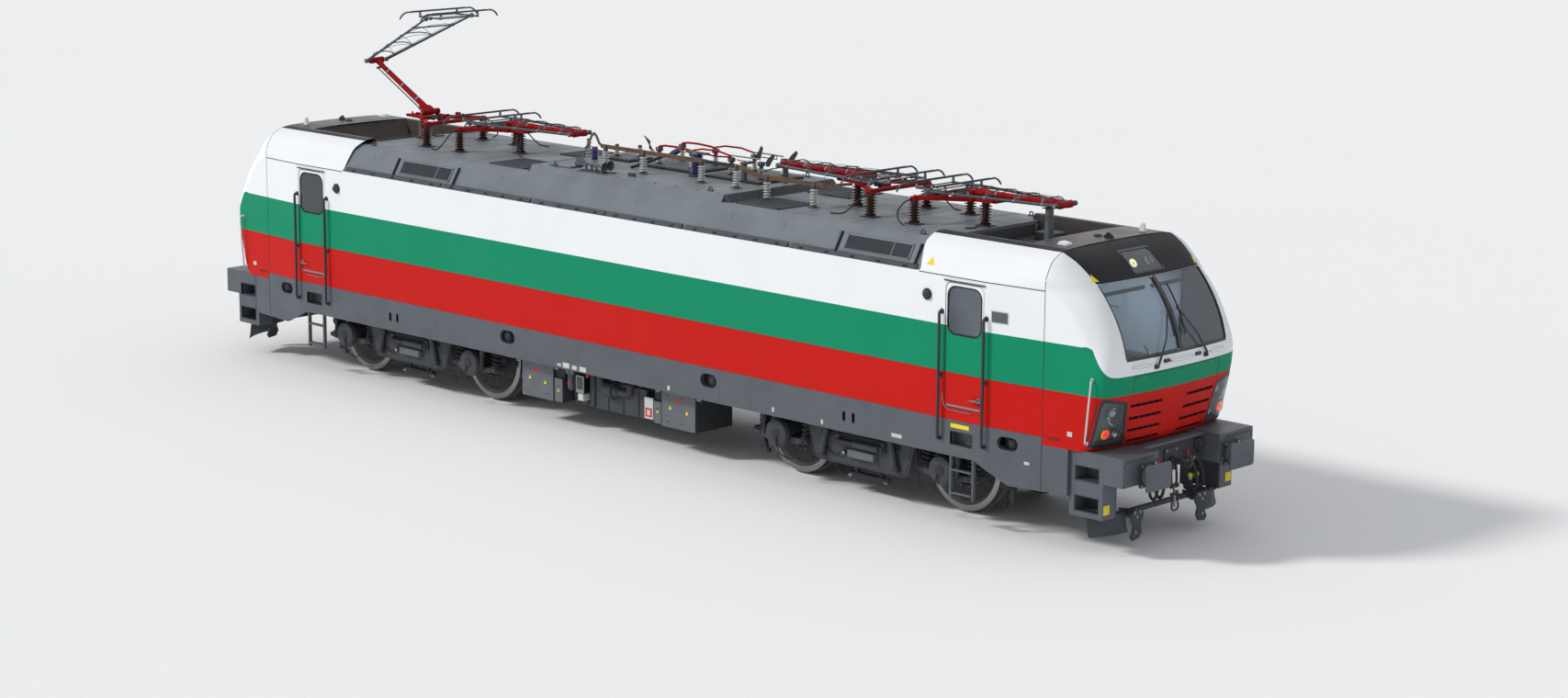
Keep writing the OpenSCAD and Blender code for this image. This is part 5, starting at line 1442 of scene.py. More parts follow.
# Aerials and the wedge in the cab roof's tray
tray = Shape()
tray_floor_z = 3.495
tray.slab([(7.70, 3.735), (7.90, 3.735), (7.88, 3.785), (7.76, 3.800)], (0, -0.84, 0), (0, -0.72, 0), "white",
          0.006)
tray.slab([(7.80, 3.735), (7.90, 3.735), (7.875, 3.86), (7.845, 3.875), (7.830, 3.86)], (0, 0.74, 0),
          (0, 0.79, 0), "white", 0.006)
tray.slab([(7.80, 3.764), (7.99, 3.764), (7.965, 3.80), (7.90, 3.84), (7.885, 3.84)], (0, -0.012, 0),
          (0, 0.012, 0), "black", 0.003)
tray.lathe([(0, 0.06), (0.012, 0.058), (0.03, 0.04), (0.035, 0.0)], (7.72, 0.0, 3.768), Z, "black", 24)
for i in range(8):
    y = -0.70 + 0.2 * i
    tray.box((6.0, y - 0.008, tray_floor_z), (7.02, y + 0.008, tray_floor_z + 0.006), "tray", 0.001)
tray.box((6.0, -0.80, tray_floor_z), (6.03, 0.80, 3.64), "roof_dark", 0.004)
tray.box((6.30, 0.45, tray_floor_z), (6.62, 0.72, tray_floor_z + 0.11), "roof_dark", 0.01)
tray.tube([(6.62, 0.55, tray_floor_z + 0.05), (6.80, 0.50, tray_floor_z + 0.02),
           (7.0, 0.30, tray_floor_z + 0.015)], 0.012, "cable", 8)
piece(tray.copies(*BOTH_ENDS), "cab_roof_gear")
post = Shape()  # A rest for the knee, at cab 2 only
post.slab([(6.868, tray_floor_z), (6.952, tray_floor_z), (6.935, 4.045), (6.885, 4.045)], (0, -0.055, 0),
          (0, 0.055, 0), "box", 0.004)
post.box((6.84, -0.09, tray_floor_z), (6.98, 0.09, tray_floor_z + 0.015), "roof_dark", 0.004)
for sx in (-1, 1):
    for sy in (-1, 1):
        post.bolt((6.91 + sx * 0.055, sy * 0.072, tray_floor_z + 0.015), Z, 0.008, "steel")
post.box((6.86, -0.10, 4.035), (6.96, 0.10, 4.045), "gasket", 0.003)
piece(post, "roof_post")

# ---- Pantographs ----


def panto_base():
    """Base frame with the main pivot at the origin and the knee towards +X."""
    s = Shape()
    low = -0.120
    s.box((-0.055, -0.175, low), (0.055, 0.175, low + 0.055), "red", 0.006)
    s.slab([(0.03, low + 0.002), (0.235, low + 0.006), (0.235, low + 0.030), (0.10, low + 0.045),
            (0.03, low + 0.050)], (0, -0.05, 0), (0, 0.05, 0), "red", 0.004)
    for y0, y1 in ((-0.125, -0.085), (0.085, 0.125)):
        s.slab([(0.04, low + 0.006), (0.44, low + 0.020), (0.46, low + 0.055), (0.40, low + 0.064),
                (0.04, low + 0.058)], (0, y0, 0), (0, y1, 0), "red", 0.004)
    s.box((0.37, -0.125, low + 0.018), (0.43, 0.125, low + 0.056), "red", 0.006)
    for x in (0.20, 0.31):
        for k in (-1, 1):
            s.lathe([(0, 0.022), (0.012, 0.022), (0.016, 0.014), (0.048, 0.014), (0.054, 0.009)],
                    (x, k * 0.105, low + 0.052), Z, "red", 14)
    s.tube([(-0.60, -0.625, low + 0.030), (-0.60, 0.625, low + 0.030)], 0.032, "red", 16)
    for k in (-1, 1):
        pts = [Vector((0.02, k * 0.13, 0)), Vector((-0.62, k * 0.57, 0))]
        d = (pts[1] - pts[0]).normalized()
        n = Vector((-d.y, d.x, 0)) * 0.026
        ring_pts = []
        for p in pts:
            for sy in (1, -1):
                for z in (low + 0.004, low + 0.062):
                    ring_pts.append(p + n * sy + Vector((0, 0, z)))
        s.add(ring_pts, [[0, 2, 3, 1], [4, 5, 7, 6], [0, 1, 5, 4], [2, 6, 7, 3], [0, 4, 6, 2], [1, 3, 7, 5]],
              "red", False)
        s.lathe([(-0.021, 0.0255), (-0.021, 0.044), (-0.018, 0.047), (0.018, 0.047), (0.021, 0.044),
                 (0.021, 0.0255)], (0, k * 0.15, 0), Y, "red", 24, closed=True)
        s.slab([(-0.040, low + 0.03), (0.040, low + 0.03), (0.034, -0.042), (-0.034, -0.042)],
               (0, k * 0.15 - 0.018, 0), (0, k * 0.15 + 0.018, 0), "red", 0.002)
        s.box((-0.66, k * 0.57 - 0.055, low), (-0.54, k * 0.57 + 0.055, low + 0.022), "red", 0.004)
        s.box((-0.30, k * 0.36 - 0.022, low + 0.05), (-0.20, k * 0.36 + 0.022, low + 0.105), "red", 0.005)
        s.bolt((-0.60, k * 0.57, low + 0.062), Z, 0.012, "steel")
    # Air bellows and its cam plate, and a rubber stop on each side
    s.lathe([(0.0, 0.030), (0.01, 0.062), (0.03, 0.070), (0.05, 0.060), (0.07, 0.070), (0.09, 0.060),
             (0.11, 0.070), (0.13, 0.062),
             (0.14, 0.030)], (-0.36, 0.0, low + 0.045), (1, 0, 0.02), "gasket", 24)
    s.box((-0.40, -0.065, low), (-0.35, 0.065, low + 0.115), "red", 0.006)
    s.rod((-0.22, 0, low + 0.048), (-0.05, 0, low + 0.052), 0.010, "steel")
    for k in (-1, 1):
        s.lathe([(0, 0.026), (0.035, 0.026), (0.05, 0.018)], (-0.44, k * 0.30, low + 0.055), Z, "gasket", 16)
    return s


def panto_lower():
    """Lower arm along +X from the pivot, with the spring cam and the link rod below it."""
    s = Shape()
    s.lathe([(-0.188, 0.0245), (0.188, 0.0245)], (0, 0, 0), Y, "steel", 20)
    s.lathe([(-0.118, 0.042), (-0.114, 0.046), (0.114, 0.046), (0.118, 0.042)], (0, 0, 0), Y, "red", 24)
    radii = [0.052, 0.050, 0.046, 0.042, 0.040, 0.040]
    s.tube([(0.02, 0, 0), (0.10, 0, 0), (0.4, 0, 0), (0.9, 0, 0), (1.35, 0, 0), (1.452, 0, 0)], radii, "red",
           20)
    s.slab([(0.0, -0.02), (0.30, 0.0), (0.26, 0.036), (0.08, 0.060), (-0.03, 0.055), (-0.045, 0.0)],
           (0, -0.014, 0), (0, 0.014, 0), "red", 0.002)
    for k in (-1, 1):
        s.slab([(0.0, -0.022), (0.17, -0.01), (0.17, 0.012), (0.0, 0.032), (-0.03, 0.0)], (0, k * 0.088, 0),
               (0, k * 0.104, 0), "red", 0.002)
    s.lathe([(-0.130, 0.0225), (-0.130, 0.046), (-0.126, 0.051), (-0.06, 0.051), (-0.055, 0.047),
             (0.055, 0.047), (0.06, 0.051), (0.126, 0.051), (0.130, 0.046),
             (0.130, 0.0225)], (LOWER, 0, 0), Y, "red", 24, closed=True)
    s.box((1.30, -0.012, 0.034), (1.44, 0.012, 0.050), "red", 0.004)
    for x in (0.35, 0.75, 1.15):
        s.tube([(x - 0.012, 0, 0), (x + 0.012, 0, 0)], 0.0475 if x < 0.5 else 0.0445, "steel", 20)
    # The lower link, opened at its base pivot
    s.rod((0.16, -0.075, -0.040), (1.34, -0.075, -0.036), 0.0105, "arm", 10)
    for x, z in ((0.16, -0.040), (1.34, -0.036)):
        s.lathe([(-0.012, 0.020), (0.012, 0.020)], (x, -0.075, z), Y, "arm", 14)
    for x in (0.16, 1.34):
        s.box((x - 0.014, -0.080, -0.045), (x + 0.014, -0.02, -0.020), "arm", 0.003)
    return s


def panto_upper():
    """Upper arm from the knee at the origin towards -X: two tubes, their ties and wires."""
    s = Shape()
    s.lathe([(-0.228, 0.0215), (0.228, 0.0215)], (0, 0, 0), Y, "steel", 20)
    for k in (-1, 1):
        s.lathe([(-0.024, 0.032), (-0.020, 0.035), (0.020, 0.035), (0.024, 0.032)], (0, k * 0.2, 0), Y, "arm",
                22)
        a, b = Vector((0, k * 0.20, 0)), Vector((-UPPER + 0.034, k * 0.46, 0))
        s.tube([a.lerp(b, t) for t in (0.012, 0.3, 0.6, 0.85, 0.995)], [0.021, 0.020, 0.018, 0.016, 0.015],
               "arm", 14)
        s.lathe([(-0.020, 0.0145), (-0.020, 0.034), (-0.016, 0.036), (0.016, 0.036), (0.020, 0.034),
                 (0.020, 0.0145)], (-UPPER, k * 0.46, 0), Y, "arm", 20, closed=True)
        for t in (0.10, 0.32, 0.55, 0.80):
            c = a.lerp(b, t)
            s.tube([c - (b - a).normalized() * 0.012, c + (b - a).normalized() * 0.012], 0.0235, "steel", 14)
        for t0, t1 in ((0.10, 0.32), (0.32, 0.55), (0.55, 0.80)):
            p, q = a.lerp(b, t0), a.lerp(b, t1)
            over = [p.lerp(Vector((q.x, -q.y, 0)), f) for f in (0.0, 0.12, 0.36, 0.64, 0.88, 1.0)]
            for i, lift in enumerate((0.0, 0.045, 0.078, 0.078, 0.045, 0.0)):
                over[i].z = lift
            s.tube(over, 0.0042, "arm", 6)
    for t in (0.10, 0.32, 0.55, 0.80):
        y = 0.20 + 0.26 * t
        x = (-UPPER + 0.034) * t
        if t > 0.77:
            s.rod((x, -y, 0), (x, y, 0), 0.012, "arm", 10)
        else:  # Arched, to lie over the lower arm when folded
            s.tube([(x, -y, 0), (x, -0.8 * y, 0.050), (x, -0.10, 0.075), (x, 0.10, 0.075),
                    (x, 0.8 * y, 0.050), (x, y, 0)], 0.009, "arm", 10)
    # Tail lever that the link rod drove
    s.slab([(-0.02, -0.03), (0.05, -0.012), (0.055, 0.012), (-0.02, 0.03), (-0.05, 0.0)], (0, -0.182, 0),
           (0, -0.170, 0), "arm", 0.002)
    s.tube([(-0.04, 0.172, 0.015), (-0.9, 0.282, 0.020), (-UPPER + 0.12, 0.425, 0.022)], 0.005, "steel", 6)
    return s


def panto_head():
    """Head about its pivot axis: two contact strips with horns on a sprung frame."""
    s = Shape()
    s.lathe([(-0.497, 0.0135), (0.497, 0.0135)], (0, 0, 0), Y, "steel", 16)
    for dx in (-0.25, 0.25):
        s.slab([(dx - 0.021, 0.083), (dx + 0.021, 0.083), (dx + 0.021, 0.094), (dx - 0.021, 0.094)],
               (0, -0.60, 0), (0, 0.60, 0), "arm", 0.001)
        s.slab([(dx - 0.018, 0.093), (dx + 0.018, 0.093), (dx + 0.018, 0.105), (dx + 0.010, 0.1085),
                (dx - 0.010, 0.1085), (dx - 0.018, 0.105)], (0, -0.54, 0), (0, 0.54, 0), "strip", 0.001)
        for k in (-1, 1):
            path = [(dx, k * 0.56, 0.094)]
            for i in range(10):
                a = math.radians(90 - 62 * i / 9)
                path.append((dx, k * (0.605 + 0.19 * math.cos(a)), -0.095 + 0.19 * math.sin(a)))
            s.tube(path, [0.010] + [0.0135] * 9 + [0.011], "arm", 12)
            s.box((dx - 0.013, k * 0.37 - 0.012, 0.0), (dx + 0.013, k * 0.37 + 0.012, 0.084), "arm", 0.003)
            s.lathe([(0.0, 0.022), (0.030, 0.022), (0.035, 0.016)], (dx, k * 0.37, 0.025), Z, "steel", 14)
    for k in (-1, 1):
        s.box((-0.27, k * 0.37 - 0.013, -0.003), (0.27, k * 0.37 + 0.013, 0.023), "arm", 0.004)
        s.lathe([(-0.017, 0.026), (0.017, 0.026)], (0, k * 0.37, 0), Y, "arm", 16)
        s.tube([(x, k * 0.37, 0.02) for x in (-0.24, -0.08, 0.08, 0.24)], 0.004, "steel", 6)
    for x in (-0.25, 0.25):
        s.rod((x, -0.36, 0.012), (x, 0.36, 0.012), 0.009, "arm", 10)
    return s


ratio = math.sqrt(LOWER / UPPER)
base_shape, lower_shape, upper_shape, head_shape = panto_base(), panto_lower(), panto_upper(), panto_head()
bases = Shape()
for n in (1, 2, 3, 4):
    face = ENDS if KNEE[n - 1] < 0 else IDENTITY
    at = Matrix.Translation((ARM_X[n - 1], 0, PANTO_Z)) @ face
    angle = math.radians(28) if n == 1 else 0.0  # Only the first is up in the photo
    bases.join(base_shape, at)
    lower_at = at @ Matrix.Rotation(-angle, 4, "Y")
    upper_at = lower_at @ Matrix.Translation((LOWER, 0, 0)) @ Matrix.Rotation(angle * (1 + ratio), 4, "Y")
    head_at = at @ Matrix.Translation((LOWER * math.cos(angle) - UPPER * math.cos(angle * ratio), 0,
                                       LOWER * math.sin(angle) + UPPER * math.sin(angle * ratio)))
    piece(lower_shape.copies(lower_at), f"lower_arm_{n}_bars", f"lower_arm_{n}",
          [f"lower_arm_{n}"])
    piece(upper_shape.copies(upper_at), f"upper_arm_{n}_bars", f"upper_arm_{n}",
          [f"upper_arm_{n}"])
    piece(head_shape.copies(head_at), f"head_{n}_strips", f"pantograph_head_{n}",
          [f"pantograph_head_{n}"])
piece(bases, "pantograph_frames", replaces=["pantograph_bases"])

cables = Shape()
for pts in ([(5.06, -0.57, 3.985), (5.00, -0.66, 3.98), (4.93, -0.74, 3.86), (4.99, -0.80, 3.74),
             (5.15, -0.85, 3.684)],
            [(5.80, 0.02, 3.985), (5.86, -0.05, 3.95), (5.89, -0.12, 3.80), (5.88, -0.22, 3.69),
             (5.80, -0.40, 3.683)],
            [(4.28, -0.57, 3.985), (4.20, -0.64, 3.95), (4.05, -0.70, 3.80), (3.92, -0.74, 3.70),
             (3.70, -0.76, 3.683)],
            [(4.27, 0.57, 3.985), (4.36, 0.66, 3.96), (4.48, 0.72, 3.80), (4.62, 0.74, 3.69),
             (4.80, 0.70, 3.683)],
            [(3.50, 0.03, 3.985), (3.40, 0.10, 3.95), (3.30, 0.20, 3.80), (3.22, 0.28, 3.70),
             (3.10, 0.33, 3.684)]):
    cables.tube(spline(pts, 5), 0.010, "cable", 10)
    cables.lathe([(0, 0.024), (0.010, 0.022), (0.014, 0.014)], (pts[-1][0], pts[-1][1], ROOF), Z, "steel", 12)
piece(cables.copies(*BOTH_ENDS), "earth_cables")

# ---- Running gear ----

BEAM_IN, BEAM_T = 0.978, 0.240


def coil(shape, x, y, z0, z1, r, wire, turns):
    """A real coil spring with its seats."""
    path = []
    n = int(turns * 14)
    for i in range(n + 1):
        t = i / n
        a = 2 * math.pi * turns * t
        rise = min(max((t * turns - 0.6) / (turns - 1.2), 0.0), 1.0)
        path.append(Vector((x + (r - wire) * math.cos(a), y + (r - wire) * math.sin(a),
                            z0 + wire + (z1 - z0 - 2 * wire) * rise)))
    shape.tube(path, wire, "iron", 8)
    shape.lathe([(-0.002, r * 1.04), (0.012, r * 1.04), (0.016, r * 0.96)], (x, y, z0 - 0.006), Z, "bogie",
                24)
    shape.lathe([(-0.016, r * 0.96), (-0.012, r * 1.04), (0.002, r * 1.04)], (x, y, z1 + 0.002), Z, "bogie",
                24)
    shape.lathe([(0, r * 0.40), (z1 - z0, r * 0.40)], (x, y, z0), Z, "gasket", 16)


def wheelset_shape():
    """A wheelset about its own axle: dished discs, bolted brake faces, tread and flange."""
    s = Shape()
    s.lathe([(-1.218, 0.0), (-1.218, 0.088), (-1.216, 0.0895), (-0.945, 0.0895), (-0.942, 0.12),
             (-0.868, 0.12)], (0, 0, 0), Y, "steel", 40)
    s.lathe([(0.868, 0.12), (0.942, 0.12), (0.945, 0.0895), (1.216, 0.0895), (1.218, 0.088), (1.218, 0.0)],
            (0, 0, 0), Y, "steel", 40)
    s.lathe([(-0.66, 0.094), (0.66, 0.094)], (0, 0, 0), Y, "wheel", 40)
    for k in (-1, 1):
        disc = [(0.652, 0.0945), (0.652, 0.160), (0.662, 0.165), (0.690, 0.168), (0.722, 0.220),
                (0.730, 0.30), (0.722, 0.42), (0.705, 0.500), (0.684, 0.538), (0.681, 0.545)]
        face = [(0.818, 0.545), (0.816, 0.538), (0.790, 0.505), (0.777, 0.42), (0.775, 0.30), (0.778, 0.22),
                    (0.802, 0.170), (0.846, 0.165), (0.866, 0.160), (0.868, 0.12)]
        rim = [(0.681, 0.545), (0.6805, 0.640), (0.690, 0.6535), (0.697, 0.6545), (0.705, 0.649),
               (0.715, 0.632), (0.722, 0.6265), (0.735, 0.6248)]
        tread = [(0.735, 0.6248), (0.78, 0.6243), (0.805, 0.6225), (0.812, 0.6185), (0.8175, 0.610),
                 (0.818, 0.545)]
        for outline, mat, n in ((disc, "wheel", 64), (face, "wheel", 64), (rim, "wheel", 96),
                                (tread, "tread", 96)):
            s.lathe([(k * h, r) for h, r in outline], (0, 0, 0), Y, mat, n, caps=False)
        # Brake rings on both faces of the disc, and their bolts
        brake = [(0.0, 0.490), (0.020, 0.488), (0.022, 0.480), (0.022, 0.275), (0.018, 0.268), (0.0, 0.266)]
        for at, d in ((0.778, 1), (0.730, -1)):
            s.lathe([(k * (at + d * h), r) for h, r in brake], (0, 0, 0), Y, "iron", 64, closed=True)
        for count, first, r, head, mat, sides in (
            (18, 0.0, 0.455, [(0, 0.0135), (0.010, 0.0135), (0.013, 0.009)], "slat", 8),
            (12, 0.5, 0.300, [(0, 0.011), (0.008, 0.011), (0.010, 0.008)], "steel", 6),
        ):
            for i in range(count):
                a = 2 * math.pi * (i + first) / count
                s.lathe(head, (math.cos(a) * r, k * 0.800, math.sin(a) * r), (0, k, 0), mat, sides)
    return s


wheels = wheelset_shape()
for n in (1, 2, 3, 4):
    piece(wheels.copies(Matrix.Translation((AXLES[n - 1], 0, WHEEL_R))), f"wheelset_{n}_turned",
          f"wheelset_{n}", [f"wheelset_{n}"])

quarter = Shape()  # One corner of a bogie: axle at x = +1.5, side +Y
ax, zc = 1.5, WHEEL_R
quarter.lathe([(1.230, 0.0), (1.230, 0.0925), (0.948, 0.0925), (0.948, 0.176), (0.956, 0.184), (1.18, 0.186),
               (1.20, 0.195), (1.246, 0.200), (1.300, 0.198), (1.318, 0.188),
               (1.326, 0.165), (1.328, 0.120), (1.328, 0.0)], (ax, 0, zc), Y, "bogie", 48)
quarter.lathe([(1.246, 0.204), (1.262, 0.204), (1.266, 0.199)], (ax, 0, zc), Y, "iron", 48)
for i in range(8):
    a = 2 * math.pi * (i + 0.5) / 8
    quarter.bolt((ax + 0.178 * math.cos(a), 1.305, zc + 0.178 * math.sin(a)), (0, 1, 0), 0.012, "iron")
quarter.lathe([(1.327, 0.075), (1.336, 0.072), (1.340, 0.05), (1.340, 0.0)], (ax, 0, zc), Y, "iron", 28)
quarter.tube([(ax - 0.02, 1.335, zc - 0.03), (ax - 0.04, 1.352, zc - 0.12), (ax - 0.10, 1.345, zc - 0.26),
              (ax - 0.24, 1.30, zc - 0.33), (ax - 0.38, 1.27, zc - 0.27), (ax - 0.46, 1.25, zc - 0.10),
              (ax - 0.50, 1.24, zc + 0.16), (ax - 0.50, 1.23, 0.98)], 0.011, "cable", 8)
# Axle-box wings with the primary springs, and the arm to the frame
for d in (-1, 1):
    quarter.slab([(ax + d * 0.06, 0.47), (ax + d * 0.50, 0.535), (ax + d * 0.50, 0.588),
                  (ax + d * 0.14, 0.592), (ax + d * 0.10, 0.66), (ax, 0.70),
                  (ax, 0.46)], (0, 0.965, 0), (0, 1.225, 0), "bogie",
                  0.006)
    coil(quarter, ax + d * 0.40, 1.094, 0.598, 0.952, 0.092, 0.0165, 6.2)
    quarter.lathe([(0, 0.030), (0.03, 0.030), (0.035, 0.02)], (ax + d * 0.40, 1.20, 0.555), (0, 1, 0.0),
                  "iron", 12)
quarter.tube([(ax + 0.24, 1.26, 0.56), (ax + 0.26, 1.27, 0.60), (ax + 0.27, 1.27, 0.92)],
             [0.030, 0.030, 0.030], "iron", 14)
quarter.tube([(ax + 0.27, 1.27, 0.76), (ax + 0.275, 1.27, 0.99)], [0.040, 0.040], "bogie", 14)
# End of the frame: bracket, brake unit, sander pipe, life guard
quarter.slab([(2.20, 0.30), (2.32, 0.20), (2.32, 0.97), (2.22, 0.97)], (0, 0.715, 0), (0, 0.785, 0), "bogie",
             0.006)
quarter.box((2.19, 0.69, 0.44), (2.34, 0.90, 0.53), "iron", 0.010)
quarter.bolt((2.27, 0.80, 0.53), Z, 0.014, "steel")
quarter.tube([(2.20, 0.83, 0.94), (2.22, 0.83, 0.70), (2.24, 0.80, 0.45), (2.20, 0.77, 0.24),
              (2.17, 0.76, 0.16)], [0.020, 0.020, 0.020, 0.022, 0.024], "hose", 12)
quarter.box((2.14, 0.735, 0.15), (2.20, 0.785, 0.21), "iron", 0.006)
quarter.box((0.60, 0.70, 0.66), (0.825, 0.90, 0.92), "iron", 0.03)
quarter.tube([(0.74, 0.80, 0.68), (0.80, 0.78, 0.64)], 0.040, "iron", 14)
quarter.box((0.76, 0.745, 0.54), (0.862, 0.815, 0.70), "iron", 0.01)
# Half of the long side: beam with the secondary springs in its saddle
beam = [(0.0, 0.860), (0.560, 0.860), (0.700, 1.100), (2.26, 1.100), (2.32, 1.060), (2.32, 0.962),
        (1.00, 0.962), (0.960, 0.80), (0.860, 0.450), (0.800, 0.396), (0.745, 0.382), (0.0, 0.382)]
quarter.slab(beam, (0, BEAM_IN, 0), (0, BEAM_IN + BEAM_T, 0), "bogie", 0.008)
quarter.slab([(0.0, 0.400), (0.73, 0.400), (0.83, 0.470), (0.92, 0.80), (0.80, 0.86), (0.0, 0.84)],
             (0, 1.210, 0), (0, 1.2235, 0), "bogie", 0.004)
quarter.tube([(0.0, 1.222, 0.392), (0.74, 1.222, 0.390), (0.80, 1.222, 0.405), (0.862, 1.222, 0.462),
              (0.962, 1.222, 0.81), (0.995, 1.222, 0.965)], 0.009, "bogie", 8)
coil(quarter, 0.23, 1.098, 0.874, 1.312, 0.108, 0.0195, 6.6)
quarter.box((0.60, 1.19, 0.98), (0.72, 1.235, 1.09), "iron", 0.008)
for x in (1.02, 1.98, 2.20):
    quarter.bolt((x, 1.218, 1.03), (0, 1, 0), 0.015, "iron")
# Inclined damper to the body
quarter.tube([(0.66, 1.262, 0.50), (0.655, 1.268, 0.56), (0.58, 1.272, 0.86)], [0.036, 0.042, 0.042], "bogie",
             16)
quarter.tube([(0.585, 1.272, 0.84), (0.52, 1.275, 1.14)], [0.052, 0.052], "iron", 16)
quarter.box((0.62, 1.215, 0.45), (0.72, 1.29, 0.53), "iron", 0.012)
# Track brake: magnet and its hangers
quarter.box((0.0, 0.99, 0.192), (0.34, 1.075, 0.262), "iron", 0.008)
quarter.box((0.30, 0.985, 0.186), (0.36, 1.08, 0.245), "steel", 0.008)
for x in (0.06, 0.14, 0.22):
    quarter.box((x, 0.986, 0.205), (x + 0.012, 1.079, 0.250), "slat", 0.002)
quarter.box((0.20, 1.008, 0.255), (0.25, 1.058, 0.385), "iron", 0.005)
quarter.tube([(0.30, 1.06, 0.24), (0.38, 1.12, 0.22), (0.46, 1.18, 0.28), (0.50, 1.21, 0.40)], 0.010, "cable",
             8)

middle = Shape()  # Parts on the +Y side of a bogie that aren't mirrored end to end
middle.rod((-0.38, 1.272, 0.705), (0.08, 1.272, 0.705), 0.050, "bogie", 20)
middle.rod((0.05, 1.272, 0.705), (0.36, 1.272, 0.705), 0.038, "iron", 18)
for x in (-0.40, 0.38):
    middle.lathe([(-0.025, 0.048), (0.025, 0.048)], (x, 1.262, 0.705), Y, "iron", 18)
middle.box((-0.46, 1.215, 0.66), (-0.38, 1.262, 0.80), "bogie", 0.010)
middle.box((0.36, 1.215, 0.66), (0.44, 1.262, 0.80), "bogie", 0.010)
middle.box((-0.30, 1.215, 0.52), (0.18, 1.30, 0.62), "box", 0.010)
middle.box((0.20, 1.215, 0.53), (0.29, 1.27, 0.61), "iron", 0.010)
for x in (-0.26, 0.14):
    middle.bolt((x, 1.300, 0.57), (0, 1, 0), 0.010, "steel")
middle.lathe([(0, 0.030), (0.04, 0.030), (0.05, 0.020)], (0.24, 1.27, 0.57), Y, "steel", 16)
for z, r in ((0.79, 0.012), (0.755, 0.010)):
    middle.tube([(-0.72, 1.24, z), (-0.30, 1.235, z + 0.02), (0.30, 1.235, z + 0.01), (0.70, 1.24, z)], r,
                "cable", 8)
middle.tube([(0.29, 1.25, 0.57), (0.36, 1.26, 0.52), (0.48, 1.25, 0.50), (0.62, 1.24, 0.56)], 0.011, "cable",
            8)
cross = Shape()
for k in (-1, 1):
    cross.box((min(k * 0.15, k * 0.33), -BEAM_IN - 0.01, 0.64),
              (max(k * 0.15, k * 0.33), BEAM_IN + 0.01, 0.85), "bogie", 0.02)
    cross.box((-0.16, min(k * 0.17, k * BEAM_IN), 0.645), (0.16, max(k * 0.17, k * BEAM_IN), 0.845), "bogie",
              0.01)
cross.lathe([(0.60, 0.113), (0.60, 0.195), (0.64, 0.205), (0.85, 0.205), (0.885, 0.195), (0.89, 0.113)],
            (0, 0, 0), Z, "bogie", 40, closed=True)
for s in (-1, 1):
    cross.box((s * 2.21, -BEAM_IN, 0.965), (s * 2.32, BEAM_IN, 1.08), "bogie", 0.012)
bogie_parts = quarter.copies(*FOUR)
bogie_parts.join(middle.copies(IDENTITY, TURN))
bogie_parts.join(cross)
for n, x in ((1, -PIVOT), (2, PIVOT)):
    turn = Matrix.Translation((x, 0, 0)) @ (TURN if n == 1 else IDENTITY)
    piece(bogie_parts.copies(turn), f"bogie_{n}_frame", f"bogie_{n}",
          [f"bogie_frame_{n}", f"axle_boxes_{n}", f"bogie_springs_{n}"])

motor = Shape()
mx = 0.84
body_line = [(-0.49, 0.06), (-0.488, 0.20), (-0.47, 0.235), (-0.44, 0.262), (-0.40, 0.268)]
body_line += [(-0.40, 0.255), (0.24, 0.255), (0.24, 0.268), (0.30, 0.266), (0.33, 0.25), (0.348, 0.20)]
motor.lathe(body_line, (mx, 0, 0.60), Y, "iron", 36)
for i in range(13):
    motor.lathe([(0, 0.262), (0.018, 0.262)], (mx, -0.36 + 0.046 * i, 0.60), Y, "iron", 36)
motor.box((mx - 0.25, -0.46, 0.77), (mx + 0.19, 0.32, 0.895), "iron", 0.02)
motor.box((0.335, -0.29, 0.775), (0.66, 0.29, 0.838), "iron", 0.012)
motor.lathe([(0.425, 0.104), (0.425, 0.285), (0.44, 0.305), (0.56, 0.305), (0.575, 0.285), (0.575, 0.104)],
            (ax, 0, zc), Y, "iron", 40, closed=True)
motor.slab([(0.79, 0.38), (0.79, 0.87), (1.30, 0.87), (1.38, 0.80), (1.38, 0.45), (1.30, 0.38)],
           (0, 0.428, 0), (0, 0.572, 0), "iron", 0.012)
motor.box((0.73, 0.345, 0.45), (0.95, 0.435, 0.80), "iron", 0.012)
motor.tube([(0.60, -0.30, 0.89), (0.50, -0.32, 0.98), (0.40, -0.35, 1.02), (0.34, -0.45, 0.95)], 0.022,
           "cable", 10)
for n, x in ((1, -PIVOT), (2, PIVOT)):
    piece(motor.copies(*[Matrix.Translation((x, 0, 0)) @ m for m in BOTH_ENDS]), f"motors_{n}", f"bogie_{n}",
          [f"traction_motors_{n}"])

# ---- Underfloor equipment ----

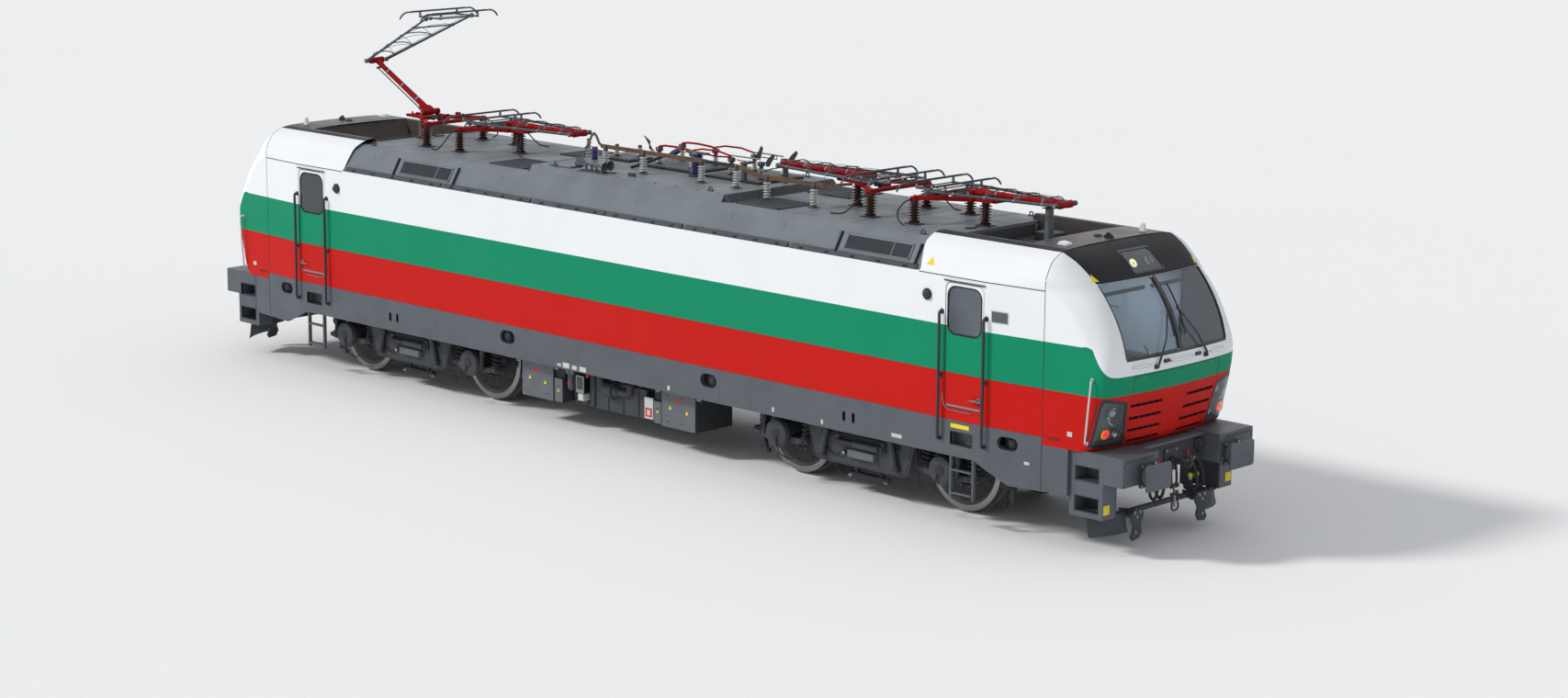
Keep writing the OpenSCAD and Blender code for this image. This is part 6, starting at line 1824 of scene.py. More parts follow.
boxes = Shape()
y0, y1, z1 = 0.56, 1.300, 0.99
for x0, x1, z0 in ((-2.04, -1.34, 0.33), (0.96, 1.655, 0.345)):
    boxes.box((x0, y0, z0), (x1, y1 - 0.004, z1), "slat", 0.006)
    boxes.box((x0 + 0.006, y1 - 0.02, z0 + 0.006), (x1 - 0.006, y1, z1 - 0.10), "box", 0.004)
    for x in (x0 + 0.13, x0 + 0.42 if x0 > 0 else x0 + 0.55):
        for z in (z0 + 0.09, z1 - 0.18):
            boxes.lathe([(-0.001, 0.013), (0.003, 0.012), (0.003, 0.006), (0.001, 0.0)], (x, y1, z), Y,
                        "slat", 12)
    # Hinge bar with its teeth, and the toggle clamps at both ends
    boxes.box((x0, y1 - 0.01, z1 - 0.098), (x1, y1 + 0.006, z1 - 0.078), "steel", 0.003)
    for i in range(22):
        x = x0 + 0.02 + (x1 - x0 - 0.04) * i / 21
        boxes.slab([(x - 0.009, z1 - 0.098), (x + 0.009, z1 - 0.098), (x, z1 - 0.128)], (0, y1, 0),
                   (0, y1 + 0.005, 0), "slat", 0.0005)
    for x in (x0 - 0.07, x1 + 0.07):
        boxes.box((x - 0.065, y1 - 0.05, z1 - 0.10), (x + 0.065, y1 + 0.004, z1 - 0.082), "steel", 0.003)
        for dx in (-0.038, 0.0, 0.038):
            boxes.tube([(x + dx, y1 - 0.002, z1 - 0.09), (x + dx, y1 + 0.004, z1 - 0.125),
                        (x + dx * 0.6, y1 - 0.004, z1 - 0.155)], 0.008, "steel", 8)
        boxes.rod((x - 0.045, y1 - 0.004, z1 - 0.158), (x + 0.045, y1 - 0.004, z1 - 0.158), 0.010, "steel",
                  10)
    r = 0.030
    for u, z in ((0.18, 0.30), (0.52, 0.27)):
        tri = [(x0 + u - r, z0 + z - r), (x0 + u + r, z0 + z - r), (x0 + u, z0 + z + r)]
        boxes.slab(tri, (0, y1, 0), (0, y1 + 0.0015, 0), "yellow", 0.0004)
    boxes.lathe([(0, 0.044), (0.0014, 0.043), (0.0014, 0.0)], (x0 + 0.33, y1, z0 + 0.42), Y, "plate", 28)
    boxes.lathe([(0.001, 0.044), (0.0024, 0.043), (0.0024, 0.034)], (x0 + 0.33, y1, z0 + 0.42), Y,
                "red_signal", 28)
for x0, x1, z0, z1 in ((-1.333, -1.150, 0.335, 0.700), (0.787, 0.950, 0.360, 0.690)):
    boxes.box((x0, 0.90, z0), (x1, 1.286, z1), "slat", 0.006)
    boxes.box((x0 + 0.006, 1.27, z0 + 0.006), (x1 - 0.006, 1.290, z1 - 0.006), "box", 0.004)
    xm = (x0 + x1) / 2
    boxes.lathe([(0, 0.014), (0.003, 0.012)], (xm, 1.290, z1 - 0.12), Y, "slat", 12)
    boxes.slab([(xm - 0.026, z0 + 0.16), (xm + 0.026, z0 + 0.16), (xm, z0 + 0.21)], (0, 1.290, 0),
               (0, 1.2915, 0), "yellow", 0.0004)
    boxes.box((x0 - 0.01, 1.20, z1), (x1 + 0.01, 1.26, z1 + 0.25), "slat", 0.006)
boxes.box((0.590, 1.08, 0.380), (0.787, 1.282, 0.720), "slat", 0.006)
boxes.box((0.598, 1.27, 0.40), (0.779, 1.290, 0.712), "plate", 0.004)
boxes.box((0.620, 1.288, 0.43), (0.757, 1.292, 0.56), "red_signal", 0.001)
boxes.box((0.655, 1.2915, 0.455), (0.72, 1.293, 0.535), "plate", 0.0005)
# Pipe dome, dials and small gear between the boxes
boxes.lathe([(0, 0.055), (0.26, 0.055), (0.30, 0.045), (0.33, 0.0)], (-1.03, 1.22, 0.86), -Z, "skirt", 24)
boxes.lathe([(0, 0.062), (0.02, 0.062)], (-1.03, 1.22, 0.66), -Z, "red_signal", 24)
boxes.box((-1.12, 1.10, 0.78), (-0.94, 1.27, 0.92), "box", 0.012)
boxes.box((-0.86, 1.12, 0.55), (-0.70, 1.278, 0.80), "dial", 0.010)
boxes.box((-0.865, 1.272, 0.545), (-0.695, 1.286, 0.805), "steel", 0.008)
boxes.box((-0.845, 1.280, 0.60), (-0.715, 1.290, 0.785), "dial", 0.004)
boxes.box((-0.825, 1.13, 0.43), (-0.71, 1.282, 0.535), "plate", 0.006)
boxes.tube([(-0.90, 1.27, 0.90), (-0.90, 1.275, 0.70), (-0.88, 1.27, 0.46), (-0.80, 1.24, 0.38)], 0.012,
           "cable", 8)
boxes.box((-0.96, 1.26, 0.84), (-0.92, 1.292, 0.89), "red_signal", 0.004)
boxes.box((-0.64, 1.26, 0.80), (-0.60, 1.292, 0.85), "red_signal", 0.004)
piece(boxes.copies(IDENTITY, SIDE), "underfloor_lockers", replaces=["underfloor_boxes"])

tank = Shape()
tank.box((-1.08, -1.075, 0.322), (0.52, 1.075, 1.328), "bogie", 0.02)
half = Shape()
for i in range(8):
    x = -0.98 + 0.19 * i
    half.box((x - 0.045, 1.07, 0.352), (x + 0.045, 1.146, 0.90), "bogie", 0.012)
half.box((-0.66, 1.10, 0.35), (-0.56, 1.20, 0.95), "bogie", 0.010)
half.box((-0.58, 1.08, 0.34), (0.52, 1.17, 0.78), "bogie", 0.010)
for x in (-0.30, 0.02, 0.34):
    half.box((x, 1.168, 0.345), (x + 0.022, 1.182, 0.775), "bogie", 0.004)
half.lathe([(-0.20, 0.07), (-0.18, 0.105), (-0.03, 0.108), (-0.02, 0.13), (0.02, 0.13), (0.03, 0.095),
            (0.10, 0.090), (0.12, 0.06), (0.24, 0.058)], (-0.14, 1.185, 0.665), X, "bogie", 28)
for i in range(8):
    a = 2 * math.pi * i / 8
    half.bolt((-0.122, 1.185 + 0.112 * math.cos(a), 0.665 + 0.112 * math.sin(a)), X, 0.009, "iron")
half.tube([(0.06, 1.19, 0.665), (0.14, 1.19, 0.665), (0.19, 1.19, 0.69), (0.21, 1.19, 0.75),
           (0.21, 1.18, 0.95)], 0.056, "bogie", 18)
half.tube([(-0.32, 1.19, 0.70), (-0.40, 1.19, 0.74), (-0.43, 1.19, 0.82), (-0.43, 1.18, 0.95)], 0.062,
          "bogie", 18)
half.lathe([(0, 0.082), (0.02, 0.082)], (0.21, 1.19, 0.80), Z, "iron", 24)
half.lathe([(0, 0.088), (0.02, 0.088)], (-0.43, 1.19, 0.86), Z, "iron", 24)
tank.join(half)
tank.join(half, SIDE)
piece(tank, "transformer_tank", replaces=["transformer"])

steps = Shape()
x = DOOR[0] - 0.0195
for dx in (-0.19, 0.19):
    steps.box((x + dx - 0.018, -1.49, 0.366), (x + dx + 0.018, -1.436, 0.95), "skirt", 0.005)
for z in (0.429, 0.736):
    steps.box((x - 0.175, -1.500, z - 0.014), (x + 0.175, -1.436, z + 0.012), "skirt", 0.004)
    for i in range(11):
        steps.box((x - 0.165 + 0.031 * i, -1.498, z + 0.008), (x - 0.155 + 0.031 * i, -1.440, z + 0.0155),
                  "steel", 0.001)
for dx in (-0.19, 0.19):
    for z in (0.90, 0.94):
        steps.bolt((x + dx, -1.49, z), (0, -1, 0), 0.008, "steel")
piece(steps.copies(*FOUR), "step_ladders", replaces=["ladders"])

# ---- Ends: step boxes, buffers, couplings, hoses, rail guards ----

# The step box: its back, the front of its leg, its front, its outer face, its top
CORNER_X, LEG_X, BOX_FRONT, CORNER_W, BOX_TOP = 8.447, 8.98, 9.290, 1.356, 1.303
HOLE_X = (8.53, 8.92)
BOX_FOOT = 0.46


end = Shape()  # One corner, on the -Y side of cab 2
# Tread plate on the box, its raised studs, and the vent slots in the front
end.box((8.46, -1.350, 1.303), (9.284, -0.648, 1.3085), "skirt", 0.002)
for i in range(20):
    for j in range(16):
        x, y = 8.49 + 0.041 * i + (0.020 if j % 2 else 0.0), -1.33 + 0.043 * j
        if x < 9.27:
            d = 0.010 if (i + j) % 2 else -0.010
            end.add([(x - 0.012, y - 0.003 - d / 2, 1.3086), (x, y - 0.005, 1.3108),
                     (x + 0.012, y + 0.003 + d / 2, 1.3086),
                     (x, y + 0.005, 1.3108)], [[0, 1, 2, 3]], "steel", False)
for i in range(11):
    y = -1.30 + 0.052 * i
    end.box((9.288, y, 1.235), (9.2925, y + 0.018, 1.275), "slat", 0.001)
cx, h = 8.72, 0.187
for z in (1.020, 0.632):
    ring(end, rounded(0.392, h + 0.015, 0.018, 4, cx, z), rounded(0.380, h, 0.012, 4, cx, z),
         lambda u, v, lift: Vector((u, -CORNER_W - lift, v)), "skirt_dark", 0.002, 0.03)
    for i in range(8):
        end.box((8.545 + 0.045 * i, -1.345, z - h / 2 - 0.001), (8.557 + 0.045 * i, -1.24, z - h / 2 + 0.005),
                "steel", 0.001)
end.box((8.9795, -1.335, 0.53), (8.9825, -1.215, 0.65), "yellow", 0.001)
end.box((9.2895, -0.78, 0.955), (9.2925, -0.70, 0.990), "yellow", 0.001)
for y in (-1.33, -0.67):
    for z in (0.96, 1.20):
        end.bolt((9.290, y, z), X, 0.009, "skirt_dark")
# Buffer: base plate, housing, ring, plunger and plate
yb, zb = -0.875, 1.040
end.slab(rounded(0.330, 0.310, 0.030, 4, yb, zb), (9.288, 0, 0), (9.316, 0, 0), "skirt_dark", 0.003)
for sy in (-1, 1):
    for sz in (-1, 1):
        end.bolt((9.316, yb + sy * 0.130, zb + sz * 0.120), X, 0.017, "steel")
end.lathe([(0.026, 0.135), (0.040, 0.128), (0.10, 0.122), (0.108, 0.129), (0.126, 0.129), (0.130, 0.122),
           (0.134, 0.104)], (9.29, yb, zb), X, "skirt", 40)
end.lathe([(0.130, 0.104), (0.150, 0.100), (0.158, 0.100), (0.162, 0.112), (0.178, 0.130), (0.182, 0.130)],
          (9.29, yb, zb), X, "skirt", 40)
plate = rounded(0.500, 0.345, 0.048, 8, 0, 0)
rows = []
for x, f in ((9.455, 0.93), (9.462, 0.985), (9.470, 1.0), (9.480, 1.0), (9.4865, 0.985), (9.489, 0.94),
             (9.4898, 0.6), (9.490, 0.0)):
    rows.append([Vector((x, yb + u * f, zb + v * f)) for u,
                 v in plate] + [Vector((x, yb + plate[0][0] * f, zb + plate[0][1] * f))])
end.sheet(rows, "skirt")
end.add([Vector((9.455, yb + u * 0.93, zb + v * 0.93)) for u, v in plate], [list(range(len(plate)))], "skirt",
        False)
for r in (0.05, 0.09, 0.13):
    end.lathe([(0, r), (0.0008, r + 0.0015), (0, r + 0.003)], (9.4890, yb, zb), X, "iron", 40, closed=True)
piece(end.copies(*FOUR), "corner_fittings", replaces=["buffers"])

beam_parts = Shape()  # The middle of one end
beam_parts.box((8.972, -0.60, 0.955), (8.984, 0.60, 1.285), "skirt_dark", 0.003)
beam_parts.slab(rounded(0.26, 0.30, 0.03, 4, 0, 1.04), (8.98, 0, 0), (9.005, 0, 0), "skirt_dark", 0.003)
for sy in (-1, 1):
    for sz in (-1, 1):
        beam_parts.bolt((9.005, sy * 0.100, 1.04 + sz * 0.120), X, 0.014, "steel")
beam_parts.box((8.96, -0.66, 1.285), (9.03, 0.66, 1.297), "skirt", 0.003)
beam_parts.box((9.02, -0.66, 1.262), (9.03, 0.66, 1.29), "skirt", 0.003)
# Draw hook: shank and a curved jaw
jaw = [(8.98, 1.000), (9.16, 0.995), (9.20, 0.970), (9.25, 0.963), (9.305, 0.980), (9.335, 1.020),
       (9.342, 1.075), (9.325, 1.125), (9.300, 1.150), (9.280, 1.145), (9.283, 1.110), (9.290, 1.075),
       (9.275, 1.045), (9.245, 1.035), (9.215, 1.050), (9.190, 1.080), (8.98, 1.082)]
beam_parts.slab(jaw, (0, -0.022, 0), (0, 0.022, 0), "iron", 0.004)
# Screw coupling hanging from the shank
for k in (-1, 1):
    beam_parts.tube(spline([(9.045, k * 0.045, 1.04), (9.05, k * 0.052, 0.93), (9.058, k * 0.056, 0.82),
                            (9.062, k * 0.050, 0.71)]), 0.0165, "iron", 12)
    beam_parts.lathe([(-0.016, 0.034), (0.016, 0.034)], (9.045, k * 0.045, 1.04), Y, "iron", 18)
    beam_parts.lathe([(-0.018, 0.033), (0.018, 0.033)], (9.062, k * 0.052, 0.705), Y, "iron", 18)
beam_parts.rod((9.045, -0.07, 1.04), (9.045, 0.07, 1.04), 0.021, "iron")
beam_parts.rod((9.062, -0.082, 0.705), (9.062, 0.082, 0.705), 0.024, "iron")
screw = [(0.0, 0.015)]
for i in range(16):
    screw += [(0.004 + i * 0.0165, 0.0145), (0.012 + i * 0.0165, 0.0185)]
screw.append((0.275, 0.015))
beam_parts.lathe(screw, (9.062, 0, 0.705), Vector((0.08, 0, -1)), "steel", 14)
beam_parts.rod((9.075, -0.075, 0.60), (9.075, 0.075, 0.60), 0.020, "iron")
beam_parts.tube(spline([(9.062, 0.0, 0.655), (9.095, 0.0, 0.640), (9.13, 0.0, 0.655)]), 0.008, "iron", 8)
beam_parts.tube(spline([(9.084, -0.060, 0.48), (9.088, -0.070, 0.43), (9.088, -0.045, 0.395),
                        (9.088, 0.0, 0.385), (9.088, 0.045, 0.395), (9.088, 0.070, 0.43),
                        (9.084, 0.060, 0.48)]), 0.013, "iron",
                        10)
for k in (-1, 1):
    beam_parts.tube([(9.075, k * 0.060, 0.60), (9.084, k * 0.060, 0.48)], 0.013, "iron", 10)
# Air pipes: cocks with red handles and hoses hooked up beside them
for y, r, handle in ((-0.430, 0.019, True), (-0.300, 0.021, True), (0.300, 0.021, True),
                     (0.430, 0.019, False)):
    beam_parts.rod((8.97, y, 1.00), (9.045, y, 1.00), 0.022, "iron", 16)
    beam_parts.lathe([(0, 0.030), (0.045, 0.030), (0.05, 0.024)], (9.02, y, 1.00), X, "steel", 18)
    if handle:
        beam_parts.box((9.03, y - 0.010, 1.02), (9.052, y + 0.010, 1.13), "red_signal", 0.004)
        beam_parts.box((9.026, y - 0.016, 1.015), (9.056, y + 0.016, 1.035), "red_signal", 0.004)
    lean = 0.02 if y > 0 else -0.02
    path = spline([(9.06, y, 1.00), (9.10, y, 0.985), (9.145, y + lean, 0.90), (9.165, y + lean * 2, 0.78),
                   (9.155, y + lean * 3, 0.67), (9.115, y + lean * 3, 0.615), (9.070, y + lean * 3, 0.64),
                   (9.052, y + lean * 3, 0.70), (9.047, y + lean * 3, 0.755)], 7)
    beam_parts.tube(path, r, "hose", 14)
    for i in (2, 4, len(path) - 5, len(path) - 3):
        d = (path[i + 1] - path[i - 1]).normalized()
        beam_parts.tube([path[i] - d * 0.006, path[i] + d * 0.006], r + 0.004, "steel", 16)
    top = path[-1]
    beam_parts.box(top - Vector((0.026, 0.020, 0.005)), top + Vector((0.030, 0.020, 0.050)),
                   "red_signal" if y < 0 else "yellow", 0.008)
    beam_parts.box(top + Vector((-0.05, -0.012, 0.020)), top + Vector((-0.02, 0.012, 0.040)), "iron", 0.004)
for y in (-0.55, 0.56):
    beam_parts.slab(rounded(0.13, 0.13, 0.02, 4, y, 1.16), (8.98, 0, 0), (9.03, 0, 0), "skirt_dark", 0.004)
    beam_parts.lathe([(0, 0.048), (0.03, 0.048), (0.04, 0.040), (0.045, 0.0)], (9.03, y, 1.16), X, "iron", 24)
    beam_parts.tube(spline([(9.0, y, 1.10), (9.06, y * 0.99, 1.02), (9.07, y * 0.95, 0.90),
                            (9.02, y * 0.9, 0.86), (8.97, y * 0.88, 0.95)]), 0.013, "cable", 10)
piece(beam_parts.copies(*BOTH_ENDS), "couplings_and_hoses",
      replaces=["screw_couplings", "brake_hoses"])

guard = Shape()  # The rail guards below one end
for k in (-1, 1):
    # A curved blade under the step box, bent forward at its foot
    rows = []
    for i in range(13):
        t = i / 12
        y = 0.80 + 0.53 * t
        x = 8.93 - 0.20 * t * t
        foot = 0.205 + 0.02 * (1 - t)
        rows.append([Vector((x - 0.03, k * y, 0.462)), Vector((x - 0.005, k * y, 0.36)),
                     Vector((x + 0.010, k * y, 0.27)), Vector((x + 0.035, k * y, foot)),
                     Vector((x + 0.027, k * y, foot - 0.004)), Vector((x - 0.004, k * y, 0.27)),
                     Vector((x - 0.019, k * y, 0.36)), Vector((x - 0.044, k * y, 0.462)),
                     Vector((x - 0.03, k * y, 0.462))])
    guard.sheet(rows, "bogie")
    for row in (rows[0], rows[-1]):
        guard.add(row[:8], [list(range(8))], "bogie", False)
    # The bolted plate further in
    outline = [(0.58, 0.50), (0.74, 0.50), (0.80, 0.44), (0.79, 0.36), (0.74, 0.30), (0.75, 0.24),
               (0.80, 0.15), (0.76, 0.10), (0.62, 0.12), (0.57, 0.20), (0.60, 0.30), (0.55, 0.38),
               (0.54, 0.45)]
    guard.slab([(k * y, z) for y, z in outline], (8.985, 0, 0), (9.010, 0, 0), "skirt_dark", 0.004)
    for y, z in ((0.62, 0.46), (0.73, 0.46), (0.68, 0.40), (0.70, 0.20)):
        guard.bolt((9.010, k * y, z), X, 0.016, "steel")
    guard.slab([(8.70, 0.468), (9.00, 0.50), (9.00, 0.40), (8.86, 0.36), (8.72, 0.40)], (0, k * 0.655, 0),
               (0, k * 0.675, 0), "bogie", 0.003)
    guard.slab([(8.46, 0.468), (8.90, 0.468), (8.88, 0.40), (8.60, 0.36), (8.48, 0.39)], (0, k * 0.985, 0),
               (0, k * 1.00, 0), "bogie", 0.003)
guard.box((8.80, -1.20, 0.405), (8.86, 1.20, 0.468), "bogie", 0.008)
for y in (-0.90, -0.50, 0.50, 0.90):
    guard.bolt((8.86, y, 0.437), X, 0.012, "steel")
piece(guard.copies(*BOTH_ENDS), "rail_guards", replaces=["obstacle_deflectors"])

beams = Shape()  # Step boxes and the beam between them, at one end
for k in (-1, 1):
    def block(x0, x1, y0, y1, z0, z1, mat="skirt"):
        """A box on the side k."""
        beams.box((x0, min(k * y0, k * y1), z0), (x1, max(k * y0, k * y1), z1), mat, 0.006)

    block(CORNER_X, BOX_FRONT, 0.64, 1.10, 0.93, BOX_TOP)
    block(8.91, BOX_FRONT, 1.09, CORNER_W, 0.93, BOX_TOP)
    block(*HOLE_X, 1.09, CORNER_W, 1.11, BOX_TOP)
    block(CORNER_X, 8.535, 1.09, CORNER_W, BOX_FOOT, BOX_TOP)
    block(8.91, LEG_X, 1.09, CORNER_W, BOX_FOOT, 0.94)
    block(*HOLE_X, 1.09, CORNER_W, 0.73, 0.93)
    block(*HOLE_X, 1.09, CORNER_W, BOX_FOOT, 0.535)
    block(CORNER_X, LEG_X, 1.07, 1.10, BOX_FOOT, 0.94, "skirt_dark")
    block(CORNER_X, 8.60, 0.936, 1.09, BOX_FOOT, 0.94, "skirt_dark")
beams.box((CORNER_X, -0.65, 0.95), (LEG_X, 0.65, 1.296), "skirt", 0.006)
for y in (-0.35, 0.35):
    beams.box((8.50, y - 0.20, 1.290), (8.93, y + 0.20, 1.2985), "skirt_dark", 0.002)
piece(beams.copies(*BOTH_ENDS), "end_beams", replaces=["buffer_beams"])

floor_gear = Shape()
for y in (-0.55, -0.35, 0.35, 0.55):
    floor_gear.rod((2.3, y, 1.24), (7.9, y, 1.24), 0.022, "iron", 10)
floor_gear.box((7.55, -0.50, 0.98), (7.95, 0.50, 1.30), "iron", 0.02)
for y in (0.62, -1.18):
    floor_gear.rod((7.70, y, 1.02), (7.70, y + 0.56, 1.02), 0.13, "bogie", 24)
piece(floor_gear.copies(*BOTH_ENDS), "floor_gear")

# ---- Cab interiors ----

FLOOR, CEILING = 1.400, 3.262

cab = Shape()  # Cab 2; the other is its half turn
cab.box((6.0, -1.43, FLOOR), (8.30, 1.43, FLOOR + 0.012), "wood", 0.002)
for k in (-1, 1):
    for x0, x1 in ((6.004, 6.44), (7.135, 7.60), (7.60, 8.03)):
        y = plan_w((x0 + x1) / 2) - 0.075
        cab.box((x0, k * (y - 0.012), FLOOR), (x1, k * y, CEILING), "lining", 0.004)
    cab.box((7.15, k * 1.30, 1.95), (8.00, k * 1.395, 2.00), "lining_dark", 0.010)
cab.box((6.0, -1.40, CEILING), (8.02, 1.40, 3.285), "lining", 0.004)
cab.box((6.35, -0.20, 3.245), (7.55, 0.20, 3.265), "plate", 0.006)
# Bulkhead with its door, lockers and panels
cab.box((6.001, -0.36, FLOOR + 0.02), (6.030, 0.36, 3.18), "lining_dark", 0.006)
cab.box((6.028, -0.32, FLOOR + 0.06), (6.042, 0.32, 3.14), "lining", 0.006)
cab.box((6.040, 0.22, 2.30), (6.075, 0.27, 2.45), "steel", 0.006)
for y0, y1 in ((-1.36, -0.92), (-0.90, -0.42), (0.42, 0.88), (0.90, 1.36)):
    cab.box((6.001, y0, FLOOR + 0.02), (6.16, y1, 3.10), "lining", 0.008)
    cab.box((6.158, y0 + 0.02, FLOOR + 0.06), (6.168, y1 - 0.02, 2.30), "lining_dark", 0.004)
    cab.box((6.158, y0 + 0.02, 2.34), (6.168, y1 - 0.02, 3.06), "lining_dark", 0.004)
    cab.box((6.166, y1 - 0.08, 2.20), (6.176, y1 - 0.05, 2.28), "steel", 0.002)
# Sunblinds rolled up above the windscreens
blind_x = nose_x(0.92, 3.24) - 0.14
for k in (-1, 1):
    cab.rod((blind_x, k * 0.08, 3.22), (blind_x, k * 0.92, 3.22), 0.026, "lining_dark", 16)

desk = Shape()
dx = 8.14
for y0, y1 in ((-1.16, -0.80), (0.12, 1.16)):
    desk.slab([(dx, FLOOR), (dx + 0.50, FLOOR), (dx + 0.74, 2.20), (dx + 0.70, 2.30), (dx + 0.20, 2.20),
               (dx, 2.10)], (0, y0, 0), (0, y1, 0), "desk", 0.010)
desk.slab([(dx + 0.30, FLOOR), (dx + 0.50, FLOOR), (dx + 0.74, 2.20), (dx + 0.70, 2.28), (dx + 0.34, 2.20)],
          (0, -0.80, 0), (0, 0.12, 0), "lining_dark", 0.010)
# Table top, raised at the back, with a padded lip towards the driver
desk.slab([(dx - 0.035, 2.132), (dx - 0.040, 2.170), (dx - 0.02, 2.182), (dx + 0.30, 2.250),
           (dx + 0.62, 2.392), (dx + 0.70, 2.370), (dx + 0.74, 2.32), (dx + 0.40, 2.215),
           (dx, 2.135)], (0, -1.175, 0), (0, 1.175, 0), "lining_dark",
           0.008)
slope = Vector((0.32, 0, 0.142)).normalized()
face = Vector((-slope.z, 0, slope.x))
for y0, y1, u0, u1, mat in ((-0.74, -0.46, 0.05, 0.27, "dial"), (-0.43, -0.17, 0.05, 0.27, "dial"),
                            (-0.14, 0.08, 0.05, 0.25, "dial"), (-1.05, -0.80, 0.08, 0.26, "dial"),
                            (0.35, 0.75, 0.06, 0.24, "dial"), (0.82, 1.08, 0.06, 0.22, "lining")):
    o = Vector((dx + 0.30, 0, 2.252))
    pts = []
    for lift in (0.0, 0.014):
        for u, y in ((u0, y0), (u1, y0), (u1, y1), (u0, y1)):
            pts.append(o + slope * u + face * lift + Y * y)
    desk.add(pts, [[4, 5, 6, 7], [0, 1, 5, 4], [1, 2, 6, 5], [2, 3, 7, 6], [3, 0, 4, 7]], mat, False)
for i in range(12):
    y = -0.74 + 0.068 * i
    o = Vector((dx + 0.16, y, 2.222))
    desk.lathe([(0, 0.012), (0.010, 0.011), (0.012, 0.006)], o, face,
               ("red_signal", "yellow", "plate", "black")[i % 4], 12)
for y, h in ((-0.62, 0.13), (-0.05, 0.10), (-0.86, 0.09)):
    desk.lathe([(0, 0.035), (0.012, 0.035), (0.018, 0.016), (h, 0.013), (h + 0.01, 0.024), (h + 0.04, 0.022),
                (h + 0.048, 0.010)], (dx + 0.10, y, 2.20), Z, "black", 18)
desk.tube(spline([(dx + 0.28, 0.22, 2.25), (dx + 0.26, 0.22, 2.34), (dx + 0.20, 0.23, 2.38)]), 0.008, "black",
          8)
desk.box((dx + 0.18, 0.17, 2.205), (dx + 0.26, 0.28, 2.225), "black", 0.006)
desk.box((dx + 0.10, -0.62, FLOOR + 0.01), (dx + 0.42, -0.08, FLOOR + 0.09), "iron", 0.012)
piece(cab.copies(*BOTH_ENDS), "cab_linings")
piece(desk.copies(*BOTH_ENDS), "driver_consoles", replaces=["driver_desks"])

SEAT_X = 7.42
SEAT_Y = (-0.35, 0.62)


def cushion(centre, size, lean, crown):
    """A crowned, rounded pad, its face turned forward by lean, with a piped rim and stitched channels."""
    s = Shape()
    w, d, h = size
    n = 24
    rot = Matrix.Rotation(lean, 3, "Y")

    def at(u, v, top):
        r = (abs(u) ** 3.2 + abs(v) ** 3.2) ** (1 / 3.2)
        rim = max(abs(u), abs(v))
        k = rim / r if r > 1e-6 else 1.0
        pull = 1 - 0.035 * (1 - (u * v) ** 2) * rim**6  # The sides pull in between the corners
        inner = max(0.0, 1 - rim**4)
        dome = crown * max(0.0, 1 - u * u) ** 0.6 * max(0.0, 1 - v * v) ** 0.6
        channel = math.exp(-(((abs(v) - 0.55) / 0.05) ** 2)) + 0.6 * math.exp(-(((u - 0.1) / 0.045) ** 2))
        z = h / 2 * inner**0.45 + dome - 0.009 * channel * inner if top else -h / 2 * inner**0.45
        return Vector(centre) + rot @ Vector((u * k * pull * d / 2, v * k * pull * w / 2, z))

    for top in (True, False):
        s.sheet([[at(-1 + 2 * i / n, -1 + 2 * j / n, top) for j in range(n + 1)] for i in range(n + 1)],
                "fabric")
    loop = []
    for i in range(64):
        a = 2 * math.pi * i / 64
        m = max(abs(math.cos(a)), abs(math.sin(a)))
        loop.append(at(math.cos(a) / m, math.sin(a) / m, True))
    s.tube(loop, 0.0055, "gasket", 6, closed=True)
    return s


frame_parts = Shape()
for y in SEAT_Y:
    frame_parts.lathe([(0, 0.19), (0.010, 0.19), (0.024, 0.16), (0.03, 0.06)], (SEAT_X, y, FLOOR + 0.012), Z,
                      "black", 32)
    frame_parts.lathe([(0.02, 0.052), (0.24, 0.052), (0.25, 0.040), (0.43, 0.040)], (SEAT_X, y, FLOOR), Z,
                      "steel", 24)
    for i in range(7):
        frame_parts.lathe([(0, 0.062), (0.014, 0.070), (0.028, 0.062)], (SEAT_X, y, FLOOR + 0.20 + 0.03 * i),
                          Z, "gasket", 24)
    frame_parts.box((SEAT_X - 0.20, y - 0.20, FLOOR + 0.43), (SEAT_X + 0.20, y + 0.20, FLOOR + 0.468),
                    "black", 0.012)
    frame_parts.slab([(SEAT_X - 0.23, FLOOR + 0.45), (SEAT_X - 0.19, FLOOR + 0.45),
                      (SEAT_X - 0.255, FLOOR + 1.16),
                      (SEAT_X - 0.285, FLOOR + 1.16)], (0, y - 0.17, 0), (0, y + 0.17, 0), "black", 0.008)
    for k in (-1, 1):
        frame_parts.box((SEAT_X - 0.20, y + k * 0.235, FLOOR + 0.74),
                        (SEAT_X + 0.10, y + k * 0.285, FLOOR + 0.775), "black", 0.014)
        frame_parts.rod((SEAT_X - 0.21, y + k * 0.20, FLOOR + 0.755),
                        (SEAT_X - 0.21, y + k * 0.26, FLOOR + 0.755), 0.018, "steel")
piece(frame_parts.copies(*BOTH_ENDS), "seat_frames", replaces=["driver_seats"])
PADS = [  # Name, centre from the seat's own middle and the floor, size, lean, crown
    ("seat", (0.010, 0.515), (0.46, 0.46, 0.085), 0.0, 0.020),
    ("back", (-0.172, 0.815), (0.45, 0.50, 0.080), math.radians(84), 0.018),
    ("head", (-0.212, 1.125), (0.27, 0.115, 0.066), math.radians(84), 0.010),
]
for n, turn in ((1, TURN), (2, IDENTITY)):
    for side_name, y in zip(("left", "right"), SEAT_Y):
        for name, (ox, oz), size, lean, crown in PADS:
            pad_shape = cushion((SEAT_X + ox, y, FLOOR + oz), size, lean, crown)
            pad = piece(pad_shape.copies(turn), f"{name}_pad_{n}_{side_name}")
            bm = bmesh.new()
            bm.from_mesh(pad.data)
            bmesh.ops.remove_doubles(bm, verts=bm.verts, dist=0.0004)
            bm.to_mesh(pad.data)
            bm.free()

# ---- Materials of the CAD nodes, carried over or replaced ----

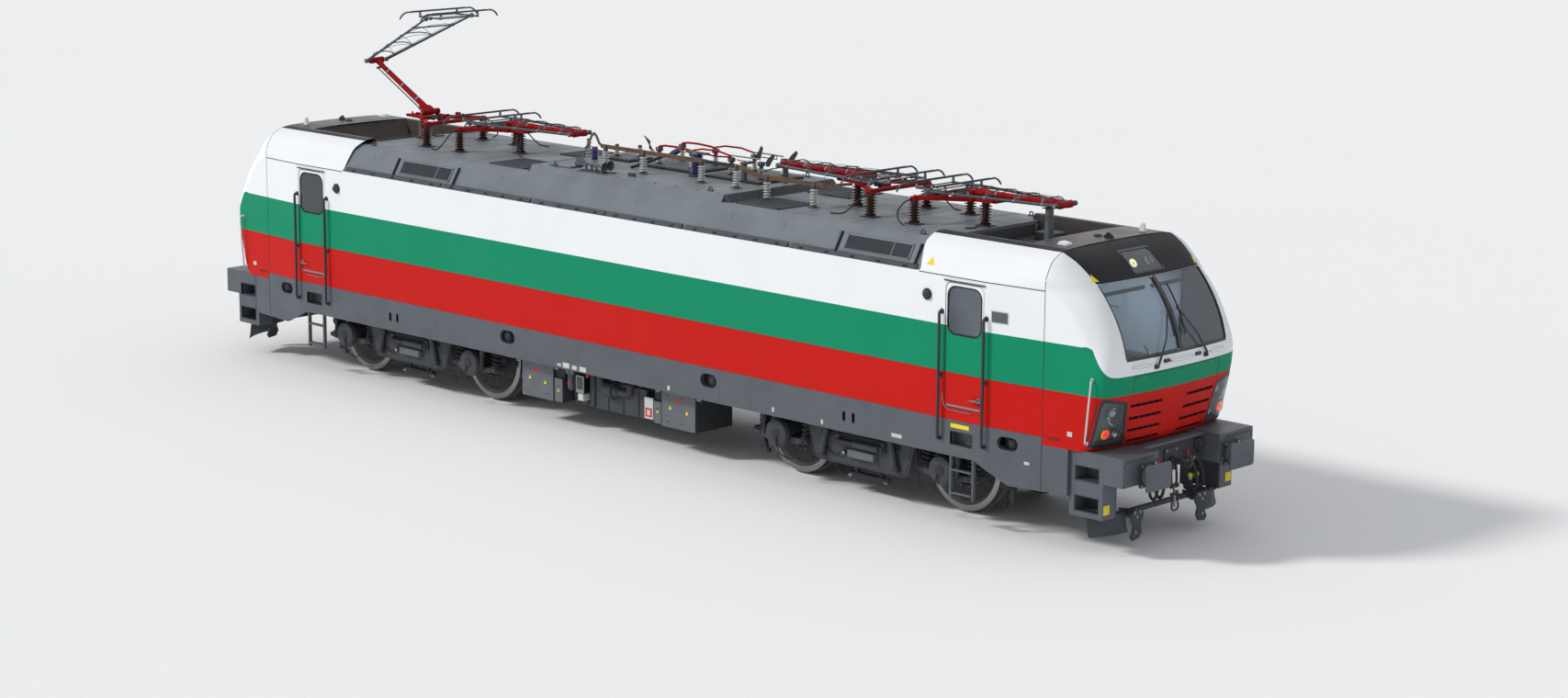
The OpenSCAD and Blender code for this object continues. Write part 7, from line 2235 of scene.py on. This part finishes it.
for node, mats in {
    "underframe": ["skirt_dark"], "side_skirts": ["skirt"], "buffer_beams": ["skirt"], "buffers": ["skirt"],
    "screw_couplings": ["iron"], "brake_hoses": ["hose"], "obstacle_deflectors": ["bogie"],
    "ladders": ["skirt"], "handrails": ["rail"], "side_wall_left": ["body"], "side_wall_right": ["body"],
    "wipers": ["black"], "headlights": ["lens"], "cab_bulkheads": ["lining"], "driver_desks": ["desk"],
    "driver_seats": ["fabric"], "machine_roof": ["roof"], "roof_hatch": ["roof"],
    "roof_insulators": ["brown"], "roof_busbars": ["copper"], "pantograph_bases": ["red"],
    "transformer": ["bogie"], "underfloor_boxes": ["box"],
}.items():
    finish_node(node, *mats)
for n in (1, 2):
    finish_node(f"bogie_frame_{n}", "bogie")
    finish_node(f"axle_boxes_{n}", "bogie")
    finish_node(f"bogie_springs_{n}", "iron")
    finish_node(f"traction_motors_{n}", "iron")
    for hand in ("left", "right"):
        finish_node(f"door_{n}_{hand}", "body")
        finish_node(f"door_{n}_{hand}_window", "pane")
for n in (1, 2, 3, 4):
    finish_node(f"wheelset_{n}", "wheel")
    finish_node(f"lower_arm_{n}", "red")
    finish_node(f"upper_arm_{n}", "arm")
    finish_node(f"pantograph_head_{n}", "arm")

# ---- Floor, light and camera ----

FLOOR_HALF = 300.0


def stage_material():
    """The pale floor, a little uneven."""
    t = Tree("pale_floor")
    t.shader.inputs["Roughness"].default_value = 0.9
    cloud = t.noise(0.05, 2.0)
    t.feed(t.shader.inputs["Base Color"], t.mix(cloud, (0.93, 0.93, 0.93), (0.955, 0.955, 0.955)))
    return t.mat


floor_mesh = bpy.data.meshes.new("studio_floor")
corners = [(x * FLOOR_HALF, y * FLOOR_HALF, -0.001) for x, y in ((-1, -1), (1, -1), (1, 1), (-1, 1))]
floor_mesh.from_pydata(corners, [], [[0, 1, 2, 3]])
floor_mesh.materials.append(stage_material())
floor = bpy.data.objects.new("studio_floor", floor_mesh)
bpy.context.scene.collection.objects.link(floor)

world = bpy.data.worlds.new("studio")
bpy.context.scene.world = world
world.use_nodes = True
nodes, links = world.node_tree.nodes, world.node_tree.links
soft = nodes["Background"]
soft.inputs["Color"].default_value = (0.93, 0.96, 1.0, 1)
soft.inputs["Strength"].default_value = 0.54
seen = nodes.new("ShaderNodeBackground")
seen.inputs["Color"].default_value = (1, 1, 1, 1)
seen.inputs["Strength"].default_value = 1.0
rays = nodes.new("ShaderNodeLightPath")
# Rays from the camera, off gloss and through glass see plain white; the rest get the soft light
direct, seen_by = nodes.new("ShaderNodeMath"), nodes.new("ShaderNodeMath")
direct.operation = seen_by.operation = "ADD"
seen_by.use_clamp = True
links.new(rays.outputs["Is Camera Ray"], direct.inputs[0])
links.new(rays.outputs["Is Glossy Ray"], direct.inputs[1])
links.new(direct.outputs[0], seen_by.inputs[0])
links.new(rays.outputs["Is Transmission Ray"], seen_by.inputs[1])
blend = nodes.new("ShaderNodeMixShader")
links.new(seen_by.outputs[0], blend.inputs[0])
links.new(soft.outputs[0], blend.inputs[1])
links.new(seen.outputs[0], blend.inputs[2])
links.new(blend.outputs[0], nodes["World Output"].inputs["Surface"])

sun_data = bpy.data.lights.new("key", "SUN")
sun_data.energy = 2.1
sun_data.angle = math.radians(9)
sun_data.color = (1.0, 0.985, 0.96)
sun = bpy.data.objects.new("key", sun_data)
sun.visible_glossy = False  # No hard spot of it in the glass
sun.rotation_euler = Vector((-1.0, -1.0, 1.0)).to_track_quat("Z", "Y").to_euler()
bpy.context.scene.collection.objects.link(sun)

for s in (-1, 1):  # The lining lamp of each cab, to show the room behind the glass
    room_data = bpy.data.lights.new("cab_lamp", "AREA")
    room_data.shape, room_data.size, room_data.size_y, room_data.energy = "RECTANGLE", 1.0, 1.8, 26.0
    room = bpy.data.objects.new("cab_lamp", room_data)
    room.location = up((s * 7.45, 0.0, 3.235))
    room.visible_camera = room.visible_glossy = False
    bpy.context.scene.collection.objects.link(room)

cam_data = bpy.data.cameras.new("camera")
cam_data.sensor_width = 36.0
cam_data.lens = 71.98
cam_data.clip_end = 1000.0
camera = bpy.data.objects.new("camera", cam_data)
azimuth, elevation, roll = math.radians(44.039), math.radians(11.587), math.radians(0.469)
back = Vector((math.sin(azimuth) * math.cos(elevation), -math.cos(azimuth) * math.cos(elevation),
               math.sin(elevation)))
right = Vector((math.cos(azimuth), math.sin(azimuth), 0))
upward = back.cross(right)
right, upward = (
    right * math.cos(roll) + upward * math.sin(roll),
    upward * math.cos(roll) - right * math.sin(roll),
)
camera.matrix_world = Matrix.Translation(up((32.477, -31.390, 10.405))) @ Matrix((right, upward,
                                                                                  back)).transposed().to_4x4()
bpy.context.scene.collection.objects.link(camera)
bpy.context.scene.camera = camera
bpy.context.scene.view_settings.view_transform = "Standard"
